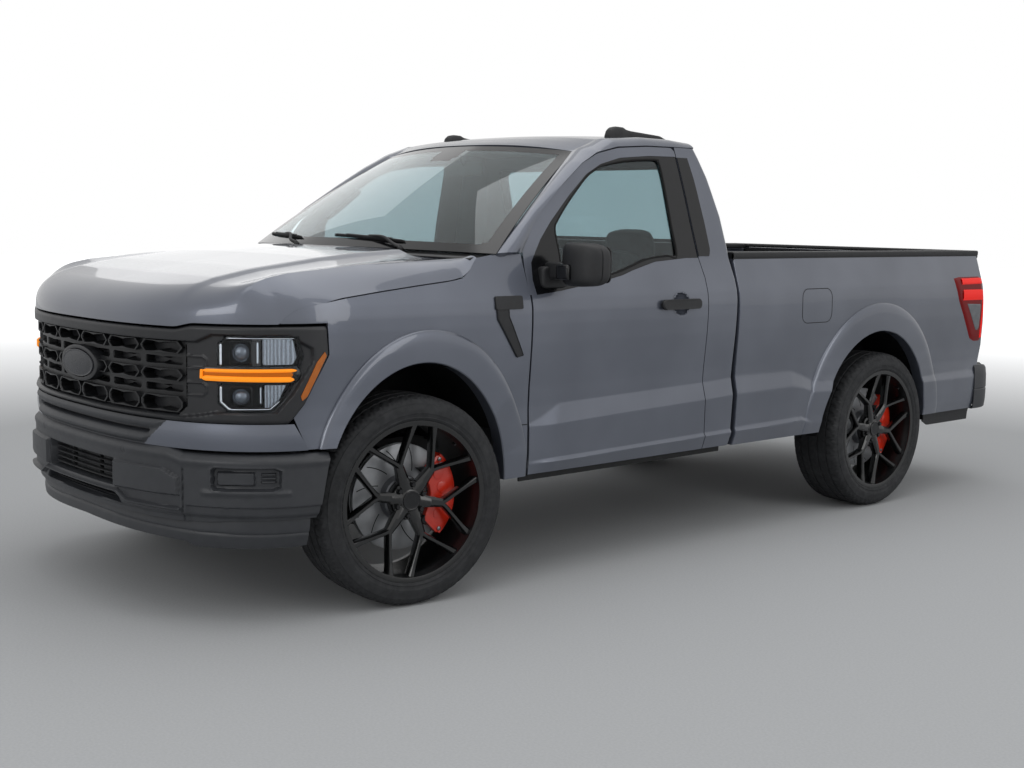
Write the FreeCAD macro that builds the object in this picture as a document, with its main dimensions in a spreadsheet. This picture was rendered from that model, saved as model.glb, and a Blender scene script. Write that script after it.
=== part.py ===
"""Regular-cab pickup truck, lowered, on large ten-spoke wheels, as separate pieces.

Millimetres. The truck faces -Y, its left side is +X, the ground is Z = 0, and the origin
lies on the ground under the middle of its box.
"""
import FreeCAD, Part
import math
import os

V = FreeCAD.Vector
doc = FreeCAD.newDocument("pickup_truck")
sheet = doc.addObject("Spreadsheet::Sheet", "Sizes")

# Driving dimensions, in millimetres, degrees, counts and shares
SIZES = {
    # whole truck
    "overall_length": 5311,
    "front_overhang": 963,
    "wheelbase": 3119,
    "body_half_width": 955,
    "flare_stand": 20,
    "flare_half_width": "=body_half_width + flare_stand",
    "panel_gap": 5,
    "seat_gap": 0.3,
    "overrun": 60,
    # stations along the side
    "axle_to_door": 567,
    "door_length": 1095,
    "door_to_cab_end": 216,
    "cab_bed_gap": 20,
    "bed_length": 2234,
    # plan of the nose, a flattened ellipse
    "nose_depth": 640,
    "nose_setback": 16,
    "nose_power_share": 2.6,
    # levels and half widths of the side skin
    "sill_bottom": 445,
    "low_crease_level": 520,
    "low_crease_rise": 40,
    "high_crease_level": 732,
    "high_crease_rise": 60,
    "waist_level": 980,
    "shoulder_level": 1190,
    "belt_level": 1338,
    "sill_inset": 23,
    "sill_half_width": "=body_half_width - sill_inset",
    "high_crease_inset": 19,
    "high_crease_half_width": "=body_half_width - high_crease_inset",
    "waist_inset": 5,
    "waist_half_width": "=body_half_width - waist_inset",
    "shoulder_inset": 15,
    "shoulder_half_width": "=body_half_width - shoulder_inset",
    "belt_inset": 56,
    "belt_half_width": "=body_half_width - belt_inset",
    # cab
    "roof_level": 1902,
    "roof_edge_level": 1842,
    "roof_edge_inset": 191,
    "roof_edge_half_width": "=body_half_width - roof_edge_inset",
    "roof_front_setback": 1052,
    "roof_end_setback": 146,
    "roof_skin": 38,
    "roof_rail_rise": 48,
    "cab_wall": 95,
    "floor_level": 600,
    "floor_skin": 30,
    "firewall_skin": 40,
    "screen_base_level": 1372,
    "screen_base_lead": 315,
    "screen_rake": 800,
    "screen_rise": 505,
    "screen_plan_radius": 2600,
    "glass_thickness": 6,
    "pillar_width": 75,
    "tumble_bulge": 14,
    # doors
    "door_sill_level": 452,
    "door_wall": 95,
    "door_frame_wall": 46,
    "window_sill_front": 1205,
    "window_sill_level": 1338,
    "window_kick_lead": 480,
    "window_front_lead": 160,
    "window_rear_inset": 155,
    "window_head_drop": 55,
    "handle_level": 1140,
    "handle_length": 250,
    "handle_height": 38,
    "handle_stand": 26,
    "mirror_height": 185,
    "mirror_width": 235,
    "mirror_depth": 130,
    "mirror_level": 1232,
    "mirror_stand": 240,
    "mirror_reach": "=body_half_width + mirror_stand",
    "hinge_pad_height": 90,
    "hinge_pad_inset": 70,
    "hinge_pad_reach": "=body_half_width - hinge_pad_inset",
    "hinge_low_level": 760,
    "hinge_high_level": 1060,
    # front fenders and arches
    "fender_wall": 45,
    "front_arch_half_length": 447,
    "front_arch_height": 545,
    "rear_arch_half_length": 488,
    "rear_arch_lead": 50,
    "rear_arch_height": 538,
    "flare_spread": 105,
    "flare_rise": 112,
    "seam_front_level": 1122,
    "seam_rear_level": 1352,
    # hood
    "hood_front_level": 1118,
    "hood_brow_level": 1232,
    "hood_middle_level": 1322,
    "hood_rear_level": 1384,
    "hood_edge_drop": 42,
    "hood_skin": 32,
    "cowl_gap": 55,
    "stop_radius": 12,
    # grille surround, lamps, valance
    "surround_top": 1113,
    "surround_bottom": 762,
    "surround_wall": 70,
    "surround_frame": 58,
    "mesh_inset": 345,
    "mesh_half_width": "=body_half_width - mesh_inset",
    "mesh_depth": 45,
    "mesh_bar": 13,
    "lamp_inset": 220,
    "lamp_inner": "=body_half_width - lamp_inset",
    "lamp_top": 1082,
    "lamp_bottom": 815,
    "lamp_rear_setback": 440,
    "lamp_depth": 55,
    "valance_bottom": 664,
    # front bumper and chin
    "bumper_top": 656,
    "bumper_bottom": 402,
    "bumper_wall": 60,
    "bumper_end_setback": 540,
    "mouth_half_width": 290,
    "mouth_bottom": 480,
    "mouth_top": 592,
    "mouth_slat": 10,
    "chin_bottom": 296,
    "chin_setback": 42,
    "chin_wall": 14,
    # load bed
    "bed_wall": 118,
    "bed_floor_level": 795,
    "bed_floor_skin": 22,
    "bed_rail_level": 1334,
    "rail_cap_height": 33,
    "bed_skin": 26,
    "wheel_box_half_length": 545,
    "wheel_box_height": 200,
    "wheel_box_width": 200,
    "wheel_box_skin": 12,
    "tailgate_wall": 58,
    "trunnion_radius": 12,
    "trunnion_length": 22,
    "tail_lamp_top": 1218,
    "tail_lamp_bottom": 846,
    "tail_lamp_length": 300,
    "tail_lamp_wrap": 120,
    "rear_bumper_top": 712,
    "rear_bumper_bottom": 446,
    "rear_bumper_wall": 70,
    # chassis
    "rail_half_spacing": 382,
    "rail_width": 75,
    "rail_height": 140,
    "rail_front_level": 430,
    "rail_mid_level": 380,
    "rail_rear_level": 560,
    "rail_tail_level": 470,
    "cross_radius": 32,
    "mount_pad": 70,
    # wheels and brakes
    "tyre_radius": 414,
    "tyre_width": 285,
    "tyre_shoulder": 38,
    "rim_lip_radius": 318,
    "rim_seat_radius": 306,
    "rim_inner_radius": 292,
    "rim_width": 262,
    "wheel_inset": 143,
    "wheel_centre": "=body_half_width - wheel_inset",
    "spoke_count": 6,
    "spoke_width": 46,
    "spoke_leg_width": 20,
    "spoke_depth": 34,
    "spoke_splay_angle": 21,
    "spoke_phase_angle": -10,
    "fork_radius": 150,
    "hub_radius": 74,
    "hub_depth": 62,
    "spoke_face_inset": 22,
    "spindle_radius": 30,
    "disc_radius": 212,
    "disc_thickness": 30,
    "disc_hat_radius": 88,
    "caliper_width": 112,
    "caliper_reach": 232,
    "caliper_root": 128,
    "caliper_gap": 7,
    "rest_steer_angle": 6.6,
    "kingpin_inset": 44,
    "kingpin": "=wheel_centre - kingpin_inset",
    # running gear
    "engine_width": 500,
    "engine_length": 760,
    "engine_bottom": 470,
    "engine_height": 640,
    "axle_tube_radius": 42,
    "differential_radius": 145,
    "spring_width": 60,
    "spring_depth": 26,
    "shaft_radius": 38,
    "tank_length": 940,
    "tank_height": 190,
    "pipe_radius": 30,
    "muffler_radius": 92,
    "muffler_length": 620,
    "shaft_drop": 20,
    "column_radius": 24,
    "wiper_radius": 7,
    "wiper_length": 430,
    "wiper_lift": 22,
    "liner_gap": 10,
    "liner_skin": 12,
    "liner_inset": 365,
    "liner_inner": "=body_half_width - liner_inset",
    "carrier_wall": 24,
}
for row, (alias, value) in enumerate(SIZES.items(), start=1):
    sheet.set(f"A{row}", alias)
    sheet.set(f"B{row}", str(value))
    sheet.setAlias(f"B{row}", alias)
doc.recompute()
s = sheet

# Stations along Y that follow from the sizes
nose = -s.overall_length / 2
tail = s.overall_length / 2
front_axle = nose + s.front_overhang
rear_axle = front_axle + s.wheelbase
grille_nose = nose + s.nose_setback
plan_start = grille_nose + s.nose_depth
door_front = front_axle + s.axle_to_door
door_rear = door_front + s.door_length
cab_end = door_rear + s.door_to_cab_end
bed_front = cab_end + s.cab_bed_gap
bed_end = bed_front + s.bed_length
screen_base = door_front - s.screen_base_lead
roof_end = cab_end - s.roof_end_setback
hub_level = s.tyre_radius
sides = {"left": 1, "right": -1}


# Drawing helpers

def edges(points_to_wire, start, runs):
    """A closed wire: a run of one point is a line, a longer run is a smooth curve."""
    drawn = []
    here = start
    for run in list(runs) + [[start]]:
        points = [points_to_wire(p) for p in [here] + list(run)]
        if len(points) == 2:
            drawn.append(Part.LineSegment(*points).toShape())
        else:
            curve = Part.BSplineCurve()
            curve.interpolate(points)
            drawn.append(curve.toShape())
        here = run[-1]
    return Part.Wire(drawn)


def side_prism(start, runs, x_from, x_to):
    """Side-view outline of (y, z) points, as a solid from x_from to x_to."""
    wire = edges(lambda p: V(x_from, p[0], p[1]), start, runs)
    return Part.Face(wire).extrude(V(x_to - x_from, 0, 0))


def front_prism(start, runs, y_from, y_to):
    """Front-view outline of (x, z) points, as a solid from y_from to y_to."""
    wire = edges(lambda p: V(p[0], y_from, p[1]), start, runs)
    return Part.Face(wire).extrude(V(0, y_to - y_from, 0))


def plan_prism(start, runs, z_from, z_to):
    """Plan outline of (x, y) points, as a solid from z_from to z_to."""
    wire = edges(lambda p: V(p[0], p[1], z_from), start, runs)
    return Part.Face(wire).extrude(V(0, 0, z_to - z_from))


def block(low, high):
    """A box between two corners."""
    return Part.makeBox(high[0] - low[0], high[1] - low[1], high[2] - low[2], V(*low))


def rod(start, end, radius):
    """A round bar between two points."""
    span = V(*end) - V(*start)
    return Part.makeCylinder(radius, span.Length, V(*start), span)


def mirrored(shape):
    """The same shape on the other side of the truck."""
    return shape.mirror(V(0, 0, 0), V(1, 0, 0))


def on_side(shape, side):
    return shape if side > 0 else mirrored(shape)


def solid_of(shape):
    """The one solid of a result, or the compound when there are more."""
    return shape.Solids[0] if len(shape.Solids) == 1 else Part.makeCompound(shape.Solids)


def piece(label, shape):
    """Keep a shape as a sub-part of the document."""
    made = doc.addObject("Part::Feature", label)
    made.Label = label
    made.Shape = solid_of(shape)
    made.Placement = FreeCAD.Placement()
    return made


# Body surfaces

def plan_share(y, depth=None, start=None):
    """How far the nose has drawn the side in at station y, as a share of its full width."""
    depth = depth or s.nose_depth
    start = plan_start if start is None else start
    reach = max(0.0, (start - y) / depth)
    return max(0.0, 1 - reach ** s.nose_power_share) ** (1 / s.nose_power_share)


def plan_front(x, half_width, tip, depth):
    """The station of the nose curve at offset x from the middle."""
    share = min(1.0, abs(x) / half_width)
    return tip + depth - depth * (1 - share ** s.nose_power_share) ** (1 / s.nose_power_share)


def crease_rise(y):
    """The side creases climb along the cab and stay level along the bed."""
    along = (y - door_front) / (cab_end - door_front)
    return min(1.0, max(0.0, along))


def skin_section(y, wall):
    """Section of the side skin at station y: creased below, smooth above, one wall thick."""
    narrow = plan_share(y)
    low = s.low_crease_level + s.low_crease_rise * crease_rise(y)
    high = s.high_crease_level + s.high_crease_rise * crease_rise(y)
    outer = [
        (s.sill_half_width * narrow, s.sill_bottom - s.overrun),
        (s.body_half_width * narrow, low),
        (s.high_crease_half_width * narrow, high),
    ]
    upper = [
        (s.waist_half_width * narrow, s.waist_level),
        (s.shoulder_half_width * narrow, s.shoulder_level),
        (s.belt_half_width * narrow, s.belt_level),
        ((s.belt_half_width - s.overrun / 2) * narrow, s.belt_level + s.overrun),
    ]
    inner = [(x - wall, z) for x, z in reversed(upper)]
    runs = [[outer[1]], [outer[2]], upper, [inner[0]], inner[1:] + [(outer[2][0] - wall, high)],
            [(outer[1][0] - wall, low)], [(outer[0][0] - wall, outer[0][1])]]
    return edges(lambda p: V(p[0], y, p[1]), outer[0], runs)


def skin(stations, wall):
    """The left side skin through the given stations."""
    return Part.makeLoft([skin_section(y, wall) for y in stations], True, False)


def ellipse_prism(centre, half_length, height, x_from, x_to):
    """An elliptic cylinder across the truck about a wheel."""
    big = max(half_length, height)
    small = min(half_length, height)
    middle = V(x_from, centre, hub_level)
    tip = V(0, 0, big) if height > half_length else V(0, big, 0)
    flank = V(0, small, 0) if height > half_length else V(0, 0, small)
    curve = Part.Ellipse(middle + tip, middle + flank, middle)
    return Part.Face(Part.Wire(curve.toShape())).extrude(V(x_to - x_from, 0, 0))


def ellipse_wire(centre, half_length, height, x):
    middle = V(x, centre, hub_level)
    curve = Part.Ellipse(middle + V(0, 0, height), middle + V(0, half_length, 0), middle)
    return Part.Wire(curve.toShape())


def flare(centre, half_length, height):
    """The raised lip round an arch: a low cone about the wheel, before its arch is cut."""
    foot = ellipse_wire(centre, half_length + s.flare_spread, height + s.flare_rise,
                        s.sill_half_width)
    lip = ellipse_wire(centre, half_length + s.flare_spread / 3, height + s.flare_rise / 3,
                       s.flare_half_width)
    return Part.makeLoft([foot, lip], True, True)


def seam(y):
    """Level of the seam between hood and fender."""
    front = plan_front(s.belt_half_width, s.body_half_width, grille_nose, s.nose_depth)
    along = (y - front) / (screen_base - front)
    return s.seam_front_level + (s.seam_rear_level - s.seam_front_level) * min(1.0, along) ** 0.8


# Front fenders

front_arch = ellipse_prism(front_axle, s.front_arch_half_length, s.front_arch_height,
                           s.kingpin, s.flare_half_width + s.overrun)
seam_shares = (0.0, 0.25, 0.5, 0.75, 1.0)
seam_start = plan_front(s.belt_half_width, s.body_half_width, grille_nose, s.nose_depth)
seam_line = [(seam_start + (screen_base - seam_start) * share,
              seam(seam_start + (screen_base - seam_start) * share)) for share in seam_shares]
surround_end = grille_nose + s.bumper_end_setback
lamp_corner = [
    (surround_end - s.panel_gap, s.seam_front_level - s.panel_gap),
    (surround_end + s.panel_gap, s.seam_front_level - 2 * s.surround_frame),
    (surround_end - s.surround_frame, s.surround_bottom + s.surround_frame),
    (surround_end - 2 * s.surround_frame, s.surround_bottom + s.panel_gap),
    (seam_start, s.surround_bottom - s.panel_gap),
]


def fender(side):
    ends = (door_front - s.panel_gap, s.belt_level + 2 * s.seat_gap)
    start = (ends[0], s.sill_bottom)
    below_seam = [(y, z - s.panel_gap) for y, z in reversed(seam_line)]
    runs = [[ends], [below_seam[0]], below_seam[1:],
            [(seam_start, s.surround_top + s.seat_gap)],
            [(surround_end, s.surround_top + s.seat_gap)],
            [(surround_end + s.panel_gap, s.surround_bottom + s.flare_spread)],
            [(surround_end - s.surround_frame, s.valance_bottom + s.panel_gap)],
            [(surround_end, s.bumper_top + s.panel_gap)],
            [(surround_end + s.surround_frame, s.sill_bottom)]]
    outline = side_prism(start, runs, 0, s.flare_half_width + s.overrun)
    depth_shares = (0.5, 0.3, 0.12)
    stations = [plan_start - s.nose_depth * share for share in depth_shares]
    stations += [plan_start + s.overrun, front_axle, door_front]
    hollow = block((0, nose, 0), (s.sill_half_width - s.fender_wall, door_front, s.roof_level))
    lip = flare(front_axle, s.front_arch_half_length, s.front_arch_height).cut(hollow)
    body = skin(stations, s.fender_wall).fuse(lip)
    return on_side(body.common(outline).cut(front_arch), side)


# Hood

def hood_top(x, y):
    """Height of the hood: it climbs to the windshield and falls to its edges."""
    length_share = (y - grille_nose) / (screen_base - grille_nose)
    brow = min(1.0, length_share / 0.12)
    climb = s.hood_brow_level + (s.hood_middle_level - s.hood_brow_level) * math.sin(
        math.pi / 2 * min(1.0, length_share / 0.5))
    climb += (s.hood_rear_level - s.hood_middle_level) * max(0.0, length_share - 0.4) / 0.6
    across = abs(x) / s.belt_half_width
    return climb - s.hood_edge_drop * across ** 3 - s.hood_edge_drop * (1 - brow)


def sheet_surface(height, x_shares, y_from, y_to, y_shares, half_width, wall):
    """A solid sheet under a height function, one wall thick."""
    rows = []
    for y_share in y_shares:
        y = y_from + (y_to - y_from) * y_share
        rows.append([V(half_width * x, y, height(half_width * x, y)) for x in x_shares])
    surface = Part.BSplineSurface()
    surface.interpolate(rows)
    return surface.toShape().extrude(V(0, 0, -wall))


across_shares = (-1.1, -0.9, -0.6, -0.3, 0.0, 0.3, 0.6, 0.9, 1.1)
along_shares = (-0.05, 0.06, 0.16, 0.35, 0.6, 0.8, 1.05)


def nose_points(half_width, tip, depth, count_shares):
    """Points of the nose curve from the right end to the left end."""
    return [(half_width * share, plan_front(half_width * share, s.body_half_width, tip, depth))
            for share in count_shares]


full_nose_shares = (-1.0, -0.9, -0.75, -0.55, -0.3, 0.0, 0.3, 0.55, 0.75, 0.9, 1.0)


def hood():
    half = s.belt_half_width
    cowl_middle = screen_base - half ** 2 / (2 * s.screen_plan_radius) - s.cowl_gap
    front = nose_points(half, grille_nose, s.nose_depth, full_nose_shares)
    back_shares = (0.5, 0.0, -0.5, -1.0)
    rear_half = half - s.panel_gap * 6
    back = [(rear_half * share,
             cowl_middle + (rear_half * share) ** 2 / (2 * s.screen_plan_radius))
            for share in back_shares]
    outline = plan_prism(front[0], [front[1:], [(rear_half, screen_base - s.cowl_gap)], back],
                         s.hood_front_level - s.overrun, s.roof_level)
    inset = s.hood_skin
    inner_front = nose_points(half - inset, grille_nose + inset, s.nose_depth, full_nose_shares)
    inner_outline = plan_prism(
        inner_front[0], [inner_front[1:], [(rear_half - inset, screen_base + s.overrun)],
                         [(inset - rear_half, screen_base + s.overrun)]],
        s.hood_front_level - 2 * s.overrun, s.roof_level)
    tall = s.hood_brow_level - s.hood_front_level + 3 * s.overrun
    top = sheet_surface(hood_top, across_shares, grille_nose, screen_base, along_shares,
                        half, tall)
    lower = top.copy()
    lower.translate(V(0, 0, -s.hood_skin))
    body = outline.common(top)
    above = side_prism((nose - s.overrun, s.hood_front_level),
                       [[(seam_start, s.seam_front_level)], seam_line[1:],
                        [(door_front, s.seam_rear_level)], [(door_front, s.roof_level)],
                        [(nose - s.overrun, s.roof_level)]],
                       -s.body_half_width, s.body_half_width)
    body = body.common(above)
    return body.cut(inner_outline.common(lower))


piece("hood", hood())
for name, side in sides.items():
    piece(f"fender_{name}", fender(side))


# Cab

def cab_side(wall, base_level, flanks=True):
    """Front view of the cab: straight flanks below the belt, leaning glass above.

    Without flanks the leaning glass line runs straight down to the base level.
    """
    belt = s.belt_half_width - wall
    roof = s.roof_edge_half_width - wall
    waist = s.body_half_width - s.panel_gap - wall
    mid_level = (s.belt_level + s.roof_edge_level) / 2
    mid = (belt + roof) / 2 + s.tumble_bulge
    drop = wall * 0.4
    edge_level = s.roof_edge_level - drop
    crown_shares = (0.9, 0.72, 0.45, 0.2, 0.0, -0.2, -0.45, -0.72, -0.9)
    fall_height = s.roof_level - s.roof_edge_level
    crown_power = 4
    crown = [(roof * share, s.roof_level - drop - fall_height * abs(share) ** crown_power)
             for share in crown_shares]
    lean = (belt - mid) / (mid_level - s.belt_level)
    base = waist if flanks else belt + lean * (s.belt_level - base_level)
    rise = [[(waist, s.waist_level)], [(belt, s.belt_level)]] if flanks else []
    fall = [[(-belt, s.belt_level)], [(-waist, s.waist_level)]] if flanks else []
    foot = (belt, s.belt_level) if flanks else (base, base_level)
    return (
        (base, base_level),
        rise + [[(mid, mid_level), (roof, edge_level)],
                crown + [(-roof, edge_level)],
                [(-mid, mid_level), (-foot[0], foot[1])]] + fall[1:]
        + ([[(-base, base_level)]] if flanks else []),
    )


def cab_profile(wall, base_level):
    """Side view of the cab behind the windshield: floor, rear wall and roof."""
    rear_low = cab_end - wall
    rear_high = roof_end - wall
    roof_front = screen_base + s.roof_front_setback - s.screen_rake * 0.35
    top = s.roof_level + s.overrun - wall
    return (
        (door_front - s.screen_base_lead * 1.6, base_level),
        [[(rear_low, base_level)], [(rear_low, s.belt_level + s.overrun)],
         [(rear_high, s.roof_edge_level + s.overrun)], [(rear_high, top)],
         [(door_front - s.screen_base_lead * 1.6, top)]],
    )


def screen_sweep(setback, low, high):
    """The windshield's curved slope as the front of a solid, moved back by setback."""
    half = s.body_half_width + s.overrun
    shares = (-1.0, -0.5, 0.0, 0.5, 1.0)
    middle = screen_base - s.belt_half_width ** 2 / (2 * s.screen_plan_radius)
    slope = s.screen_rake / s.screen_rise
    shift = (low - s.screen_base_level) * slope + setback
    curve = [V(half * share, middle + (half * share) ** 2 / (2 * s.screen_plan_radius) + shift,
               low) for share in shares]
    front = Part.BSplineCurve()
    front.interpolate(curve)
    far = tail
    wire = Part.Wire([
        front.toShape(),
        Part.LineSegment(curve[-1], V(half, far, low)).toShape(),
        Part.LineSegment(V(half, far, low), V(-half, far, low)).toShape(),
        Part.LineSegment(V(-half, far, low), curve[0]).toShape(),
    ])
    return Part.Face(wire).extrude(V(0, (high - low) * slope, high - low))


def cab_volume(wall, base_level):
    """The cab as a full solid, drawn in by one wall."""
    start, runs = cab_side(wall, base_level)
    across = front_prism(start, runs, nose, tail)
    start, runs = cab_profile(wall * 0.6, base_level)
    along = side_prism(start, runs, -s.body_half_width, s.body_half_width)
    low = s.sill_bottom - s.overrun
    lower = block((-s.body_half_width, door_front - s.firewall_skin + wall * 0.5, low),
                  (s.body_half_width, tail, s.screen_base_level))
    slope = screen_sweep(wall * 0.9, s.screen_base_level, s.roof_level + s.overrun)
    upper_start = screen_base
    scuttle = block((-s.belt_half_width + s.overrun, upper_start, s.screen_base_level - s.overrun),
                    (s.belt_half_width - s.overrun, door_front, s.screen_base_level))
    front = lower.fuse([slope, scuttle]) if wall == 0 else lower.fuse(slope)
    return across.common(along).common(front)


def door_outline(grow):
    """Side view of the door, grown by a gap: sill, seams, frame and windshield pillar."""
    low = s.door_sill_level - grow
    front = door_front - grow
    rear = door_rear + 2 * grow
    pillar_foot = (front, s.screen_base_level - s.pillar_width * 0.4)
    head_front = (screen_base + s.roof_front_setback * 0.62, s.roof_edge_level - s.overrun * 0.3)
    return (
        (front, low),
        [[(rear, low)], [(rear, s.waist_level)],
         [(rear - s.panel_gap * 3, s.belt_level),
          (rear - s.panel_gap * 8 + 2 * grow, s.roof_edge_level - s.roof_skin + grow)],
         [(rear - s.pillar_width, s.roof_edge_level + grow)],
         [(head_front[0] + s.pillar_width * 2, s.roof_edge_level - s.panel_gap + grow),
          (head_front[0] - grow, head_front[1] - s.roof_skin * 0.5 + grow)],
         [(pillar_foot[0] + s.pillar_width * 2 - grow, s.roof_edge_level - s.pillar_width * 4.1
           + grow), pillar_foot]],
    )


def window_outline():
    """Side view of the door's glass."""
    rear = door_rear - s.window_rear_inset
    head = s.roof_edge_level - s.window_head_drop
    front = door_front + s.window_front_lead
    kick = door_front + s.window_kick_lead
    head_front = screen_base + s.roof_front_setback * 0.7
    return (
        (front, s.window_sill_front + s.pillar_width),
        [[(kick, s.window_sill_level - s.panel_gap * 6), (rear, s.window_sill_level)],
         [(rear - s.panel_gap * 4, head)], [(head_front, head - s.panel_gap * 3)],
         [(front + s.pillar_width * 2, s.roof_edge_level - s.pillar_width * 4.6)]],
    )


def cab_shell():
    outer = cab_volume(0, s.sill_bottom)
    inner = cab_volume(s.cab_wall * 0.55, s.floor_level + s.floor_skin)
    shell = outer.cut(inner)
    under = block((s.rail_half_spacing - s.body_half_width, door_front - 2 * s.overrun,
                   s.sill_bottom - s.overrun),
                  (s.body_half_width - s.rail_half_spacing, tail, s.floor_level))
    shell = shell.cut(under)
    for side in sides.values():
        rear = door_front - s.panel_gap + s.seat_gap
        front = screen_base - s.overrun
        high = s.seam_rear_level - s.panel_gap + s.seat_gap
        beside = side_prism((front, 0), [[(rear, 0)], [(rear, s.belt_level + 3 * s.seat_gap)],
                                         [(screen_base, high)], [(front, high)]],
                            s.belt_half_width - s.fender_wall - s.panel_gap,
                            s.body_half_width + s.overrun)
        shell = shell.cut(on_side(beside, side))
    start, runs = door_outline(s.panel_gap)
    for side in sides.values():
        opening = side_prism(start, runs, 0, side * (s.body_half_width + s.overrun))
        hole = opening.cut(block((-s.roof_edge_half_width * 0.7, nose, 0),
                                 (s.roof_edge_half_width * 0.7, tail, s.roof_level)))
        shell = shell.cut(hole)
        for level in (s.hinge_low_level, s.hinge_high_level):
            pad = block((s.belt_half_width - s.fender_wall * 2, door_front - s.firewall_skin, level),
                        (s.hinge_pad_reach, door_front - s.seat_gap, level + s.hinge_pad_height))
            shell = shell.fuse(on_side(pad, side))
    return shell.cut(screen_opening()).cut(rear_window_opening())


def screen_opening():
    """The windshield's opening, inside its pillars."""
    low = s.screen_base_level + s.overrun * 0.5
    high = s.roof_level - s.overrun * 1.1
    top_half = s.roof_edge_half_width - s.pillar_width - s.overrun * 0.5
    low_half = s.belt_half_width - s.pillar_width
    return front_prism((low_half, low), [[(top_half, high)], [(-top_half, high)],
                                         [(-low_half, low)]],
                       screen_base - s.overrun * 6, door_front + s.roof_front_setback * 0.62)


def rear_window_opening():
    low = s.belt_level + s.overrun
    high = s.roof_edge_level - s.overrun
    low_half = s.belt_half_width - s.pillar_width * 2.2
    top_half = s.roof_edge_half_width - s.pillar_width * 1.2
    return front_prism((low_half, low), [[(top_half, high)], [(-top_half, high)],
                                         [(-low_half, low)]], roof_end - s.overrun * 3, tail)


piece("cab_shell", cab_shell())


def pane(setback, opening):
    """A thin sheet on the windshield's slope, cut to its opening."""
    low = s.screen_base_level
    high = s.roof_level + s.overrun
    front = screen_sweep(setback, low, high)
    back = screen_sweep(setback + s.glass_thickness * 1.8, low, high)
    return front.cut(back).common(opening)


piece("windshield", pane(s.glass_thickness, screen_opening()))


def rear_window():
    start, runs = cab_profile(s.glass_thickness * 2, s.sill_bottom)
    outer = side_prism(start, runs, -s.body_half_width, s.body_half_width)
    start, runs = cab_profile(s.glass_thickness * 3, s.sill_bottom)
    inner = side_prism(start, runs, -s.body_half_width, s.body_half_width)
    return outer.cut(inner).common(rear_window_opening())


piece("rear_window", rear_window())


# Doors

def door(side):
    start, runs = door_outline(0)
    outline = side_prism(start, runs, 0, s.flare_half_width)
    lower = skin([door_front - s.overrun, (door_front + door_rear) / 2, door_rear + s.overrun],
                 s.door_wall)
    lower = lower.common(block((0, nose, 0), (s.flare_half_width, tail, s.belt_level)))
    start, runs = cab_side(0, s.belt_level, False)
    glasshouse = front_prism(start, runs, door_front - s.overrun, door_rear + s.overrun)
    start, runs = cab_side(s.door_frame_wall, s.belt_level - s.overrun, False)
    inside = front_prism(start, runs, door_front - 2 * s.overrun, door_rear + 2 * s.overrun)
    half = block((0, nose, s.belt_level), (s.flare_half_width, tail, s.roof_level))
    frame = glasshouse.cut(inside).common(half)
    body = lower.fuse(frame).common(outline)
    start, runs = window_outline()
    body = body.cut(side_prism(start, runs, 0, s.flare_half_width))
    return on_side(body, side)


def door_glass(side):
    start, runs = window_outline()
    outline = side_prism(start, runs, 0, s.flare_half_width)
    start, runs = cab_side(s.glass_thickness * 2, s.window_sill_front, False)
    outer = front_prism(start, runs, door_front, door_rear)
    start, runs = cab_side(s.glass_thickness * 3, s.window_sill_front - s.overrun, False)
    inner = front_prism(start, runs, door_front - s.overrun, door_rear + s.overrun)
    half = block((0, nose, s.window_sill_front), (s.flare_half_width, tail, s.roof_level))
    return on_side(outer.cut(inner).common(half).common(outline), side)


def door_trim(side):
    """Mirror and handle of one door, two solids on the same body."""
    root = s.shoulder_half_width - s.handle_stand
    centre = door_front + s.window_front_lead
    arm = block((root, centre - s.mirror_depth * 0.3, s.mirror_level + s.mirror_height * 0.12),
                (s.mirror_reach - s.mirror_width * 0.8, centre + s.mirror_depth * 0.4,
                 s.mirror_level + s.mirror_height * 0.5))
    inner = s.mirror_reach - s.mirror_width
    head = plan_prism((inner, centre - s.mirror_depth * 0.2),
                      [[(inner + s.mirror_width * 0.5, centre - s.mirror_depth * 0.55),
                        (s.mirror_reach, centre)],
                       [(s.mirror_reach - s.handle_stand, centre + s.mirror_depth * 0.6)],
                       [(inner, centre + s.mirror_depth * 0.6)]],
                      s.mirror_level, s.mirror_level + s.mirror_height)
    rear = door_rear - s.handle_stand * 4
    skin_face = s.shoulder_half_width + s.seat_gap
    grip = block((skin_face, rear - s.handle_length, s.handle_level - s.handle_height / 2),
                 (skin_face + s.handle_stand, rear, s.handle_level + s.handle_height / 2))
    mirror = arm.fuse(head).cut(door_solids[side])
    return Part.makeCompound([on_side(p, side) for p in
                              (mirror.Solids[0], grip.cut(door_solids[side]).Solids[0])])


door_solids = {}
for name, side in sides.items():
    made = piece(f"door_{name}", door(side))
    door_solids[side] = on_side(made.Shape, side)
    piece(f"door_glass_{name}", door_glass(side))
    piece(f"door_trim_{name}", door_trim(side))


# Grille surround, mesh, headlamps and valance

def nose_band(tip, inset, wall, low, high, half_width=None):
    """A band that follows the nose in plan, from its surface to one wall behind it."""
    half_width = half_width or s.body_half_width
    shares = (-1.0, -0.985, -0.93, -0.8, -0.55, -0.25, 0.0, 0.25, 0.55, 0.8, 0.93, 0.985, 1.0)
    front = [((half_width - inset) * share,
              plan_front(half_width * share, half_width, tip + inset, s.nose_depth))
             for share in shares]
    deep = inset + wall
    back = [((half_width - deep) * share,
             plan_front(half_width * share, half_width, tip + deep, s.nose_depth))
            for share in reversed(shares)]
    return plan_prism(front[0], [front[1:], [back[0]], back[1:]], low, high)


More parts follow.
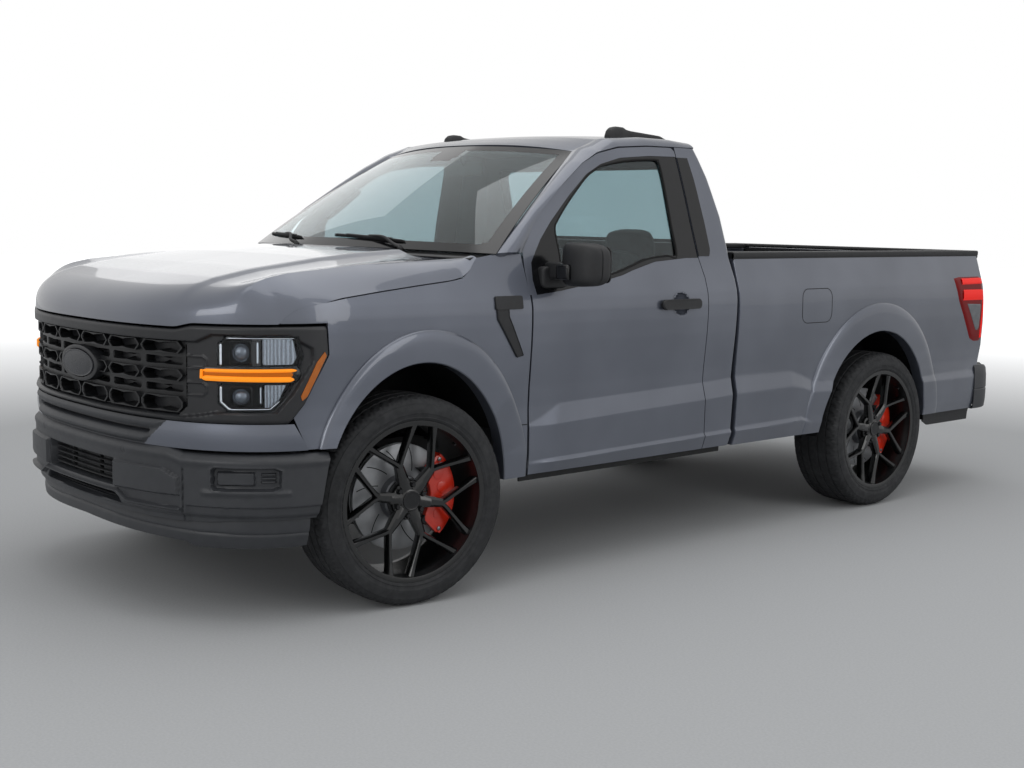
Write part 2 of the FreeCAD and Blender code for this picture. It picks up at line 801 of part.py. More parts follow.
def surround_outline(drop):
    """Side view that ends the grille surround behind the headlamps."""
    return (
        (nose - s.overrun, s.surround_bottom),
        [[(seam_start, s.surround_bottom)],
         [(surround_end - 2 * s.surround_frame, s.surround_bottom + s.surround_frame * 0.4)],
         [(surround_end - s.surround_frame * 1.4, s.surround_bottom + s.surround_frame * 1.3)],
         [(surround_end - s.panel_gap, s.seam_front_level - 2 * s.surround_frame)],
         [(surround_end - 2 * s.panel_gap, s.surround_top - drop)],
         [(nose - s.overrun, s.surround_top - drop)]],
    )


def lamp_outline(grow):
    """Side view of a headlamp's rear end."""
    rear = grille_nose + s.lamp_rear_setback + grow
    return (
        (nose - s.overrun, s.lamp_bottom - grow),
        [[(rear - s.surround_frame * 1.5, s.lamp_bottom - grow)],
         [(rear, s.lamp_bottom + s.surround_frame)], [(rear, s.lamp_top + grow)],
         [(nose - s.overrun, s.lamp_top + grow)]],
    )


def lamp_window(grow, side):
    """The space of one headlamp."""
    start, runs = lamp_outline(grow)
    outline = side_prism(start, runs, s.lamp_inner - grow, s.flare_half_width)
    return on_side(outline, side)


def mesh_window(grow):
    """Front view of the grille's mesh, with cut corners."""
    half = s.mesh_half_width + grow
    low = s.surround_bottom + s.surround_frame * 0.7 - grow
    high = s.surround_top - s.surround_frame * 0.7 + grow
    cut = s.surround_frame
    return front_prism((half, low + cut), [[(half, high - cut)], [(half - cut, high)],
                                           [(cut - half, high)], [(-half, high - cut)],
                                           [(-half, low + cut)], [(cut - half, low)],
                                           [(half - cut, low)]],
                       nose - s.overrun, plan_start)


def grille_surround():
    band = nose_band(grille_nose, 0, s.surround_wall, s.surround_bottom, s.surround_top)
    start, runs = surround_outline(0)
    band = band.common(side_prism(start, runs, -s.flare_half_width, s.flare_half_width))
    band = band.cut(mesh_window(0))
    for side in sides.values():
        band = band.cut(lamp_window(s.seat_gap, side))
    return band


piece("grille_surround", grille_surround())


def grille_mesh():
    """Rows of long six-sided cells cut through one plate."""
    inset = s.panel_gap * 3
    plate = nose_band(grille_nose, inset, s.mesh_depth, s.surround_bottom, s.surround_top)
    plate = plate.common(mesh_window(-s.seat_gap))
    low = s.surround_bottom + s.surround_frame * 0.7
    high = s.surround_top - s.surround_frame * 0.7
    row_count = 5
    column_count = 6
    pitch_up = (high - low) / row_count
    pitch_over = 2 * s.mesh_half_width / column_count
    wide = pitch_over / 2 - s.mesh_bar / 2
    tall = pitch_up / 2 - s.mesh_bar / 2
    cells = []
    for row in range(row_count):
        level = low + pitch_up * (row + 0.5)
        for column in range(column_count):
            middle = -s.mesh_half_width + pitch_over * (column + 0.5)
            cells.append(front_prism(
                (middle + wide, level),
                [[(middle + wide * 0.8, level + tall)], [(middle - wide * 0.8, level + tall)],
                 [(middle - wide, level)], [(middle - wide * 0.8, level - tall)],
                 [(middle + wide * 0.8, level - tall)]],
                nose - s.overrun, plan_start))
    return plate.cut(cells)


piece("grille_mesh", grille_mesh())


def headlamps():
    band = nose_band(grille_nose, s.panel_gap, s.lamp_depth, s.lamp_bottom, s.lamp_top)
    return Part.makeCompound([band.common(lamp_window(0, side)).Solids[0]
                              for side in sides.values()])


piece("headlamps", headlamps())


def valance():
    band = nose_band(grille_nose, 0, s.fender_wall, s.valance_bottom,
                     s.surround_bottom - s.seat_gap)
    rear = surround_end - s.surround_frame - s.panel_gap
    return band.common(block((-s.flare_half_width, nose - s.overrun, s.valance_bottom),
                             (s.flare_half_width, rear - s.surround_frame, s.surround_bottom)))


piece("valance", valance())


def front_carrier():
    """Panel behind the grille surround that ties it to the radiator, with two hood stops."""
    low = s.surround_bottom + s.panel_gap
    high = s.surround_top - s.panel_gap
    band = nose_band(grille_nose, s.surround_wall + s.seat_gap, s.carrier_wall, low, high)
    rear = grille_nose + s.lamp_rear_setback
    band = band.common(block((-s.body_half_width, nose, low), (s.body_half_width, rear, high)))
    band = band.cut(mesh_window(0))
    inner = s.rail_half_spacing - s.rail_width / 2
    radiator_face = grille_nose + s.front_overhang * 0.2 - s.seat_gap
    ties = []
    for level in (low, high - s.surround_frame * 0.5):
        tie = block((-inner, grille_nose + s.surround_wall + s.seat_gap, level),
                    (inner, radiator_face, level + s.surround_frame * 0.4))
        ties.append(tie.cut(nose_band(grille_nose, 0, s.surround_wall + s.seat_gap, low, high)))
    under_hood = doc.getObject("hood").Shape.copy()
    under_hood.translate(V(0, 0, -s.seat_gap))
    x = s.mesh_half_width
    y = plan_front(x, s.body_half_width, grille_nose, s.nose_depth)
    y += s.surround_wall + s.carrier_wall + s.stop_radius
    for side in sides.values():
        stop = rod((side * x, y, high - s.surround_frame), (side * x, y, s.roof_level),
                   s.stop_radius).cut([under_hood, doc.getObject("grille_surround").Shape])
        ties.append(min(stop.Solids, key=lambda part: part.CenterOfMass.z))
    return band.fuse(ties)


piece("front_carrier", front_carrier())


# Front bumper and chin

def front_bumper():
    band = nose_band(nose, 0, s.bumper_wall, s.bumper_bottom, s.bumper_top, s.body_half_width)
    end = surround_end
    outline = side_prism((nose - s.overrun, s.bumper_bottom),
                         [[(end - s.surround_frame, s.bumper_bottom)],
                          [(end, s.bumper_top)], [(nose - s.overrun, s.bumper_top)]],
                         -s.flare_half_width, s.flare_half_width)
    band = band.common(outline)
    mouth = block((-s.mouth_half_width, nose - s.overrun, s.mouth_bottom),
                  (s.mouth_half_width, plan_start, s.mouth_top))
    band = band.cut(mouth)
    slats = []
    slat_count = 3
    for number in range(slat_count):
        level = s.mouth_bottom + (s.mouth_top - s.mouth_bottom) * (number + 1) / (slat_count + 1)
        slat = nose_band(nose, s.panel_gap * 3, s.bumper_wall / 2, level - s.mouth_slat / 2,
                         level + s.mouth_slat / 2)
        slats.append(slat.common(mouth))
    return band.fuse(slats)


piece("front_bumper", front_bumper())


def chin():
    band = nose_band(nose, s.chin_setback, s.chin_wall, s.chin_bottom,
                     s.bumper_bottom - s.seat_gap)
    end = surround_end - s.surround_frame * 1.5
    return band.common(block((-s.flare_half_width, nose, s.chin_bottom),
                             (s.flare_half_width, end, s.bumper_bottom)))


piece("chin_spoiler", chin())


# Load bed

rear_arch = ellipse_prism(rear_axle - s.rear_arch_lead, s.rear_arch_half_length, s.rear_arch_height,
                          s.kingpin * 0.8, s.flare_half_width + s.overrun)


def tail_lamp_window(grow):
    """Side view of the tail lamp, wider at its top."""
    front = bed_end - s.tail_lamp_length
    return side_prism((front - grow, s.tail_lamp_top + grow),
                      [[(front - grow, s.tail_lamp_top - s.tail_lamp_wrap)],
                       [(bed_end - s.tail_lamp_wrap - grow, s.tail_lamp_bottom - grow)],
                       [(bed_end + s.overrun, s.tail_lamp_bottom - grow)],
                       [(bed_end + s.overrun, s.tail_lamp_top + grow)]],
                      s.belt_half_width - s.tail_lamp_wrap, s.flare_half_width)


bumper_front = bed_end - s.tail_lamp_wrap * 0.45
gate_axis = (bed_end - s.panel_gap - s.tailgate_wall / 2,
             s.bed_floor_level + s.tailgate_wall / 2)


def trunnion(grow):
    """The tailgate's hinge pin on the left, or with grow the bore that holds it."""
    start = s.belt_half_width - s.bed_wall - 4 * s.panel_gap
    return rod((start, *gate_axis), (start + 3 * s.panel_gap + s.trunnion_length + grow,
                                     *gate_axis), s.trunnion_radius + grow)


def bed_side(side):
    stations = [bed_front - s.overrun, (bed_front + bed_end) / 2, bed_end + s.overrun]
    wall = skin(stations, s.bed_wall + s.overrun)
    bottom = s.sill_bottom + s.panel_gap * 3
    outline = side_prism((bed_front, bottom), [[(bed_end - s.tail_lamp_wrap, bottom)],
                                               [(bed_end - s.panel_gap * 4, s.rear_bumper_top)],
                                               [(bed_end, s.tail_lamp_bottom)],
                                               [(bed_end - s.panel_gap * 3, s.bed_rail_level)],
                                               [(bed_front, s.bed_rail_level)]],
                         0, s.flare_half_width + s.overrun)
    body = wall.fuse(flare(rear_axle - s.rear_arch_lead, s.rear_arch_half_length,
                          s.rear_arch_height))
    inside = block((0, nose, 0), (s.belt_half_width - s.bed_wall, tail, s.roof_level))
    body = body.common(outline).cut(rear_arch).cut(inside)
    below = block((0, bed_front - s.overrun, 0),
                  (s.sill_half_width - s.bed_skin * 2, tail, s.bed_floor_level))
    behind = block((0, bumper_front - s.seat_gap, 0),
                   (s.flare_half_width + s.overrun, tail, s.rear_bumper_top + s.seat_gap))
    body = body.cut([below, behind, tail_lamp_window(s.seat_gap)])
    return on_side(body.cut(trunnion(s.seat_gap)), side)


for name, side in sides.items():
    piece(f"bed_side_{name}", bed_side(side))


def tail_lamps():
    stations = [bed_front - s.overrun, (bed_front + bed_end) / 2, bed_end + s.overrun]
    lamp = skin(stations, s.tail_lamp_wrap * 0.6).common(tail_lamp_window(0))
    lamp = lamp.common(block((0, nose, 0), (s.flare_half_width, bed_end, s.roof_level)))
    return Part.makeCompound([on_side(lamp.Solids[0], side) for side in sides.values()])


piece("tail_lamps", tail_lamps())


def bed_tub():
    half = s.belt_half_width - s.bed_wall - s.seat_gap
    top = s.bed_floor_level + s.bed_floor_skin
    floor = block((-half, bed_front, s.bed_floor_level),
                  (half, bed_end - s.tailgate_wall - s.panel_gap * 5, top))
    wall = block((-half, bed_front, s.bed_floor_level),
                 (half, bed_front + s.bed_skin, s.bed_rail_level - s.panel_gap))
    tub = floor.fuse(wall)
    for side in sides.values():
        outer = block((half - s.wheel_box_width, rear_axle - s.wheel_box_half_length, top),
                      (half, rear_axle + s.wheel_box_half_length, top + s.wheel_box_height))
        skin_in = s.wheel_box_skin
        inner = block((half - s.wheel_box_width + skin_in,
                       rear_axle - s.wheel_box_half_length + skin_in, s.bed_floor_level),
                      (half + s.overrun, rear_axle + s.wheel_box_half_length - skin_in,
                       top + s.wheel_box_height - skin_in))
        tub = tub.fuse(on_side(outer, side)).cut(on_side(inner, side))
    rail_top = s.rail_rear_level + s.rail_height + s.seat_gap
    for share in (-0.1, 0.1):
        y = rear_axle + s.wheelbase * share
        reach = s.rail_half_spacing + s.rail_width
        tub = tub.fuse(block((-reach, y - s.cross_radius, rail_top),
                             (reach, y + s.cross_radius, s.bed_floor_level)))
    return tub


piece("bed_tub", bed_tub())


def rail_caps():
    """Black caps along both bed walls and across the front wall."""
    outer = s.belt_half_width - s.panel_gap
    inner = s.belt_half_width - s.bed_wall
    low = s.bed_rail_level + s.seat_gap
    high = s.bed_rail_level + s.rail_cap_height
    end = bed_end - s.panel_gap * 5
    ring = block((-outer, bed_front, low), (outer, end, high))
    hole = block((-inner, bed_front + s.bed_skin * 2, low), (inner, end + s.overrun, high))
    return ring.cut(hole)


piece("bed_rail_caps", rail_caps())


def tailgate():
    half = s.belt_half_width - s.bed_wall - s.panel_gap
    low = s.bed_floor_level
    rear = bed_end - s.panel_gap
    gate = block((-half, rear - s.tailgate_wall, low),
                 (half, rear, s.bed_rail_level + s.rail_cap_height))
    pin = trunnion(0)
    return gate.fuse([pin, mirrored(pin)])


piece("tailgate", tailgate())


def rear_bumper():
    half = s.body_half_width
    front = bumper_front
    shares = (-1.0, -0.5, 0.0, 0.5, 1.0)
    back = [(half * 0.94 * share, tail - s.overrun * 0.6 * share ** 2) for share in shares]
    outer = plan_prism((-half, front), [[back[0]], back[1:], [(half, front)]],
                       s.rear_bumper_bottom, s.rear_bumper_top)
    deep = s.rear_bumper_wall
    inner = block((deep - half, front - s.overrun, s.rear_bumper_bottom),
                  (half - deep, tail - deep * 1.6, s.rear_bumper_top))
    return outer.cut(inner)


piece("rear_bumper", rear_bumper())


def arch_liners():
    """Black liner over each front tyre, from the inner wing to the fender."""
    shapes = []
    gap = s.liner_gap
    thick = gap + s.liner_skin
    outer = ellipse_prism(front_axle, s.front_arch_half_length + thick,
                          s.front_arch_height + thick, s.liner_inner, s.flare_half_width)
    inner = ellipse_prism(front_axle, s.front_arch_half_length + gap,
                          s.front_arch_height + gap, s.liner_inner - s.overrun,
                          s.flare_half_width + s.overrun)
    ring = outer.cut(inner).cut(block((0, nose, 0), (s.flare_half_width, tail, s.bumper_top)))
    for label in ("fender_left", "cab_shell", "front_carrier"):
        ring = ring.cut(doc.getObject(label).Shape)
    ring = ring.cut(front_arch)
    keep = max(ring.Solids, key=lambda part: part.Volume)
    for side in sides.values():
        shapes.append(on_side(keep, side))
    return Part.makeCompound(shapes)


piece("arch_liners", arch_liners())


# Chassis frame

rail_front = plan_front(s.rail_half_spacing - s.rail_width / 2, s.body_half_width,
                        nose + s.bumper_wall, s.nose_depth)
radiator_front = grille_nose + s.front_overhang * 0.2
engine_front = front_axle - s.engine_length * 0.62
gearbox_end = engine_front + s.engine_length * 2.1
lower_arm_level = hub_level - s.caliper_root * 0.85 - s.spring_depth - s.seat_gap
strut_x = (s.rail_half_spacing + s.rail_width / 2 + s.kingpin) / 2 - s.overrun
strut_top = hub_level + s.caliper_reach * 1.5


def rail_run():
    """Side view of a frame rail: low between the axles, kicked up over the rear axle."""
    tops = [
        (rail_front, s.rail_front_level),
        (front_axle + s.wheelbase * 0.12, s.rail_front_level),
        (front_axle + s.wheelbase * 0.2, s.rail_mid_level),
        (rear_axle - s.wheelbase * 0.26, s.rail_mid_level),
        (rear_axle - s.wheelbase * 0.13, s.rail_rear_level),
        (rear_axle + s.wheelbase * 0.13, s.rail_rear_level),
        (rear_axle + s.wheelbase * 0.22, s.rail_tail_level),
        (tail - s.rear_bumper_wall * 1.6 - s.seat_gap, s.rail_tail_level),
    ]
    return tops


def chassis_frame():
    line = rail_run()
    upper = [(y, z + s.rail_height) for y, z in reversed(line)]
    inner = s.rail_half_spacing - s.rail_width / 2
    rail = side_prism(line[0], [[p] for p in line[1:] + upper], inner, inner + s.rail_width)
    frame = rail.fuse(mirrored(rail))
    bumper = doc.getObject("front_bumper").Shape.copy()
    bumper.translate(V(0, s.seat_gap, 0))
    frame = frame.cut(bumper)
    crosses = []
    high = s.rail_mid_level + s.rail_height - s.cross_radius / 3
    level_rows = (
        (radiator_front + s.bumper_wall / 2, s.rail_front_level + s.cross_radius * 1.2),
        (front_axle, s.engine_bottom - s.cross_radius - s.seat_gap),
        (gearbox_end + s.overrun, high),
        (rear_axle - s.wheelbase * 0.27, high),
        (rear_axle + s.wheelbase * 0.14, s.rail_rear_level + s.cross_radius * 1.2),
        (tail - s.rear_bumper_wall * 3, s.rail_tail_level + s.cross_radius * 1.2),
    )
    for y, middle in level_rows:
        crosses.append(rod((-inner, y, middle), (inner, y, middle), s.cross_radius))
    outer = inner + s.rail_width
    arm_spread = s.tyre_width * 0.6
    for side in sides.values():
        for share in (0.2, 0.9):
            y = door_front + (cab_end - door_front) * share
            pad = block((inner, y, s.rail_mid_level + s.rail_height / 2),
                        (outer, y + s.mount_pad, s.floor_level - s.seat_gap))
            crosses.append(on_side(pad, side))
        hanger = block((inner, front_axle - arm_spread, lower_arm_level),
                       (outer, front_axle + arm_spread, s.rail_front_level + s.rail_width))
        tower = block((inner, front_axle - s.overrun, s.rail_front_level + s.rail_width),
                      (strut_x - s.overrun * 0.7 - s.panel_gap, front_axle + s.overrun,
                       strut_top))
        cap = block((inner, front_axle - s.overrun, strut_top),
                    (strut_x + s.overrun * 0.7, front_axle + s.overrun,
                     strut_top + s.spring_depth))
        crosses += [on_side(part, side) for part in (hanger, tower, cap)]
    return frame.fuse(crosses)


piece("chassis_frame", chassis_frame())


# Engine, gearbox, propeller shaft, radiator, tank and exhaust

engine = doc.addObject("Part::Box", "engine")
engine.Label = "engine"
engine.setExpression("Length", "Sizes.engine_width")
engine.setExpression("Width", "Sizes.engine_length")
engine.setExpression("Height", "Sizes.engine_height")
engine.Placement = FreeCAD.Placement(V(-s.engine_width / 2, engine_front, s.engine_bottom),
                                     FreeCAD.Rotation())
shaft_level = hub_level + s.shaft_drop
gearbox_profile_radius = s.differential_radius * 0.8


def gearbox():
    start = engine_front + s.engine_length + s.seat_gap
    span = gearbox_end - start
    return Part.makeCone(gearbox_profile_radius, s.shaft_radius * 1.8, span,
                         V(0, start, shaft_level), V(0, 1, 0))


piece("gearbox", gearbox())


def propeller_shaft():
    end = rear_axle - s.differential_radius - s.seat_gap
    return rod((0, gearbox_end + 3 * s.seat_gap, shaft_level),
               (0, end, hub_level), s.shaft_radius)


piece("propeller_shaft", propeller_shaft())


def radiator():
    inner = s.rail_half_spacing - s.rail_width / 2 - s.seat_gap
    low = s.rail_front_level + s.cross_radius * 2.2 + s.seat_gap
    return block((-inner, radiator_front, low),
                 (inner, radiator_front + s.bumper_wall, s.surround_top - s.overrun))


piece("radiator", radiator())


def fuel_tank():
    outer = s.rail_half_spacing - s.rail_width / 2 - s.seat_gap
    front = gearbox_end + s.overrun + s.cross_radius + s.seat_gap
    return block((s.shaft_radius * 3, front, s.rail_mid_level - s.overrun * 0.3),
                 (outer, front + s.tank_length, s.rail_mid_level - s.overrun * 0.3
                  + s.tank_height))


piece("fuel_tank", fuel_tank())


def exhaust():
    """Pipe and silencer on the right, over the rear axle."""
    x = -(s.rail_half_spacing - s.rail_width / 2 - s.muffler_radius - s.seat_gap)
    low = s.rail_mid_level + s.pipe_radius
    high = s.rail_rear_level + s.rail_height * 0.25
    front = engine_front + s.engine_length + s.overrun
    box_front = door_front + s.door_length * 0.7
    rise = max(box_front + s.muffler_length + s.overrun, rear_axle - s.wheelbase * 0.24)
    points = [(x, front, low), (x, rise, low), (x, rear_axle - s.overrun * 3, high),
              (x, rear_axle + s.overrun * 3, high), (x, rear_axle + s.overrun * 9, low + s.overrun)]
    pipe = rod(points[0], points[1], s.pipe_radius)
    for a, b in zip(points[1:], points[2:]):
        pipe = pipe.fuse([rod(a, b, s.pipe_radius), Part.makeSphere(s.pipe_radius, V(*a))])
    box = rod((x, box_front, low), (x, box_front + s.muffler_length, low), s.muffler_radius)
    return pipe.fuse(box)


piece("exhaust", exhaust())


# Wheels: drawn at the left front hub, then placed

def wheel_body(label, profile, base):
    """A ring turned about the wheel's own axis, X, from a closed profile of (x, radius)."""
    body = doc.addObject("PartDesign::Body", label)
    body.Label = label
    sketch = body.newObject("Sketcher::SketchObject", f"{label}_profile")
    plane = [f for f in body.Origin.OriginFeatures if f.Role == "XY_Plane"][0]
    sketch.AttachmentSupport = [(plane, "")]
    sketch.MapMode = "FlatFace"
    count = len(profile)
    for a, b in zip(profile, profile[1:] + profile[:1]):
        sketch.addGeometry(Part.LineSegment(V(a[0], a[1], 0), V(b[0], b[1], 0)), False)
    turned = body.newObject("PartDesign::Revolution", f"{label}_turned")
    turned.Profile = sketch
    turned.ReferenceAxis = (sketch, ["H_Axis"])
    turned.Angle = 360
    body.Placement = base
    return body


half_tyre = s.tyre_width / 2
tyre_profile = [
    (-half_tyre + s.tyre_shoulder * 0.35, s.rim_seat_radius + s.seat_gap),
    (-half_tyre, (s.rim_seat_radius + s.tyre_radius) / 2),
    (-half_tyre + s.tyre_shoulder * 0.3, s.tyre_radius - s.tyre_shoulder * 0.5),
    (-half_tyre + s.tyre_shoulder, s.tyre_radius),
    (half_tyre - s.tyre_shoulder, s.tyre_radius),
    (half_tyre - s.tyre_shoulder * 0.3, s.tyre_radius - s.tyre_shoulder * 0.5),
    (half_tyre, (s.rim_seat_radius + s.tyre_radius) / 2),
    (half_tyre - s.tyre_shoulder * 0.35, s.rim_seat_radius + s.seat_gap),
]
hub_front = s.rim_width / 2 - s.spoke_face_inset
hub_back = hub_front - s.hub_depth
disc_face = hub_back - s.spoke_depth
disc_profile = [
    (hub_back - s.seat_gap, s.spindle_radius + s.panel_gap),
    (hub_back - s.seat_gap, s.disc_hat_radius),
    (disc_face, s.disc_hat_radius),
    (disc_face, s.disc_radius),
    (disc_face - s.disc_thickness, s.disc_radius),
    (disc_face - s.disc_thickness, s.spindle_radius + s.panel_gap),
]


def around(radius, degrees):
    """A point (y, z) at an angle from +Y towards +Z."""
    turn = math.radians(degrees)
    return radius * math.cos(turn), radius * math.sin(turn)


def spoke_bar(start, end, wide_start, wide_end):
    """A straight bar between two points of the wheel's face, tapered in width."""
    run = (end[0] - start[0], end[1] - start[1])
    length = math.hypot(*run)
    side = (-run[1] / length / 2, run[0] / length / 2)
    corners = [(point[0] + side[0] * wide, point[1] + side[1] * wide) for point, wide in
               ((start, wide_start), (start, -wide_start), (end, -wide_end), (end, wide_end))]
    return side_prism(corners[0], [[corner] for corner in corners[1:]],
                      hub_front - s.spoke_depth, hub_front)


def rim_solid():
    """Barrel, hub and forked spokes, about the X axis at the origin."""
    half = s.rim_width / 2
    lip = s.rim_lip_radius
    barrel_points = [
        V(-half, 0, s.rim_inner_radius), V(-half, 0, s.rim_seat_radius),
        V(half - s.spoke_face_inset, 0, s.rim_seat_radius), V(half, 0, s.rim_seat_radius),
        V(half, 0, s.rim_inner_radius + s.panel_gap),
        V(half - s.spoke_face_inset, 0, s.rim_inner_radius),
    ]
    wire = Part.makePolygon(barrel_points + barrel_points[:1])
    barrel = Part.Face(wire).revolve(V(0, 0, 0), V(1, 0, 0), 360)
    hub = Part.makeCylinder(s.hub_radius, s.hub_depth, V(hub_back, 0, 0), V(1, 0, 0))
    spokes = []
    tip = s.rim_inner_radius + s.panel_gap
    for number in range(int(s.spoke_count)):
        turn = 360 / s.spoke_count * number + s.spoke_phase_angle
        fork = around(s.fork_radius, turn)
        spokes.append(spoke_bar(around(s.hub_radius / 2, turn), fork, s.spoke_width,
                                s.spoke_leg_width * 2))
        for splay in (-s.spoke_splay_angle, s.spoke_splay_angle):
            spokes.append(spoke_bar(fork, around(tip, turn + splay), s.spoke_leg_width * 1.2,
                                    s.spoke_leg_width))
    limit = Part.makeCylinder(s.rim_seat_radius - s.seat_gap, s.rim_width, V(-half, 0, 0),
                              V(1, 0, 0))
    spokes = [bar.common(limit) for bar in spokes]
    bore = Part.makeCylinder(s.spindle_radius + s.seat_gap, s.hub_depth - s.spoke_depth / 2,
                             V(hub_back, 0, 0), V(1, 0, 0))
    return barrel.fuse([hub] + spokes).cut(bore)


rim = rim_solid()
wheels = {
    "front_left": (1, front_axle, -s.rest_steer_angle),
    "front_right": (-1, front_axle, -s.rest_steer_angle),
    "rear_left": (1, rear_axle, 0),
    "rear_right": (-1, rear_axle, 0),
}


def wheel_place(side, axle, steer):
    """Placement of a wheel's own frame: its outer face points away from the truck."""
    half_turn = FreeCAD.Rotation(V(0, 0, 1), 0 if side > 0 else 180)
    centre = FreeCAD.Placement(V(side * s.wheel_centre, axle, hub_level), half_turn)
    pivot = V(side * s.kingpin, axle, 0)
    swing = FreeCAD.Placement(V(0, 0, 0), FreeCAD.Rotation(V(0, 0, 1), steer), pivot)
    return swing.multiply(centre)


for name, (side, axle, steer) in wheels.items():
    place = wheel_place(side, axle, steer)
    wheel_body(f"tyre_{name}", tyre_profile, place)
    wheel_body(f"brake_disc_{name}", disc_profile, place)
    made = piece(f"rim_{name}", rim)
    made.Placement = place

# Brake caliper, drawn in the wheel's own frame behind the axle

def caliper_solid():
    outer = disc_face + s.caliper_gap + s.hub_depth / 3
    inner = disc_face - s.disc_thickness - s.caliper_gap - s.hub_depth / 3
    arc = Part.makeCylinder(s.caliper_reach, outer - inner, V(inner, 0, 0), V(1, 0, 0))
    core = Part.makeCylinder(s.caliper_root, outer - inner, V(inner, 0, 0), V(1, 0, 0))
    window = block((inner, s.caliper_root * 0.5, -s.caliper_width),
                   (outer, s.caliper_reach, s.caliper_width))
    ring = arc.cut(core).common(window)
    slot = Part.makeCylinder(s.disc_radius + s.caliper_gap, s.disc_thickness
                             + 2 * s.caliper_gap,
                             V(disc_face - s.disc_thickness - s.caliper_gap, 0, 0), V(1, 0, 0))
    return ring.cut(slot)


caliper = caliper_solid()
stub_start = s.kingpin - s.wheel_centre + s.spindle_radius * 0.6
stub_end = hub_back + s.hub_depth - s.spoke_depth / 2 - s.seat_gap * 3
knuckle_half = s.spindle_radius * 0.9
upright_face = disc_face - s.disc_thickness - s.caliper_gap


def knuckle(side, steer):
    """Upright between the ball joints, with its spindle, caliper lug and caliper."""
    pin = s.kingpin - s.wheel_centre
    low = -s.caliper_root * 0.85
    high = s.caliper_root * 0.95
    bar = block((pin - knuckle_half, -knuckle_half * 1.6, low),
                (upright_face, knuckle_half * 1.6, high))
    spindle = Part.makeCylinder(s.spindle_radius, stub_end - pin, V(pin, 0, 0), V(1, 0, 0))
    for level in (low, high):
        start = level - s.overrun / 2 if level == low else level - s.overrun / 2
        hole = Part.makeCylinder(ball_radius + s.seat_gap, s.overrun,
                                 V(pin, 0, start), V(0, 0, 1))
        bar = bar.cut(hole)
    lug = block((pin - knuckle_half, 0, -knuckle_half), (pin + knuckle_half * 0.2,
                                                        s.caliper_reach * 0.92, knuckle_half))
    shape = bar.fuse([spindle, lug])
    shape = shape.fuse(caliper)
    shape = shape.copy()
    if side < 0:
        shape = shape.mirror(V(0, 0, 0), V(0, 1, 0))
    made = shape
    return made


ball_radius = s.spindle_radius * 0.45
for name, (side, axle, steer) in wheels.items():
    if not name.startswith("front"):
        continue
    made = piece(f"knuckle_{name[6:]}", knuckle(side, steer))
    made.Placement = wheel_place(side, axle, steer)

# Front suspension arms and rear axle

def front_arms():
    parts = []
    for level, reach in ((-s.caliper_root * 0.85, 1.0), (s.caliper_root * 0.95, 0.8)):
        below = level < 0
        base = hub_level + level
        thick = s.spring_depth
        z = base - thick - s.seat_gap if below else base + s.seat_gap
        root = s.rail_half_spacing + s.rail_width / 2 + s.seat_gap
        spread = s.tyre_width * 0.6 * reach
        plate = plan_prism((root, front_axle - spread),
                           [[(root, front_axle + spread)],
                            [(s.kingpin, front_axle + s.spindle_radius)],
                            [(s.kingpin + ball_radius, front_axle)],
                            [(s.kingpin, front_axle - s.spindle_radius)]], z, z + thick)
        stud_from = z + thick if below else z
        stud = rod((s.kingpin, front_axle, stud_from),
                   (s.kingpin, front_axle, stud_from + (1 if below else -1) * s.overrun * 0.45),
                   ball_radius)
        parts.append(plate.fuse(stud))
    strut_radius = s.overrun * 0.7
    strut = rod((strut_x, front_axle, lower_arm_level + s.spring_depth / 2),
                (strut_x, front_axle, strut_top - s.seat_gap), strut_radius)
    lower = parts[0].fuse(strut)
    reach = strut_radius + s.panel_gap
    fork = block((s.rail_half_spacing, front_axle - s.overrun - s.panel_gap, hub_level),
                 (strut_x + reach, front_axle + s.overrun + s.panel_gap, strut_top + s.overrun))
    upper = parts[1].cut(fork)
    arm = Part.makeCompound([lower, upper])
    return [arm, mirrored(arm)]


arm_solids = []
for arm in front_arms():
    arm_solids += arm.Solids
piece("front_suspension", Part.makeCompound(arm_solids))


def rear_axle_shape():
    reach = s.wheel_centre + disc_face - s.disc_thickness - s.overrun * 0.3
    tube = rod((-reach, rear_axle, hub_level), (reach, rear_axle, hub_level), s.axle_tube_radius)
    spindle_tip = s.wheel_centre + stub_end
    spindle = rod((-spindle_tip, rear_axle, hub_level), (spindle_tip, rear_axle, hub_level),
                  s.spindle_radius)
    ball = Part.makeSphere(s.differential_radius, V(0, rear_axle, hub_level), V(1, 0, 0))
    parts = [spindle, ball]
    for side in sides.values():
        place = wheel_place(side, rear_axle, 0)
        grip = caliper.copy()
        if side < 0:
            grip = grip.mirror(V(0, 0, 0), V(0, 1, 0))
        pin = disc_face - s.disc_thickness - s.caliper_gap - s.hub_depth / 3
        lug = block((pin, 0, -knuckle_half), (upright_face,
                                              s.caliper_reach * 0.92 * (1 if side > 0 else 1),
                                              knuckle_half))
        if side < 0:
            lug = lug.mirror(V(0, 0, 0), V(0, 1, 0))
        both = grip.fuse(lug)
        both.Placement = place
        parts.append(both)
    return tube.fuse(parts)


piece("rear_axle", rear_axle_shape())


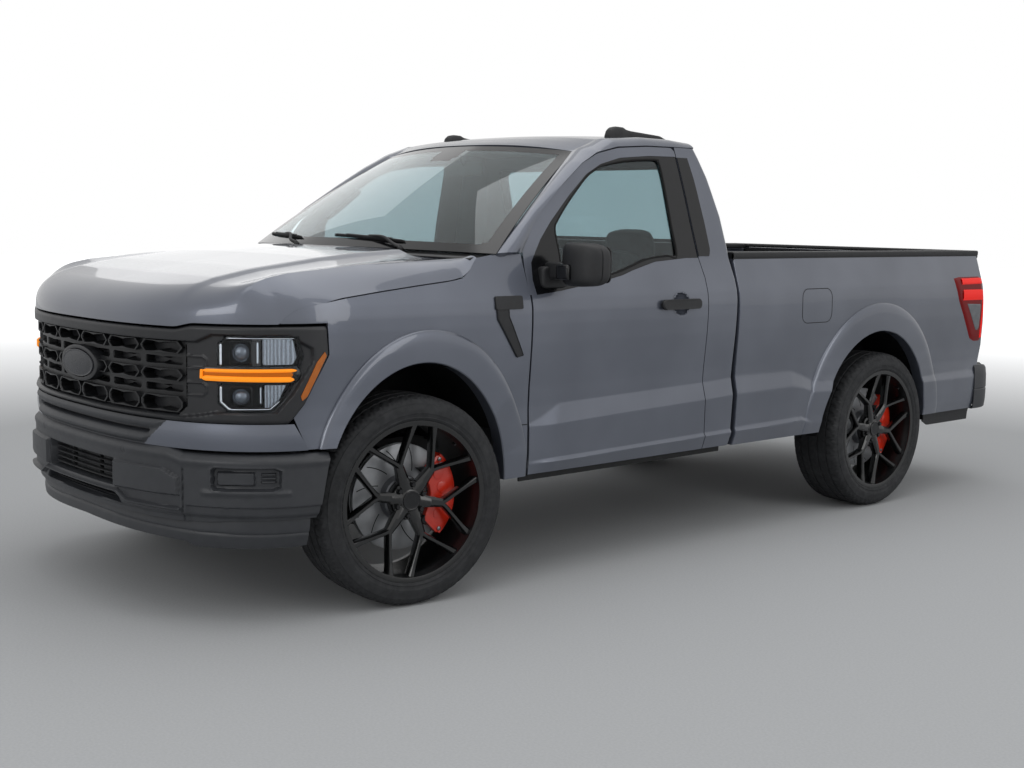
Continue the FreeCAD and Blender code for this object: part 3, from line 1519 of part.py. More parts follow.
def leaf_springs():
    half = s.wheelbase * 0.2
    seat = hub_level + s.axle_tube_radius + s.seat_gap
    rise = s.rail_rear_level - seat - s.spring_depth * 2
    shares = (-1.0, -0.5, 0.0, 0.5, 1.0)
    low = [(rear_axle + half * share, seat + rise * share ** 2) for share in shares]
    high = [(y, z + s.spring_depth) for y, z in reversed(low)]
    x = s.rail_half_spacing - s.spring_width / 2
    leaf = side_prism(low[0], [low[1:], [high[0]], high[1:]], x, x + s.spring_width)
    hangers = []
    for share in (-1, 1):
        y = rear_axle + half * share
        hangers.append(block((x, y - s.spring_depth, seat + rise),
                             (x + s.spring_width, y + s.spring_depth,
                              s.rail_rear_level + s.spring_depth)))
    spring = leaf.fuse(hangers).cut(frame_shape)
    return Part.makeCompound(spring.Solids + mirrored(spring).Solids)


frame_shape = doc.getObject("chassis_frame").Shape
piece("leaf_springs", leaf_springs())

# Cabin

def seats():
    """A bench of two seats and a middle console seat, each cushion and back in one."""
    front = door_rear - s.door_length * 0.62
    low = s.floor_level + s.floor_skin + s.seat_gap
    seat_height = s.tyre_width
    back = door_rear + s.door_to_cab_end * 0.3
    runs = [[(back, low)], [(back + s.overrun, s.belt_level + s.overrun)],
            [(back - s.overrun, s.belt_level + s.overrun * 2)],
            [(back - s.overrun * 2.4, low + seat_height + s.overrun)],
            [(front, low + seat_height)]]
    wide = s.belt_half_width * 0.3
    shapes = []
    for middle in (-1, 1):
        x = middle * s.belt_half_width * 0.42
        shapes.append(side_prism((front, low), runs, x - wide, x + wide))
    return Part.makeCompound(shapes)


piece("seats", seats())


def dashboard():
    front = door_front - s.firewall_skin
    half = s.belt_half_width - s.cab_wall - s.overrun
    runs = [[(front + s.door_length * 0.27, s.belt_level - s.overrun * 6)],
            [(front + s.door_length * 0.27, s.belt_level - s.overrun * 2)],
            [(front + s.door_length * 0.17, s.belt_level - s.overrun * 0.2)],
            [(front, s.belt_level - s.overrun * 0.2)]]
    dash = side_prism((front, s.belt_level - s.overrun * 7), runs, -half, half)
    back = column_axis * (s.handle_height * 0.6 + s.seat_gap / column_axis.Length)
    start = wheel_hub_point - column_axis * (s.handle_height * 6)
    return dash.cut(doc.getObject("cab_shell").Shape).fuse(
        rod(tuple(start), tuple(wheel_hub_point - back), s.column_radius))


wheel_hub_point = V(s.belt_half_width * 0.42, door_front + s.door_length * 0.34,
                    s.belt_level - s.overrun * 2)
column_axis = V(0, 1, 0.45)
piece("dashboard", dashboard())


def steering_wheel():
    centre = wheel_hub_point
    axis = column_axis
    grip = s.handle_height * 0.4
    corner_shares = ((1, 0.4), (0.4, 1), (-0.4, 1), (-1, 0.4), (-1, -0.4), (-0.4, -1),
                     (0.4, -1), (1, -0.4))
    corners = [V(s.mirror_height + grip * out, 0, grip * up) for out, up in corner_shares]
    ring = Part.Face(Part.makePolygon(corners + corners[:1])).revolve(
        V(0, 0, 0), V(0, 0, 1), 360)
    ring.Placement = FreeCAD.Placement(centre, FreeCAD.Rotation(V(0, 0, 1), axis))
    boss = Part.makeCylinder(s.handle_height * 1.3, s.handle_height, centre - axis
                             * (s.handle_height * 0.6), axis)
    parts = [boss]
    across = V(1, 0, 0)
    for turn in (-1, 1):
        parts.append(Part.makeCylinder(s.handle_height * 0.3, s.mirror_height, centre,
                                       across * turn))
    return ring.fuse(parts)


piece("steering_wheel", steering_wheel())

# Roof rails and wipers

def roof_rails():
    parts = []
    x = s.roof_edge_half_width - s.overrun * 3
    base = s.roof_edge_level - s.overrun
    top = s.roof_level + s.roof_rail_rise
    front = screen_base + s.roof_front_setback + s.overrun
    rear = roof_end - s.overrun
    roof = cab_solid.copy()
    roof.translate(V(0, 0, s.seat_gap))
    for side in sides.values():
        bar = side_prism((front, base), [[(rear, base)], [(rear, s.roof_level)],
                                         [(rear - s.overrun, s.roof_level + s.roof_skin / 2)],
                                         [(front + s.overrun / 2, top)],
                                         [(front, top - s.roof_skin / 4)]],
                         x, x + s.roof_skin)
        parts.append(on_side(bar.cut([roof, cab_solid]), side))
    solids = []
    for part in parts:
        solids += [max(part.Solids, key=lambda shape: shape.Volume)]
    return Part.makeCompound(solids)


cab_solid = cab_volume(0, s.sill_bottom)
piece("roof_rails", roof_rails())



def on_screen(x, rise, lift):
    """A point on the windshield, rise above its base and lift in front of it."""
    middle = screen_base - s.belt_half_width ** 2 / (2 * s.screen_plan_radius)
    y = middle + x ** 2 / (2 * s.screen_plan_radius) + rise * s.screen_rake / s.screen_rise
    return V(x, y - lift, s.screen_base_level + rise)


def wipers():
    """Two blades parked along the foot of the windshield, each with its arm and pivot."""
    shapes = []
    for root in (-s.wiper_length * 0.05, s.wiper_length * 1.1):
        inner = on_screen(root - s.wiper_length, s.wiper_lift, s.wiper_lift)
        outer = on_screen(root, s.wiper_lift, s.wiper_lift)
        pivot = V(outer.x, outer.y + s.wiper_lift * 0.4, outer.z)
        foot = V(pivot.x, pivot.y, s.screen_base_level - s.overrun)
        blade = rod(tuple(inner), tuple(outer), s.wiper_radius)
        post = rod(tuple(foot), tuple(pivot), s.wiper_radius * 1.3)
        wiper = blade.fuse(post)
        for label in ("cab_shell", "windshield", "hood"):
            wiper = wiper.cut(doc.getObject(label).Shape)
        shapes.append(max(wiper.Solids, key=lambda part: part.Volume))
    return Part.makeCompound(shapes)


piece("wipers", wipers())

# Check every object, then write one file for each sub-part

def finished(made):
    if "Invalid" in made.State or "Error" in made.State:
        raise RuntimeError(f"{made.Label} did not build")
    if made.Shape.isNull() or not made.Shape.isValid():
        raise RuntimeError(f"{made.Label} has a bad shape")


doc.recompute()
kept = [made for made in doc.Objects
        if made.TypeId in ("Part::Feature", "Part::Box", "PartDesign::Body")]
os.makedirs("parts", exist_ok=True)
for made in kept:
    finished(made)
    made.Shape.exportStep(f"parts/{made.Label}.step")
    print(made.Label, len(made.Shape.Solids), round(made.Shape.Volume / 1e6, 2))
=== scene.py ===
import math

import bpy
import numpy as np
from mathutils import Matrix, Vector


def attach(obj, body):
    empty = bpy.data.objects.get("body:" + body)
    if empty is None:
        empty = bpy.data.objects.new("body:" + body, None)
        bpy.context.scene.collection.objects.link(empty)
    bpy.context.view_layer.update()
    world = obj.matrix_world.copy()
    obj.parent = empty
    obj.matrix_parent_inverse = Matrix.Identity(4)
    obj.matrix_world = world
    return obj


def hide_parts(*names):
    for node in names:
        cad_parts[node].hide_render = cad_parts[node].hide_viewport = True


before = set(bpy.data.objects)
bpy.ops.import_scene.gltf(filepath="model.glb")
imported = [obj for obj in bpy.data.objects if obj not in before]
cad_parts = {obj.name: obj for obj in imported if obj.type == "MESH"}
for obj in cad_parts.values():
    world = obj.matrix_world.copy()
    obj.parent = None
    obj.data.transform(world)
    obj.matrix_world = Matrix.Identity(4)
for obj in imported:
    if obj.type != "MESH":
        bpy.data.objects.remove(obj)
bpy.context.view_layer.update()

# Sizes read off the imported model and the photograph, in metres. The truck faces -Y, its left
# side is +X, and the ground is Z = 0
FRONT_AXLE = -1.6925
REAR_AXLE = 1.4265
HUB_LEVEL = 0.414
NOSE_START = -2.0
NOSE_DEPTH = 0.64
NOSE_TIP = -2.64
NOSE_POWER = 2.6
HALF_WIDTH = 0.953
BED_FRONT = 0.2055
PANEL_GAP = 0.0045


# Meshes: a form is (points, [face arrays]), its faces wound to look outwards

def grid(points, loop=False):
    """Faces of a grid of points, rows by columns; loop joins the last column to the first."""
    rows, columns = points.shape[:2]
    across = np.arange(columns if loop else columns - 1)
    first = (np.arange(rows - 1)[:, None] * columns + across[None]).ravel()
    right = (np.arange(rows - 1)[:, None] * columns + (across[None] + 1) % columns).ravel()
    return points.reshape(-1, 3), [np.stack([first, right, right + columns, first + columns], 1)]


def merge(*forms):
    """Several forms as one."""
    points, faces, start = [], [], 0
    for form in forms:
        points.append(form[0])
        faces += [f + start for f in form[1]]
        start += len(form[0])
    return np.concatenate(points), faces


def turned(form):
    """The same form with its faces looking the other way."""
    return form[0], [f[:, ::-1] for f in form[1]]


def moved(form, matrix=None, shift=(0, 0, 0)):
    """Every point times a 3 by 3 matrix, then shifted."""
    points = form[0] if matrix is None else form[0] @ np.asarray(matrix).T
    return points + np.asarray(shift), form[1]


def mirrored(form):
    """The other side of the truck: x changes sign and the faces are wound the other way."""
    return turned((form[0] * [-1, 1, 1], form[1]))


def both(form):
    """A form and its mirror image."""
    return merge(form, mirrored(form))


SIDES = (("left", lambda form: form), ("right", mirrored))


def weld(form, step=2e-5):
    """Points nearer than a step become one, and faces that lose a corner become triangles."""
    keys = np.round(form[0] / step).astype(np.int64)
    _, first, index = np.unique(keys, axis=0, return_index=True, return_inverse=True)
    index = index.ravel()
    faces = []
    for f in form[1]:
        f = index[f]
        if f.shape[1] == 4:
            same = np.stack([f[:, k] == f[:, (k + 1) % 4] for k in range(4)], 1)
            lost = same.sum(1)
            faces.append(f[lost == 0])
            for k in range(4):
                pick = f[(lost == 1) & same[:, k]]
                faces.append(np.delete(pick, k, axis=1))
        else:
            keep = (f[:, 0] != f[:, 1]) & (f[:, 1] != f[:, 2]) & (f[:, 2] != f[:, 0])
            faces.append(f[keep])
    return form[0][first], [f for f in faces if len(f)]


def normals(form):
    """Unit normals at the points: the sum of the cross products of the faces around each."""
    points, faces = form
    total = np.zeros_like(points)
    for f in faces:
        if f.shape[1] == 4:
            cross = np.cross(points[f[:, 2]] - points[f[:, 0]], points[f[:, 3]] - points[f[:, 1]])
        else:
            cross = np.cross(points[f[:, 1]] - points[f[:, 0]], points[f[:, 2]] - points[f[:, 0]])
        for k in range(f.shape[1]):
            np.add.at(total, f[:, k], cross)
    return total / np.maximum(np.linalg.norm(total, axis=1, keepdims=True), 1e-12)


def rim_edges(form):
    """The directed edges that only one face uses."""
    pairs = np.concatenate([np.stack([f[:, k], f[:, (k + 1) % f.shape[1]]], 1)
                            for f in form[1] for k in range(f.shape[1])])
    size = len(form[0])
    code = pairs[:, 0].astype(np.int64) * size + pairs[:, 1]
    back = pairs[:, 1].astype(np.int64) * size + pairs[:, 0]
    return pairs[~np.isin(code, back)]


def thick(form, depth):
    """A sheet with a wall: the same points set back along their normals, and a rim between."""
    form = weld(form)
    points, faces = form
    count = len(points)
    inner = points - normals(form) * depth
    edge = rim_edges(form)
    rim = np.stack([edge[:, 1], edge[:, 0], edge[:, 0] + count, edge[:, 1] + count], 1)
    return (np.concatenate([points, inner]),
            list(faces) + [f[:, ::-1] + count for f in faces] + [rim])


def facing(form, towards):
    """The form turned if need be, so that on the whole it looks along the direction given."""
    look = normals(form).sum(0) @ np.asarray(towards, float)
    return form if look >= 0 else turned(form)


def sheet_of(x, y, z, towards):
    """A sheet through grids of x, y and z that looks along the direction given."""
    return facing(grid(np.stack(np.broadcast_arrays(x, y, z), 2)), towards)


def full_turn(count):
    """Angles spread evenly over one turn."""
    return np.linspace(0, 2 * math.pi, count, endpoint=False)


def across_path(path):
    """Unit directions in the plane of a flat path, square to it."""
    ahead = np.gradient(path, axis=0)
    ahead /= np.linalg.norm(ahead, axis=1, keepdims=True)
    return np.stack([-ahead[:, 1], ahead[:, 0]], 1)


def closed(rings):
    """A stack of rings of points joined to each other, with both ends filled."""
    return merge(grid(rings, loop=True), fan(rings[0][::-1]), fan(rings[-1]))


def bake(name, parts, body, stands_for=(), sharp=34.0):
    """One object from (form, material) pairs, welded, smooth but for edges over the angle."""
    points, faces, slots, materials, start = [], [], [], [], 0
    for form, material in parts:
        form = weld(form)
        if material not in materials:
            materials.append(material)
        points.append(form[0])
        for f in form[1]:
            faces.append(f + start)
            slots.append(np.full(len(f), materials.index(material)))
        start += len(form[0])
    points = np.concatenate(points)
    mesh = bpy.data.meshes.new(name)
    mesh.vertices.add(len(points))
    mesh.vertices.foreach_set("co", points.astype(np.float32).ravel())
    loops = np.concatenate([f.ravel() for f in faces])
    totals = np.concatenate([np.full(len(f), f.shape[1]) for f in faces])
    mesh.loops.add(len(loops))
    mesh.loops.foreach_set("vertex_index", loops.astype(np.int32))
    mesh.polygons.add(len(totals))
    mesh.polygons.foreach_set("loop_start", np.concatenate([[0], np.cumsum(totals)[:-1]])
                              .astype(np.int32))
    mesh.polygons.foreach_set("material_index", np.concatenate(slots).astype(np.int32))
    for material in materials:
        mesh.materials.append(material)
    mesh.update(calc_edges=True)
    mesh.validate()
    mesh.shade_smooth()
    mesh.set_sharp_from_angle(angle=math.radians(sharp))
    made = bpy.data.objects.new(name, mesh)
    bpy.context.scene.collection.objects.link(made)
    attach(made, body)
    if stands_for:
        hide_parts(*stands_for)
    return made


def lerp(a, b, t):
    """The point a share t of the way from a to b."""
    return a + (b - a) * t


def line(points, count):
    """A broken line through the points, cut into equal lengths."""
    points = np.asarray(points, float)
    along = np.concatenate([[0], np.cumsum(np.linalg.norm(np.diff(points, axis=0), axis=1))])
    want = np.linspace(0, along[-1], count)
    return np.stack([np.interp(want, along, points[:, k]) for k in range(points.shape[1])], 1)


def spline(points, count, closed=False):
    """A smooth curve through the points, worked out as a Catmull-Rom chain."""
    points = np.asarray(points, float)
    if closed:
        ring = np.concatenate([points[-1:], points, points[:2]])
        spans = len(points)
    else:
        ring = np.concatenate([2 * points[:1] - points[1:2], points,
                               2 * points[-1:] - points[-2:-1]])
        spans = len(points) - 1
    want = np.linspace(0, spans, count, endpoint=not closed)
    cell = np.minimum(want.astype(int), spans - 1)
    t = (want - cell)[:, None]
    a, b, c, d = (ring[cell + k] for k in range(4))
    return 0.5 * (2 * b + (c - a) * t + (2 * a - 5 * b + 4 * c - d) * t ** 2
                  + (3 * b - a - 3 * c + d) * t ** 3)


def tube(path, radius, around=12, ends=True):
    """A round bar along a path: rings of points square to the path, closed at its ends."""
    path = np.asarray(path, float)
    radius = np.broadcast_to(np.asarray(radius, float), (len(path),))
    ahead = np.gradient(path, axis=0)
    ahead /= np.linalg.norm(ahead, axis=1, keepdims=True)
    up = np.array([0, 0, 1.0]) if abs(ahead[0, 2]) < 0.8 else np.array([1.0, 0, 0])
    side = np.cross(ahead, up)
    side /= np.linalg.norm(side, axis=1, keepdims=True)
    other = np.cross(side, ahead)
    turn = full_turn(around)
    ring = (np.cos(turn)[None, :, None] * side[:, None] + np.sin(turn)[None, :, None]
            * other[:, None]) * radius[:, None, None] + path[:, None]
    form = turned(grid(ring, loop=True))
    if ends:
        form = merge(form, fan(ring[0][::-1]), fan(ring[-1]))
    return facing_out(form)


def fan(ring):
    """A closed ring of points filled from its middle."""
    count = len(ring)
    points = np.concatenate([ring, ring.mean(0, keepdims=True)])
    first = np.arange(count)
    return points, [np.stack([first, (first + 1) % count, np.full(count, count)], 1)]


def facing_out(form):
    """A closed form turned so that its volume counts as positive."""
    points, faces = form
    volume = 0.0
    middle = points.mean(0)
    for f in faces:
        a, b, c = (points[f[:, k]] - middle for k in range(3))
        volume += np.einsum("ij,ij->", a, np.cross(b, c))
        if f.shape[1] == 4:
            d = points[f[:, 3]] - middle
            volume += np.einsum("ij,ij->", a, np.cross(c, d))
    return form if volume >= 0 else turned(form)


def spun(profile, count, axis="x"):
    """A profile of (along, radius) pairs carried round the axis; zero radius closes a pole."""
    profile = np.asarray(profile, float)
    turn = full_turn(count)
    ring = np.stack([np.broadcast_to(profile[:, :1], (len(profile), count)),
                     profile[:, 1:] * np.cos(turn), profile[:, 1:] * np.sin(turn)], 2)
    if axis == "z":
        ring = ring[..., [1, 2, 0]]
    return facing_out(grid(ring, loop=True))


def slab(outline, low, high, frame_of=None, lip=0.0):
    """A flat outline given a depth, its edge rounded off by the lip; frame_of maps (u, v, w)."""
    outline = np.asarray(outline, float)
    middle = outline.mean(0)
    reach = np.linalg.norm(outline - middle, axis=1, keepdims=True)
    inset = outline - (outline - middle) / reach * lip
    steps = [(inset, low), (outline, low + lip), (outline, high - lip), (inset, high)]
    if lip == 0:
        steps = [(outline, low), (outline, high)]
    rings = np.stack([np.concatenate([flat, np.full((len(flat), 1), w)], 1)
                      for flat, w in steps])
    form = facing_out(weld(closed(rings)))
    if frame_of is not None:
        form = (frame_of(form[0]), form[1])
    return form


def standing_plate(outline, depth, place, lip=0.0):
    """A flat plate that stands across the truck, its front face at the place given."""
    return slab(outline, 0, depth, lambda p: p[:, [0, 2, 1]] + np.asarray(place), lip)


def rounded(width, height, radius, steps=6):
    """A rectangle about the origin with rounded corners, as a ring of points."""
    corners = []
    for k, (sx, sy) in enumerate(((1, 1), (-1, 1), (-1, -1), (1, -1))):
        turn = np.linspace(0, math.pi / 2, steps) + k * math.pi / 2
        middle = np.array([sx * (width / 2 - radius), sy * (height / 2 - radius)])
        corners.append(middle + radius * np.stack([np.cos(turn), np.sin(turn)], 1))
    return np.concatenate(corners)


def boxy(width, depth, height, power=4.0, count=28):
    """A soft-cornered box about the origin: a sphere whose shares are drawn out to a box."""
    u = full_turn(count * 2)
    v = np.linspace(-math.pi / 2, math.pi / 2, count)
    root = 2 / power

    def pull(value):
        """The sign kept and the size raised to a power, which squares a circle."""
        return np.sign(value) * np.abs(value) ** root

    ring = np.stack([pull(np.cos(v))[:, None] * pull(np.cos(u))[None] * width / 2,
                     pull(np.cos(v))[:, None] * pull(np.sin(u))[None] * depth / 2,
                     np.broadcast_to(pull(np.sin(v))[:, None] * height / 2,
                                     (count, count * 2))], 2)
    return facing_out(grid(ring, loop=True))


# Materials

def add_node(tree, kind, links=None, **values):
    """A node in a tree, with its settings or uniform inputs and what is linked to it."""
    made = tree.nodes.new("ShaderNode" + kind)
    for key, value in values.items():
        if key in made.inputs:
            made.inputs[key].default_value = value
        else:
            setattr(made, key, value)
    for key, source in (links or {}).items():
        tree.links.new(source, made.inputs[key])
    return made


def tint(hexcode):
    """An sRGB hex colour as linear numbers."""
    values = [int(hexcode[k:k + 2], 16) / 255 for k in (1, 3, 5)]
    return tuple(v / 12.92 if v <= 0.04045 else ((v + 0.055) / 1.055) ** 2.4
                 for v in values) + (1.0,)


class Finish:
    """A material under construction: its nodes and the shader that ends them."""

    def __init__(self, name, colour, rough, metal=0.0, **extra):
        """Start from a base colour, roughness and metal share; extra sets further sockets."""
        self.material = bpy.data.materials.new(name)
        self.material.use_nodes = True
        self.tree = self.material.node_tree
        self.shader = self.tree.nodes["Principled BSDF"]
        self.set("Base Color", tint(colour))
        self.set("Roughness", rough)
        self.set("Metallic", metal)
        for key, value in extra.items():
            self.set(key.replace("_", " "), value)
        self.coord = self.tree.nodes.new("ShaderNodeTexCoord")

    def set(self, socket, value):
        """One value for the whole surface, set on the shader itself."""
        self.shader.inputs[socket].default_value = value

    def node(self, kind, links=None, **values):
        """A node in this material's tree."""
        return add_node(self.tree, kind, links, **values)

    def noise(self, millimetres, detail=3.0, stretch=(1, 1, 1), rough=0.5):
        """Noise whose features are that many millimetres across."""
        place = self.node("Mapping", {"Vector": self.coord.outputs["Object"]},
                          Scale=[s * 1000 / millimetres for s in stretch])
        return self.node("TexNoise", {"Vector": place.outputs[0]}, Scale=1.0,
                         Detail=detail, Roughness=rough).outputs["Fac"]

    def spread(self, value, low, high, start=0.35, end=0.65):
        """The value's middle range mapped from low to high."""
        return self.node("MapRange", {"Value": value}, **{
            "From Min": start, "From Max": end, "To Min": low, "To Max": high}).outputs[0]

    def blend(self, share, first, second):
        """Two hex colours mixed by a share."""
        mix = self.node("Mix", data_type="RGBA")
        self.tree.links.new(share, mix.inputs[0])
        mix.inputs[6].default_value = tint(first)
        mix.inputs[7].default_value = tint(second)
        return mix.outputs[2]

    def link(self, socket, value):
        """A pattern fed into a socket of the shader."""
        self.tree.links.new(value, self.shader.inputs[socket])
        return self

    def bump(self, height, millimetres, strength=1.0):
        """A pattern as small heights of the surface, so many millimetres from low to high."""
        made = self.node("Bump", {"Height": height}, Strength=strength,
                         Distance=millimetres / 1000)
        self.tree.links.new(made.outputs[0], self.shader.inputs["Normal"])
        return self


def paint_finish():
    """Grey-blue metallic paint under a clear coat.

    Aluminium flakes give a lively, directional sheen, and the clear coat a second, sharp
    reflection over it. Real flakes are 0.05 mm; they are drawn at 0.5 mm to show at all.
    """
    made = Finish("grey_blue_metallic_paint", "#60656f", 0.34, 0.62,
                  Coat_Weight=1.0, Coat_Roughness=0.03, Coat_IOR=1.55)
    flake = made.noise(0.5, 2.0)
    cloud = made.noise(420, 2.0)
    made.link("Base Color", made.blend(made.spread(cloud, 0.0, 1.0), "#5c616d", "#666b77"))
    made.link("Roughness", made.spread(flake, 0.30, 0.44))
    made.bump(made.noise(9, 1.0), 0.008, 0.25)
    return made.material


def plastic_finish(name, dark, light, rough=0.5, grain=1.1, depth=0.09, shine=0.5):
    """Moulded plastic: a fine leather-like grain that breaks up the highlight.

    The colour is all through the material, a shade lighter where it is rubbed.
    """
    made = Finish(name, dark, rough, 0.0, Specular_IOR_Level=shine)
    made.link("Base Color", made.blend(made.spread(made.noise(40, 4.0), 0.0, 1.0, 0.2, 0.8),
                                       dark, light))
    made.link("Roughness", made.spread(made.noise(18, 3.0), rough - 0.03, rough + 0.05, 0.2,
                                       0.8))
    made.bump(made.noise(grain, 2.0), depth, 0.5)
    return made.material


def metal_finish(name, dark, light, rough=0.35, grain=2.0, metal=1.0, depth=0.03, coat=0.0):
    """Metal, bare or coated: a fine cast or brushed grain and a gloss that varies a little."""
    made = Finish(name, dark, rough, metal, Coat_Weight=coat, Coat_Roughness=0.08)
    made.link("Base Color", made.blend(made.spread(made.noise(25, 4.0), 0.0, 1.0, 0.2, 0.8),
                                       dark, light))
    made.link("Roughness", made.spread(made.noise(6, 3.0), rough - 0.04, rough + 0.05, 0.2,
                                       0.8))
    made.bump(made.noise(grain, 2.0), depth, 0.4)
    return made.material


def rubber_finish():
    """Tyre rubber: nearly black and dull, with lighter road dust held in patches."""
    made = Finish("tyre_rubber", "#1b1c1e", 0.72, 0.0, Specular_IOR_Level=0.35)
    dust = made.spread(made.noise(55, 5.0), 0.0, 1.0, 0.45, 0.75)
    made.link("Base Color", made.blend(dust, "#27282a", "#323335"))
    made.link("Roughness", made.spread(made.noise(20, 3.0), 0.62, 0.82))
    made.bump(made.noise(1.4, 2.0), 0.12, 0.6)
    return made.material


def glass_finish(name, colour, deep, bend=1.45, rough=0.0):
    """Car glass: smooth, clear and tinted through, so that it darkens what lies behind."""
    made = Finish(name, colour, rough, 0.0, Transmission_Weight=1.0, IOR=bend)
    made.link("Base Color", made.blend(made.noise(300, 1.0), colour, deep))
    return made.material


def cloth_finish(name, dark, light):
    """Woven seat cloth: threads with a soft sheen at grazing angles.

    The real weave is under a millimetre; it is drawn coarser, so that it shows as cloth.
    """
    made = Finish(name, dark, 0.85, 0.0, Sheen_Weight=0.25)
    weave = made.node("TexWave", {"Vector": made.coord.outputs["Object"]},
                      Scale=240.0, Distortion=1.5)
    made.link("Base Color", made.blend(made.spread(made.noise(30, 4.0), 0.0, 1.0), dark, light))
    made.bump(weave.outputs["Fac"], 0.25, 0.5)
    return made.material


def glow_finish(name, dark, colour, strength, grain=3.0):
    """A lit lamp strip behind a ribbed clear cover."""
    made = Finish(name, colour, 0.3, 0.0, Specular_IOR_Level=0.2)
    made.set("Emission Color", tint(colour))
    made.set("Emission Strength", strength)
    made.link("Base Color", made.blend(made.spread(made.noise(grain), 0.0, 1.0), dark, colour))
    made.bump(made.noise(grain, 1.0), 0.05, 0.3)
    return made.material


def bowl_finish():
    """Lamp bowl: bright metal pressed into upright flutes six millimetres wide; painted highlight
    on each crest and painted shade in each groove.
    """
    made = Finish("fluted_lamp_bowl", "#9599a0", 0.2, 1.0)
    flute = made.node("TexWave", {"Vector": made.coord.outputs["Object"]}, Scale=52.0,
                      Distortion=0.6)
    # Painted highlight and shade: the colour follows the flute heights, lighter on the crests and
    # darker in the grooves
    made.link("Base Color", made.blend(flute.outputs["Fac"], "#7c8087", "#a9aeb5"))
    made.bump(flute.outputs["Fac"], 1.5, 0.7)
    return made.material


# Each call names the real finish: its darker and lighter tone, its roughness, the size of its
# grain in millimetres and how deep that is.
PAINT = paint_finish()

# Moulded plastics: satin parts keep a broad, soft highlight, grained trim is nearly matt, and
# gloss black is smooth enough to mirror the lamps
SATIN = plastic_finish("satin_charcoal_bumper", "#2d2f33", "#35373b", 0.44, 0.8, 0.05)
FRAME_SATIN = plastic_finish("satin_grille_surround", "#1d1e21", "#242528", 0.36, 0.8, 0.04)
# The grille's rings are a shade lighter than the web sunk behind them: painted highlight on the
# raised rings and painted shade in the web
RING_BLACK = plastic_finish("satin_grille_rings", "#18191b", "#1f2022", 0.34, 1.0, 0.03)
MESH_BLACK = plastic_finish("grille_black", "#121315", "#1a1b1d", 0.38, 0.9, 0.05)
TRIM_BLACK = plastic_finish("grained_black_trim", "#18191b", "#202124", 0.55, 1.2, 0.12)
GLOSS_BLACK = plastic_finish("gloss_black_trim", "#0c0d0f", "#131417", 0.14, 3.0, 0.01)
SEAL = plastic_finish("rubber_seal", "#0b0b0c", "#131314", 0.7, 1.0, 0.1, 0.3)
# This near-black finish is the plastic of real dark parts, and is also laid as painted shade: the
# disc slots, and the sheets behind the grille, behind the nose's joints and under the tailgate
DARK_AND_SHADE = plastic_finish("dark_plastic_and_painted_shade", "#08080a", "#0f1012", 0.8, 2.0, 0.15, 0.2)

# Metals and their coats: bare steel is bright and brushed, the disc is polished by the pads,
# castings are rough, and wheels and calipers have a hard coat that mirrors
FLOOR_DARK = metal_finish("underbody_black_coat", "#0f1011", "#191a1b", 0.6, 5.0, 0.2, 0.12)
STEEL = metal_finish("bare_steel", "#74767a", "#8b8d91", 0.32, 1.6)
DISC_STEEL = metal_finish("brake_disc_face", "#8f9194", "#9b9da0", 0.42, 0.7, 0.55)
HAT_STEEL = metal_finish("brake_hat", "#66686c", "#74767a", 0.42, 1.5, 0.6)
CAST = metal_finish("cast_grey", "#2b2c2e", "#38393b", 0.6, 3.0, 0.8, 0.12)
WHEEL_BLACK = metal_finish("gloss_black_wheel", "#08090a", "#0c0d0e", 0.2, 4.0, 0.0, 0.005, 0.5)
CALIPER_RED = metal_finish("red_caliper_coat", "#d42a12", "#df3318", 0.3, 5.0, 0.0, 0.02, 0.6)
BARREL_BLACK = plastic_finish("wheel_barrel_black", "#0a0b0c", "#101113", 0.32, 3.0, 0.01)
TYRE = rubber_finish()

# Glass and lamps: clear covers over bright reflectors, and lenses coloured right through
GLASS = glass_finish("green_tinted_glass", "#b4c7cb", "#aec1c5")
LAMP_GLASS = glass_finish("clear_lamp_cover", "#e9ecef", "#e3e7ea", 1.22)
FRIT = plastic_finish("glass_black_border", "#0d0e10", "#121316", 0.1, 3.0, 0.0)
CHROME = metal_finish("lamp_reflector", "#cdd2d8", "#dde1e6", 0.14, 8.0, 1.0, 0.004)
AMBER = glow_finish("amber_light_bar", "#e07c10", "#ee8e22", 0.6)
AMBER_DEEP = glow_finish("amber_bar_foot", "#a85a0e", "#b8660f", 0.22)
AMBER_DULL = plastic_finish("amber_marker", "#a85a1a", "#bb6a22", 0.2, 4.0, 0.02)
RED_LAMP = glow_finish("red_lamp_lens", "#6a0507", "#780709", 0.06)
RED_BRIGHT = glow_finish("red_light_guide", "#d81a12", "#e2231a", 0.35)
GREY_LENS = plastic_finish("grey_lamp_inset", "#5c5f63", "#6d7074", 0.2, 3.0, 0.02)
WHITE_LENS = glow_finish("white_reverse_lamp", "#cfd3d5", "#dadddf", 0.08)
BADGE_BLANK = plastic_finish("blank_badge_face", "#23252a", "#2b2d33", 0.25, 2.0, 0.01)

# Cabin and bed: dull cloth and plastics that don't mirror the windshield, and a sprayed liner
CLOTH = cloth_finish("charcoal_seat_cloth", "#2c2e31", "#3a3c40")
CABIN = plastic_finish("cabin_plastic", "#26282b", "#303236", 0.6, 1.4, 0.14)
CABIN_LIGHT = plastic_finish("headliner_grey", "#8f9396", "#9a9ea1", 0.8, 1.2, 0.2)
LINER = plastic_finish("bed_liner_coat", "#141517", "#1f2022", 0.78, 2.5, 0.5, 0.3)
MIRROR_GLASS = metal_finish("mirror_silvering", "#c6cacd", "#d2d6d9", 0.04, 20.0, 1.0, 0.0)


# The body side: how far out the skin stands at station y and level z

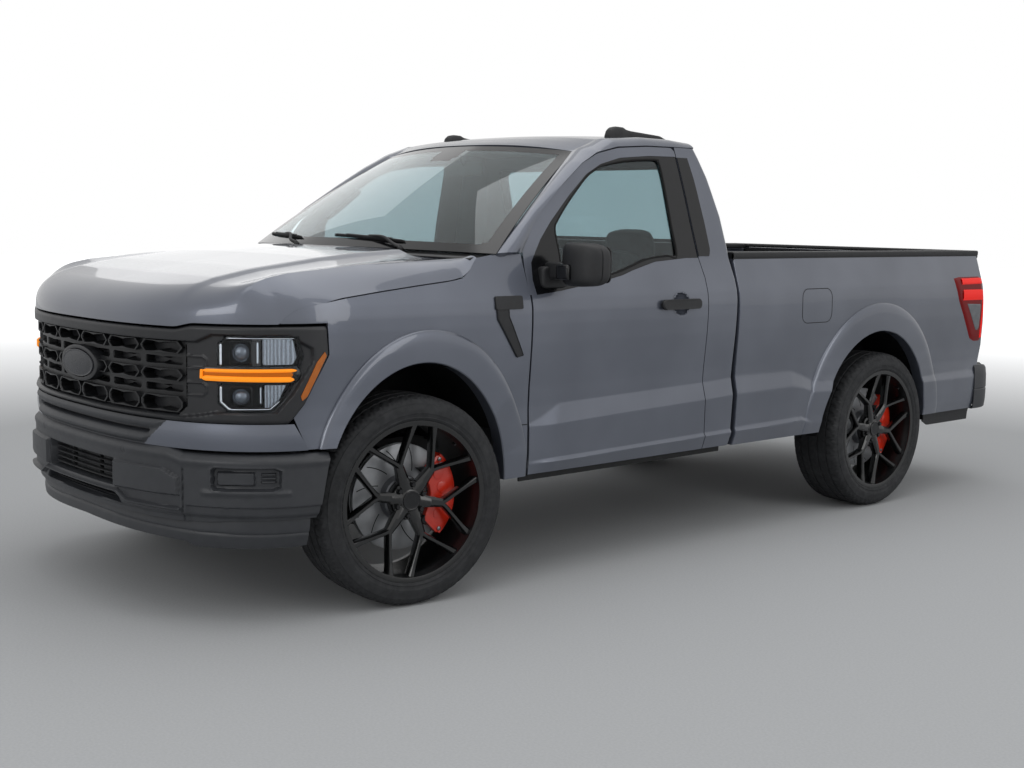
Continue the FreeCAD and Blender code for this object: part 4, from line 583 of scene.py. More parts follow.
def plan_share(y):
    """Share of the full width that is left as the nose draws in: a flattened ellipse."""
    reach = np.clip((NOSE_START - y) / NOSE_DEPTH, 0, 1)
    return (1 - reach ** NOSE_POWER) ** (1 / NOSE_POWER)


def nose_y(x, half=HALF_WIDTH):
    """Station of the nose curve at offset x, the same ellipse the other way round."""
    share = np.clip(np.abs(x) / half, 0, 1)
    return NOSE_TIP + NOSE_DEPTH * (1 - (1 - share ** NOSE_POWER) ** (1 / NOSE_POWER))


# Half width of the side at rising levels, smoothed over 3 centimetres
SECTION = np.array([(0.38, 0.921), (0.45, 0.930), (0.55, 0.938), (0.65, 0.938), (0.74, 0.936),
                    (0.82, 0.9385), (0.92, 0.9455), (1.00, 0.9505), (1.08, 0.9525),
                    (1.14, 0.9510), (1.185, 0.9455), (1.338, 0.8990), (1.45, 0.8700),
                    (1.55, 0.8440), (1.65, 0.8180), (1.75, 0.7900), (1.845, 0.7620),
                    (1.90, 0.7440)])
FINE_LEVELS = np.linspace(0.38, 1.90, 761)
FINE_WIDTHS = np.convolve(np.pad(np.interp(FINE_LEVELS, SECTION[:, 0], SECTION[:, 1]), 8,
                                 mode="reflect", reflect_type="odd"),
                          np.hanning(19)[1:-1] / np.hanning(19).sum(), mode="valid")
# Levels along the side of the slanted band's crest and foot, and of the ledge over the sill
CREST = np.array([(-3, 0.66), (-1.134, 0.662), (-1.10, 0.673), (-1.05, 0.690), (-0.95, 0.740),
                  (0.0, 0.766), (0.223, 0.778), (0.636, 0.775), (0.728, 0.748), (0.818, 0.714),
                  (0.948, 0.707), (1.80, 0.676), (2.6, 0.679)])
FOOT = np.array([(-3, 0.66), (-1.134, 0.657), (-1.03, 0.655), (-0.606, 0.670), (0.0, 0.688),
                 (0.223, 0.698), (0.636, 0.705), (0.728, 0.690), (0.818, 0.664),
                 (0.948, 0.658), (1.80, 0.642), (2.6, 0.646)])
LEDGE = np.array([(-1.13, 0.495), (0.002, 0.514), (0.216, 0.516), (0.726, 0.526),
                  (0.80, 0.504), (2.6, 0.500)])
SILL = 0.447


def flank(y, z):
    """Half width of the side skin.

    Above the crest it follows the section curve. Between crest and foot a slanted band runs
    out to the lower panel, which leans in to a narrow ledge and then falls away to the sill.
    """
    y, z = np.broadcast_arrays(np.asarray(y, float), np.asarray(z, float))
    crest = np.interp(y, CREST[:, 0], CREST[:, 1])
    foot = np.interp(y, FOOT[:, 0], FOOT[:, 1])
    ledge = np.interp(y, LEDGE[:, 0], LEDGE[:, 1])
    depth = np.clip((crest - foot) / 0.07, 0, 1)
    depth = np.where(y < -1.128, 0, depth)
    shelf = np.interp(y, [-1.14, -1.128, 0.74, 0.82], [0, 1, 1, 0])
    upper = np.interp(z, FINE_LEVELS, FINE_WIDTHS)
    above = ledge + 0.014
    lean = np.clip((z - above) / np.maximum(foot - above, 0.01), 0, 1)
    panel = lerp(0.9465, 0.9545, lean)
    step = np.clip((above - z) / 0.014, 0, 1) * 0.0085 * shelf
    fall = np.clip((ledge - z) / np.maximum(ledge - SILL, 0.01), 0, 1.4) * 0.024
    panel = np.where(z < above, 0.9465 + step - fall * lerp(0.66, 1.0, shelf), panel)
    lower = lerp(upper, panel, depth)
    at_crest = np.interp(crest, FINE_LEVELS, FINE_WIDTHS)
    at_foot = lerp(np.interp(foot, FINE_LEVELS, FINE_WIDTHS), 0.9545, depth)
    band = lerp(at_foot, at_crest, np.clip((z - foot) / np.maximum(crest - foot, 1e-4), 0, 1))
    half = np.where(z >= crest, upper, np.where(z >= foot, band, lower))
    return half * plan_share(y)


class Arch:
    """A wheel arch: an elliptic opening and the wider ellipse where its raised lip ends."""

    def __init__(self, centre, half_length, height, lip_centre, lip_half, lip_height,
                 fade_front, fade_rear, rise=0.023):
        """Both ellipses in metres, and the angles in degrees at which the lip fades out."""
        self.centre, self.half, self.height = centre, half_length, height
        self.lip = (lip_centre - centre, lip_half, lip_height)
        self.fade_front, self.fade_rear, self.rise = fade_front, fade_rear, rise

    def edge(self, angle):
        """Radius of the opening at an angle from the rear, over the top, to the front."""
        return 1 / np.hypot(np.cos(angle) / self.half, np.sin(angle) / self.height)

    def outer(self, angle):
        """Radius at which the raised lip meets the panel: a ray against an ellipse set aside."""
        shift, a, b = self.lip
        p, q = np.cos(angle) / a, np.sin(angle) / b
        k = shift / a
        return (p * k + np.sqrt(np.maximum((p * k) ** 2 - (p ** 2 + q ** 2) * (k ** 2 - 1), 0))
                ) / (p ** 2 + q ** 2)

    def raise_by(self, angle, share):
        """Height of the lip: nearly level, rounding off into the panel at its outer end."""
        share = np.clip(share, 0, 1)
        strength = np.interp(np.degrees(angle), [self.fade_rear - 22, self.fade_rear,
                                                 self.fade_front, self.fade_front + 18],
                             [0.25, 1, 1, 0.3 if self.fade_front < 160 else 1.0])
        return self.rise * strength * (1 - 0.22 * share) * np.sqrt(
            np.maximum(1 - share ** 8, 0))


FRONT_ARCH = Arch(FRONT_AXLE, 0.447, 0.545, -1.657, 0.535, 0.668, 175, 40)
REAR_ARCH = Arch(1.3765, 0.488, 0.538, 1.3765, 0.622, 0.684, 148, 40)


def ray_hit(outline, centre, angle):
    """Where rays from a centre leave a closed outline: the farthest crossing of each."""
    outline = np.asarray(outline, float) - centre
    ahead = np.stack([np.cos(angle), np.sin(angle)], 1)
    best = np.zeros(len(angle))
    for a, b in zip(outline, np.roll(outline, -1, axis=0)):
        side = b - a
        cross = ahead[:, 0] * side[1] - ahead[:, 1] * side[0]
        safe = np.where(np.abs(cross) < 1e-12, 1e-12, cross)
        reach = (a[0] * side[1] - a[1] * side[0]) / safe
        share = (a[0] * ahead[:, 1] - a[1] * ahead[:, 0]) / safe
        fits = (share > -1e-9) & (share < 1 + 1e-9) & (np.abs(cross) > 1e-12)
        best = np.where(fits & (reach > best), reach, best)
    return ahead * best[:, None] + centre


def angles_to(outline, centre, low, high, count):
    """Evenly spread angles, with those of the outline's corners put in."""
    outline = np.asarray(outline, float) - centre
    corners = np.mod(np.arctan2(outline[:, 1], outline[:, 0]) + 0.5 * math.pi,
                     2 * math.pi) - 0.5 * math.pi
    corners = corners[(corners > low + 1e-6) & (corners < high - 1e-6)]
    even = np.linspace(low, high, count)
    gap = (high - low) / count * 0.4
    even = even[[True] + [np.all(np.abs(a - corners) > gap) for a in even[1:-1]] + [True]]
    return np.sort(np.concatenate([even, corners]))


def arch_panel(arch, outline, low, high, count, rows_lip=20, rows=34, low_out=None,
               high_out=None):
    """The panel round an arch: rays from the axle, first across the lip, then to the outline.

    low_out and high_out turn the outer ends of the first and last rays away from the inner.
    """
    centre = np.array([arch.centre, HUB_LEVEL])
    low_out = low if low_out is None else low_out
    high_out = high if high_out is None else high_out
    outside = angles_to(outline, centre, low_out, high_out, count)
    inside = low + (outside - low_out) * (high - low) / (high_out - low_out)
    ahead = np.stack([np.cos(inside), np.sin(inside)], 1)
    foot = centre + ahead * arch.edge(inside)[:, None]
    rim = ray_hit(outline, centre, outside)
    room = np.linalg.norm(rim - foot, axis=1)
    share = np.minimum((arch.outer(inside) - arch.edge(inside)) / room, 0.985)
    brow = foot + (rim - foot) * share[:, None]
    shares = np.sin(np.linspace(0, math.pi / 2, rows_lip))
    inner = lerp(foot[None], brow[None], shares[:, None, None])
    swell = arch.raise_by(inside[None], shares[:, None])
    outer = lerp(brow[None], rim[None], np.linspace(0, 1, rows)[:, None, None])
    near = np.concatenate([inner, outer[1:]])
    half = flank(near[..., 0], near[..., 1])
    half[:rows_lip] += swell
    form = grid(np.stack([half, near[..., 0], near[..., 1]], 2))
    returned = np.stack([half[0][None] - np.array([0, 0.004, 0.03, 0.06])[:, None],
                         np.broadcast_to(foot[None, :, 0], (4, len(foot))),
                         np.broadcast_to(foot[None, :, 1], (4, len(foot)))], 2)
    returned[1:, :, 1:] -= (ahead * 0.004)[None]
    return facing(form, (1, 0, 0)), returned, rim


def curtain(stations, shares, bottom, top, proud=0.0):
    """A side panel hung between two lines: each station is cut at the same shares of height."""
    low, high = bottom(stations), top(stations)
    z = low[:, None] + (high - low)[:, None] * shares[None]
    y = np.broadcast_to(stations[:, None], z.shape)
    return facing(grid(np.stack([flank(y, z) + proud, y, z], 2)), (1, 0, 0))


def between(line_points):
    """A function that runs straight from point to point."""
    points = np.asarray(line_points, float)
    return lambda value: np.interp(value, points[:, 0], points[:, 1])


def on_skin(points, proud=0.0):
    """Side-view points laid on the side skin."""
    points = np.asarray(points, float)
    return np.stack([flank(points[..., 0], points[..., 1]) + proud,
                     points[..., 0], points[..., 1]], -1)


def seam_strip(path, width=0.004, proud=0.0006, smooth=True):
    """A dark joint drawn on the skin: a narrow ribbon along a side-view path."""
    path = spline(path, 90) if smooth else line(path, 90)
    side = across_path(path) * width / 2
    strip = grid(np.stack([on_skin(path - side, proud), on_skin(path + side, proud)]))
    return facing(strip, (1, 0, 0))


# Hood

# Levels of the hood at rising distance behind its nose: middle, edge line and joint
HOOD_CENTRE = np.array([(-2.64, 1.212), (-2.5, 1.243), (-2.35, 1.272), (-2.18, 1.302),
                        (-1.9, 1.342), (-1.7, 1.361), (-1.5, 1.373), (-1.3, 1.380)])
HOOD_EDGE = np.array([(-2.64, 1.186), (-2.475, 1.236), (-2.378, 1.266), (-2.214, 1.298),
                      (-1.917, 1.325), (-1.637, 1.338), (-1.383, 1.350), (-1.25, 1.352)])
HOOD_SEAM = np.array([(-2.36, 1.135), (-2.294, 1.152), (-2.227, 1.182), (-2.05, 1.212),
                      (-1.894, 1.230), (-1.70, 1.250), (-1.53, 1.266), (-1.47, 1.277),
                      (-1.43, 1.300), (-1.40, 1.332), (-1.383, 1.350)])
HOOD_FRONT = 1.1215


def fold(behind):
    """Share of the hood's full height reached at a distance behind its front edge."""
    share = np.clip(behind / 0.15, 0, 1)
    return (1 - (1 - share) ** 2.6) ** (1 / 2.6)


def hood_seam(y):
    """Level of the joint between hood and fender."""
    front = nose_y(0.903)
    return lerp(HOOD_FRONT, np.interp(y, HOOD_SEAM[:, 0], HOOD_SEAM[:, 1]),
                fold(np.maximum(y - front, 0) * 1.6))


def front_dip(x):
    """How far the middle of the hood's front edge hangs below its ends."""
    reach = np.clip((np.abs(x) - 0.60) / 0.09, 0, 1)
    return 0.016 * (1 - reach * reach * (3 - 2 * reach))


def hood_rear(x):
    """Station of the hood's rear edge at offset x: an arc that follows the windshield."""
    return -1.530 + x ** 2 / 5.3


def hood_form():
    """The hood: a domed middle with a soft crease, a valley, an edge line, and a sloped flank.

    Rows run from the nose curve back to the rear arc. Across, the share u runs to the edge
    line over the middle four fifths and down the flank over the rest.
    """
    u = np.concatenate([np.linspace(0, 0.8, 74), np.linspace(0.8, 1.0, 16)[1:]])
    v = np.concatenate([np.linspace(0, 0.18, 30) ** 1.35 / 0.18 ** 0.35,
                        np.linspace(0.18, 1, 74)[1:]])
    seam_x = np.full(len(v), 0.9)
    for _ in range(16):
        seam_y = lerp(nose_y(seam_x), hood_rear(seam_x), v)
        seam_x = (seam_x + flank(seam_y, hood_seam(seam_y)) - 0.001) / 2
    edge_x = np.full(len(v), 0.82)
    for _ in range(6):
        edge_y = lerp(nose_y(edge_x), hood_rear(edge_x), v)
        edge_x = np.interp(edge_y, [-2.6, -2.35, -1.38], [0.795, 0.812, 0.842])
        edge_x = np.minimum(edge_x, seam_x - 0.055)
    edge_x, seam_x = edge_x[:, None], seam_x[:, None]
    u, v = np.meshgrid(u, v)
    inner = np.clip(u / 0.8, 0, 1)
    outer = np.clip((u - 0.8) / 0.2, 0, 1)
    x = np.where(u <= 0.8, inner * edge_x, lerp(edge_x, seam_x, outer))
    y = lerp(nose_y(x), hood_rear(x), v)
    middle = np.interp(y, HOOD_CENTRE[:, 0], HOOD_CENTRE[:, 1])
    edge_z = np.interp(y, HOOD_EDGE[:, 0], HOOD_EDGE[:, 1])
    dome_x = np.interp(y, [-2.6, -1.5], [0.625, 0.545])
    slope = np.clip((x - dome_x + 0.035) / 0.05, 0, 1)
    slope = slope * slope * (3 - 2 * slope)
    front_calm = np.clip((y + 2.62) / 0.25, 0, 1)
    valley = np.sin(math.pi * np.clip((x - dome_x) / np.maximum(edge_x - dome_x, 0.05), 0, 1))
    top = lerp(middle, edge_z, inner ** 2.2) + 0.011 * (1 - slope) * front_calm \
        - 0.010 * valley * front_calm - 0.003 * (1 - inner)
    flank_z = lerp(edge_z, hood_seam(y), outer) + 0.012 * np.sin(math.pi * outer)
    z = np.where(u <= 0.8, top, flank_z)
    behind = v * (hood_rear(x) - nose_y(x))
    z = lerp(HOOD_FRONT - front_dip(x), z, fold(behind))
    return thick(weld(both(sheet_of(x, y, z, (0, 0, 1)))), 0.006)


# Fenders

def fender_forms():
    """Left fender: the panel round its arch, and the wedge that runs on over the lamp."""
    wedge = np.linspace(nose_y(0.903) + 0.001, -2.122, 26)
    seam = [(y, float(hood_seam(y)) - PANEL_GAP) for y in np.linspace(-2.122, -1.47, 16)]
    corner = [(-1.43, 1.3), (-1.40, 1.333), (-1.381, 1.351)]
    outline = [(-1.1285, SILL), (-1.1305, 0.72), (-1.1275, 1.15), (-1.1440, 1.3675),
               (-1.246, 1.3705)] + corner[::-1] + seam[::-1] + [
        (-2.122, 1.1235), (-2.114, 1.008), (-2.205, 0.834), (-2.243, 0.786), (-2.192, 0.6640)]
    low = math.atan2(SILL - HUB_LEVEL, 0.446)
    high = math.pi - math.atan2(0.2505, 0.3985)
    low_out = math.atan2(SILL - HUB_LEVEL, -FRONT_AXLE - 1.1285)
    high_out = math.pi - math.atan2(0.25, 2.192 + FRONT_AXLE)
    panel, lip, _ = arch_panel(FRONT_ARCH, outline, low, high, 190, low_out=low_out,
                               high_out=high_out)
    top = lambda y: hood_seam(y) - PANEL_GAP
    shares = np.linspace(0, 1, 16)
    tip = curtain(wedge, shares, lambda y: np.full_like(y, 1.1235), top)
    return thick(merge(panel, tip), 0.012), lip


def lip_form(returned):
    """The arch edge folded inwards: a strip that faces the tyre."""
    sheet = grid(returned)
    middle = returned[0].mean(0)
    look = normals(sheet)
    toward = np.array([0.0, middle[1], HUB_LEVEL]) - sheet[0] * [0, 1, 1]
    return sheet if np.einsum("ij,ij->", look, toward) > 0 else turned(sheet)


fender_body, fender_lip = fender_forms()
fender_lip = lip_form(fender_lip)
fender_low = seam_strip([(-1.252, 0.668), (-1.131, 0.6655)], smooth=False)
for side, turn in SIDES:
    bake(f"fender_{side}_panel", [(turn(fender_body), PAINT), (turn(fender_lip), PAINT),
                                  (turn(fender_low), SEAL)], "body",
         (f"fender_{side}",))
bake("hood_panel", [(hood_form(), PAINT)], "hood", ("hood",))


# Doors

# Stations of the door's two joints and of the cab's end at rising levels
DOOR_SEAM_FRONT = between([(0.43, -1.1170), (0.72, -1.1215), (1.15, -1.1185), (1.40, -1.1350)])
DOOR_SEAM_REAR = between([(0.43, -0.0180), (0.79, -0.0345), (1.11, -0.0255), (1.25, -0.0270),
                          (1.34, -0.0460), (1.45, -0.0560), (1.70, -0.0760), (1.845, -0.0880)])
CAB_REAR = between([(0.43, 0.1840), (0.77, 0.1860), (1.156, 0.2000), (1.24, 0.2010),
                    (1.325, 0.1870), (1.395, 0.1830), (1.532, 0.1690), (1.71, 0.1220),
                    (1.80, 0.0850), (1.858, 0.0560)])

# Side-view outlines (station, level) round the window: door edge, painted band, black
# surround and glass
WINDOW_CENTRE = np.array([-0.56, 1.52])
DOOR_EDGE = [(-1.1330, 1.199), (-1.1350, 1.30), (-1.1290, 1.372), (-1.062, 1.475),
             (-0.990, 1.546), (-0.841, 1.657), (-0.706, 1.747), (-0.598, 1.797),
             (-0.461, 1.827), (-0.270, 1.841), (-0.104, 1.843), (-0.0875, 1.826)]
PAINT_EDGE = [(-1.092, 1.199), (-1.101, 1.26), (-1.092, 1.330), (-1.020, 1.425),
              (-0.945, 1.500), (-0.815, 1.610), (-0.690, 1.704), (-0.588, 1.752),
              (-0.458, 1.784), (-0.268, 1.800), (-0.100, 1.803), (-0.0845, 1.802)]
BLACK_OUTER = PAINT_EDGE + [(-0.0760, 1.70), (-0.0560, 1.45), (-0.0460, 1.342),
                            (-0.130, 1.3415), (-0.344, 1.3265), (-0.500, 1.290),
                            (-0.569, 1.270), (-0.70, 1.247), (-0.95, 1.213)]
GLASS_EDGE = [(-0.187, 1.353), (-0.190, 1.50), (-0.195, 1.70), (-0.203, 1.770),
              (-0.225, 1.784), (-0.40, 1.774), (-0.560, 1.748), (-0.640, 1.718),
              (-0.707, 1.677), (-0.820, 1.583), (-0.905, 1.500), (-0.925, 1.465),
              (-0.922, 1.38), (-0.905, 1.240), (-0.75, 1.257), (-0.60, 1.282),
              (-0.508, 1.306), (-0.42, 1.331), (-0.348, 1.344), (-0.25, 1.351)]


def ring_between(outer, inner, centre, rows, place, count=170):
    """The band between two closed outlines, along rays from a centre that both go round."""
    both_ends = np.concatenate([np.asarray(outer, float), np.asarray(inner, float)])
    angle = angles_to(both_ends, centre, -0.5 * math.pi + 1e-4, 1.5 * math.pi + 1e-4, count)
    far, near = ray_hit(outer, centre, angle), ray_hit(inner, centre, angle)
    points = lerp(near[None], far[None], np.linspace(0, 1, rows)[:, None, None])
    return facing(grid(place(points)), (1, 0, 0))


def door_lower():
    """The door skin below the window: between its seams and up to the black surround."""
    shares = np.linspace(0, 1, 200)
    u = np.linspace(0, 1, 90)
    top = between([(-1.1330, 1.199), (-1.092, 1.199), (-0.95, 1.213), (-0.70, 1.247),
                   (-0.569, 1.270), (-0.500, 1.290), (-0.344, 1.3265), (-0.13, 1.3415),
                   (-0.045, 1.342)])
    guess = lerp(-1.12, -0.03, u)
    high = top(guess)
    z = 0.452 + (high - 0.452)[:, None] * shares[None]
    for _ in range(3):
        y = lerp(DOOR_SEAM_FRONT(z), DOOR_SEAM_REAR(z), u[:, None])
        high = top(y[:, -1])
        z = 0.452 + (high - 0.452)[:, None] * shares[None]
    return sheet_of(flank(y, z), y, z, (1, 0, 0))


def door_frame():
    """The painted band round the front and top of the window."""
    outer, inner = line(DOOR_EDGE, 90), line(PAINT_EDGE, 90)
    points = lerp(outer[None], inner[None], np.linspace(0, 1, 7)[:, None, None])
    return facing(grid(on_skin(points)), (1, 0, 0))


def window_glass():
    """The side glass: a grid of rings that shrink to its middle."""
    ring = spline(GLASS_EDGE, 120, closed=True)
    middle = np.array([-0.52, 1.53])
    shares = np.linspace(0, 1, 14)
    points = lerp(ring[None], middle, shares[:, None, None])
    sheet = facing(grid(on_skin(points, -0.012), loop=True), (1, 0, 0))
    return thick(sheet, 0.004)


def mirror_forms():
    """The door mirror: a soft-cornered housing on a two-part arm, its glass facing back."""
    points, faces = boxy(0.232, 0.125, 0.178, 5.0, 26)
    points = points.copy()
    outward = points[:, 0] / 0.116
    points[:, 2] *= 1 - 0.16 * np.clip(outward, 0, 1) ** 2
    points[:, 1] += 0.045 * outward ** 2 * (points[:, 1] < 0)
    head = (points + [1.079, -0.968, 1.326], faces)
    bezel = standing_plate(rounded(0.196, 0.146, 0.025), 0.006, (1.079, -0.9075, 1.326))
    glass = standing_plate(rounded(0.184, 0.134, 0.022), 0.003, (1.079, -0.9015, 1.326))
    arm = moved(boxy(0.115, 0.085, 0.070, 7.0, 16), shift=(0.962, -0.985, 1.298))
    arm_two = moved(boxy(0.075, 0.060, 0.064, 7.0, 14), shift=(1.035, -1.018, 1.296))
    foot = moved(boxy(0.050, 0.150, 0.090, 6.0, 14), shift=(0.918, -0.985, 1.270))
    return [(head, TRIM_BLACK), (bezel, TRIM_BLACK), (glass, MIRROR_GLASS), (arm, TRIM_BLACK),
            (arm_two, GLOSS_BLACK), (foot, TRIM_BLACK)]


def handle_forms():
    """The pull handle: a rounded bar that stands off the skin, over a dished cup."""
    centre = np.array([-0.222, 1.137])
    outline = rounded(0.262, 0.046, 0.020, 7)
    bow = lambda p: on_skin(p[:, :2] + centre) + np.stack(
        [p[:, 2] - 0.010 * (p[:, 0] / 0.131) ** 2, 0 * p[:, 0], 0 * p[:, 0]], 1)
    bar = slab(outline, 0.014, 0.034, bow, lip=0.006)
    posts = [slab(rounded(0.050, 0.034, 0.014) + [shift, 0], -0.004, 0.020, bow, lip=0.003)
             for shift in (-0.098, 0.098)]
    angle = full_turn(48)
    rings = []
    for share, deep in ((1.0, 0.0012), (0.93, 0.0008), (0.86, -0.004), (0.7, -0.012),
                        (0.35, -0.016), (0.02, -0.017)):
        flat = np.stack([np.cos(angle) * 0.062, np.sin(angle) * 0.060], 1) * share
        rings.append(on_skin(flat + centre + [0.012, 0.0], deep))
    cup = facing(grid(np.stack(rings), loop=True), (1, 0, 0))
    return bar, posts, cup


handle_bar, handle_posts, handle_cup = handle_forms()


def cut_hole(form, centre, radius_y, radius_z):
    """The faces of a panel whose middle lies in an ellipse are left out."""
    points, faces = form
    kept = []
    for f in faces:
        middle = points[f].mean(1)
        inside = ((middle[:, 1] - centre[0]) / radius_y) ** 2 \
            + ((middle[:, 2] - centre[1]) / radius_z) ** 2 < 1
        kept.append(f[~inside])
    return points, kept


def surround_forms():
    """Black window surround with the pillar cover, and the seal that holds the glass."""
    black = ring_between(BLACK_OUTER, GLASS_EDGE, WINDOW_CENTRE, 8,
                         lambda p: on_skin(p, -0.003))
    ring = spline(GLASS_EDGE, 160, closed=True)
    path = on_skin(ring, -0.006)
    return black, closed_tube(path, 0.0055)


def closed_tube(path, radius, around=8):
    """A round bead along a closed path."""
    ahead = np.roll(path, -1, axis=0) - np.roll(path, 1, axis=0)
    ahead /= np.linalg.norm(ahead, axis=1, keepdims=True)
    side = np.cross(ahead, [1.0, 0, 0.12])
    side /= np.linalg.norm(side, axis=1, keepdims=True)
    other = np.cross(side, ahead)
    turn = full_turn(around)
    ring = path[:, None] + radius * (np.cos(turn)[None, :, None] * side[:, None]
                                     + np.sin(turn)[None, :, None] * other[:, None])
    ring = np.concatenate([ring, ring[:1]])
    return facing_out(grid(ring, loop=True))


door_skin = thick(cut_hole(door_lower(), (-0.210, 1.137), 0.054, 0.052), 0.012)
door_top = thick(door_frame(), 0.030)
black_panel, glass_seal = surround_forms()
black_panel = thick(black_panel, 0.020)
door_glass_form = window_glass()


def door_inner():
    """Inside of the door: a moulded card with an arm rest and a map pocket."""
    u, v = np.meshgrid(np.linspace(0, 1, 40), np.linspace(0, 1, 60))
    y = lerp(-1.085, -0.075, u)
    z = lerp(0.50, 1.285, v)
    edge = np.minimum(np.minimum(u, 1 - u) / 0.06, np.minimum(v, 1 - v) / 0.05)
    swell = 0.045 * np.clip(edge, 0, 1) ** 0.5
    rest = np.exp(-((z - 0.98) / 0.05) ** 4) * np.clip((u - 0.22) / 0.1, 0, 1) \
        * np.clip((0.95 - u) / 0.1, 0, 1)
    pocket = np.exp(-((z - 0.66) / 0.09) ** 4) * np.clip((u - 0.1) / 0.1, 0, 1) \
        * np.clip((0.7 - u) / 0.1, 0, 1)
    x = flank(y, np.minimum(z, 1.19)) - 0.085 + 0.03 - swell - 0.055 * rest - 0.02 * pocket
    return thick(sheet_of(x, y, z, (-1, 0, 0)), 0.012)


door_card = door_inner()
for side, turn in SIDES:
    bake(f"door_{side}_skin", [(turn(door_skin), PAINT), (turn(door_top), PAINT),
                               (turn(door_card), CABIN)], f"{side}_door",
         (f"door_{side}",))
    bake(f"door_{side}_black_surround", [(turn(black_panel), GLOSS_BLACK),
                                         (turn(glass_seal), SEAL)],
         f"{side}_door")
    bake(f"door_{side}_glass", [(turn(door_glass_form), GLASS)], f"{side}_door",
         (f"door_glass_{side}",))
    trim = [(turn(handle_bar), TRIM_BLACK), (turn(handle_cup), PAINT)]
    trim += [(turn(post), TRIM_BLACK) for post in handle_posts]
    trim += [(turn(form), material) for form, material in mirror_forms()]
    bake(f"door_{side}_mirror_and_handle", trim, f"{side}_door",
         (f"door_trim_{side}",))


# Cab: rear quarter, pillars, roof, rear wall

def quarter_forms():
    """The painted strip of cab side behind the door, up to the cant rail."""
    z = np.concatenate([np.linspace(0.452, 1.338, 190), np.linspace(1.338, 1.846, 60)[1:]])
    u = np.linspace(0, 1, 22)
    y = lerp(DOOR_SEAM_REAR(z)[None] + PANEL_GAP, CAB_REAR(z)[None] - 0.022, u[:, None])
    face = np.stack([flank(y, np.broadcast_to(z, y.shape)), y,
                     np.broadcast_to(z, y.shape)], 2)
    turn = np.linspace(0, math.pi / 2, 7)[1:]
    last = face[-1]
    bend = np.stack([last + np.stack([-0.022 * (1 - np.cos(t)) * np.ones(len(z)),
                                      0.022 * np.sin(t) * np.ones(len(z)),
                                      np.zeros(len(z))], 1) for t in turn])
    return facing(grid(np.concatenate([face, bend])), (1, 0, 0))


# The windshield pillar and cant rail between two lines in space: along the door, and along
# glass and roof
PILLAR_LINE = [(0.899, -1.1400, 1.3700), (0.880, -1.0680, 1.4790), (0.861, -0.9960, 1.5510),
               (0.827, -0.8460, 1.6625), (0.797, -0.7090, 1.7525), (0.778, -0.6000, 1.8030),
               (0.768, -0.4620, 1.8335), (0.7625, -0.2700, 1.8465), (0.7615, -0.0850, 1.8485),
               (0.7600, 0.0560, 1.8500)]
SCREEN_LINE = [(0.896, -1.2860, 1.3680), (0.845, -1.1350, 1.4760), (0.796, -1.0050, 1.5660),
               (0.736, -0.8440, 1.6770), (0.690, -0.7240, 1.7560), (0.668, -0.6500, 1.8070),
               (0.684, -0.5200, 1.8640), (0.694, -0.2800, 1.8840), (0.694, -0.0850, 1.8830),
               (0.684, 0.0420, 1.8690)]


def pillar_form():
    """Windshield pillar and cant rail: a rounded band from the door opening to the roof."""
    outer, inner = line(PILLAR_LINE, 120), line(SCREEN_LINE, 120)
    steps = np.linspace(0, 1, 12)
    chord = inner - outer
    bulge = np.cross(np.gradient(outer, axis=0), chord)
    bulge /= np.linalg.norm(bulge, axis=1, keepdims=True)
    bulge *= np.sign(bulge[:, 2:3] + 0.3)
    height = 0.16 * np.linalg.norm(chord, axis=1)[None, :, None]
    points = lerp(outer[None], inner[None], steps[:, None, None]) \
        + bulge[None] * height * np.sin(math.pi * steps)[:, None, None] ** 0.8
    return facing(grid(points), (0.6, 0, 1))


def roof_form():
    """The roof skin from rail to rail, crowned across by a power of the distance out."""
    edge = line(SCREEN_LINE[5:], 60)
    across = np.linspace(-1, 1, 97)
    front_bow = np.interp(edge[:, 1], [-0.66, -0.45, 0.0, 0.05], [0.085, 0.0, 0.0, -0.012])
    x = edge[:, :1] * across[None]
    y = edge[:, 1:2] - front_bow[:, None] * (1 - across[None] ** 2)
    middle = np.interp(edge[:, 1] - front_bow, [-0.742, -0.70, -0.62, -0.5, -0.35, -0.15,
                                                -0.02, 0.05],
                       [1.842, 1.858, 1.878, 1.894, 1.902, 1.902, 1.895, 1.884])
    z = edge[:, 2:3] + (middle - edge[:, 2])[:, None] * (1 - np.abs(across[None]) ** 2.6)
    return sheet_of(x, y, z, (0, 0, 1))


def rear_wall():
    """Back of the cab with its window opening, gently bowed and rounded into the sides."""
    window = rounded(1.36, 0.37, 0.06) + [0, 1.588]
    outline = []
    for z in (0.455, 0.62, 1.0, 1.338, 1.55, 1.75, 1.846):
        outline.append((float(flank(0.15, z)) - 0.022, z))
    top = [(0.62, 1.862), (0.4, 1.868), (0.0, 1.872)]
    half = outline + top
    ring = half + [(-x, z) for x, z in half[::-1][1:]]

    def place(points):
        """Points (x, z) laid on the bowed wall, which leans in under the roof's edge."""
        x, z = points[..., 0], points[..., 1]
        y = CAB_REAR(z) - 0.004 * (np.abs(x) / 0.9) ** 6 + 0.006 * (1 - (x / 0.9) ** 2)
        roof = np.clip((z - 1.80) / 0.07, 0, 1)
        return np.stack([x, y - 0.02 * roof ** 2 * (np.abs(x) < 0.74), z], -1)

    angle = angles_to(np.concatenate([ring, window]), np.array([0, 1.588]),
                      -0.5 * math.pi + 1e-4, 1.5 * math.pi + 1e-4, 220)
    far = ray_hit(ring, np.array([0, 1.588]), angle)
    near = ray_hit(window, np.array([0, 1.588]), angle)
    points = lerp(near[None], far[None], np.linspace(0, 1, 26)[:, None, None])
    return facing(grid(place(points)), (0, 1, 0)), window, place


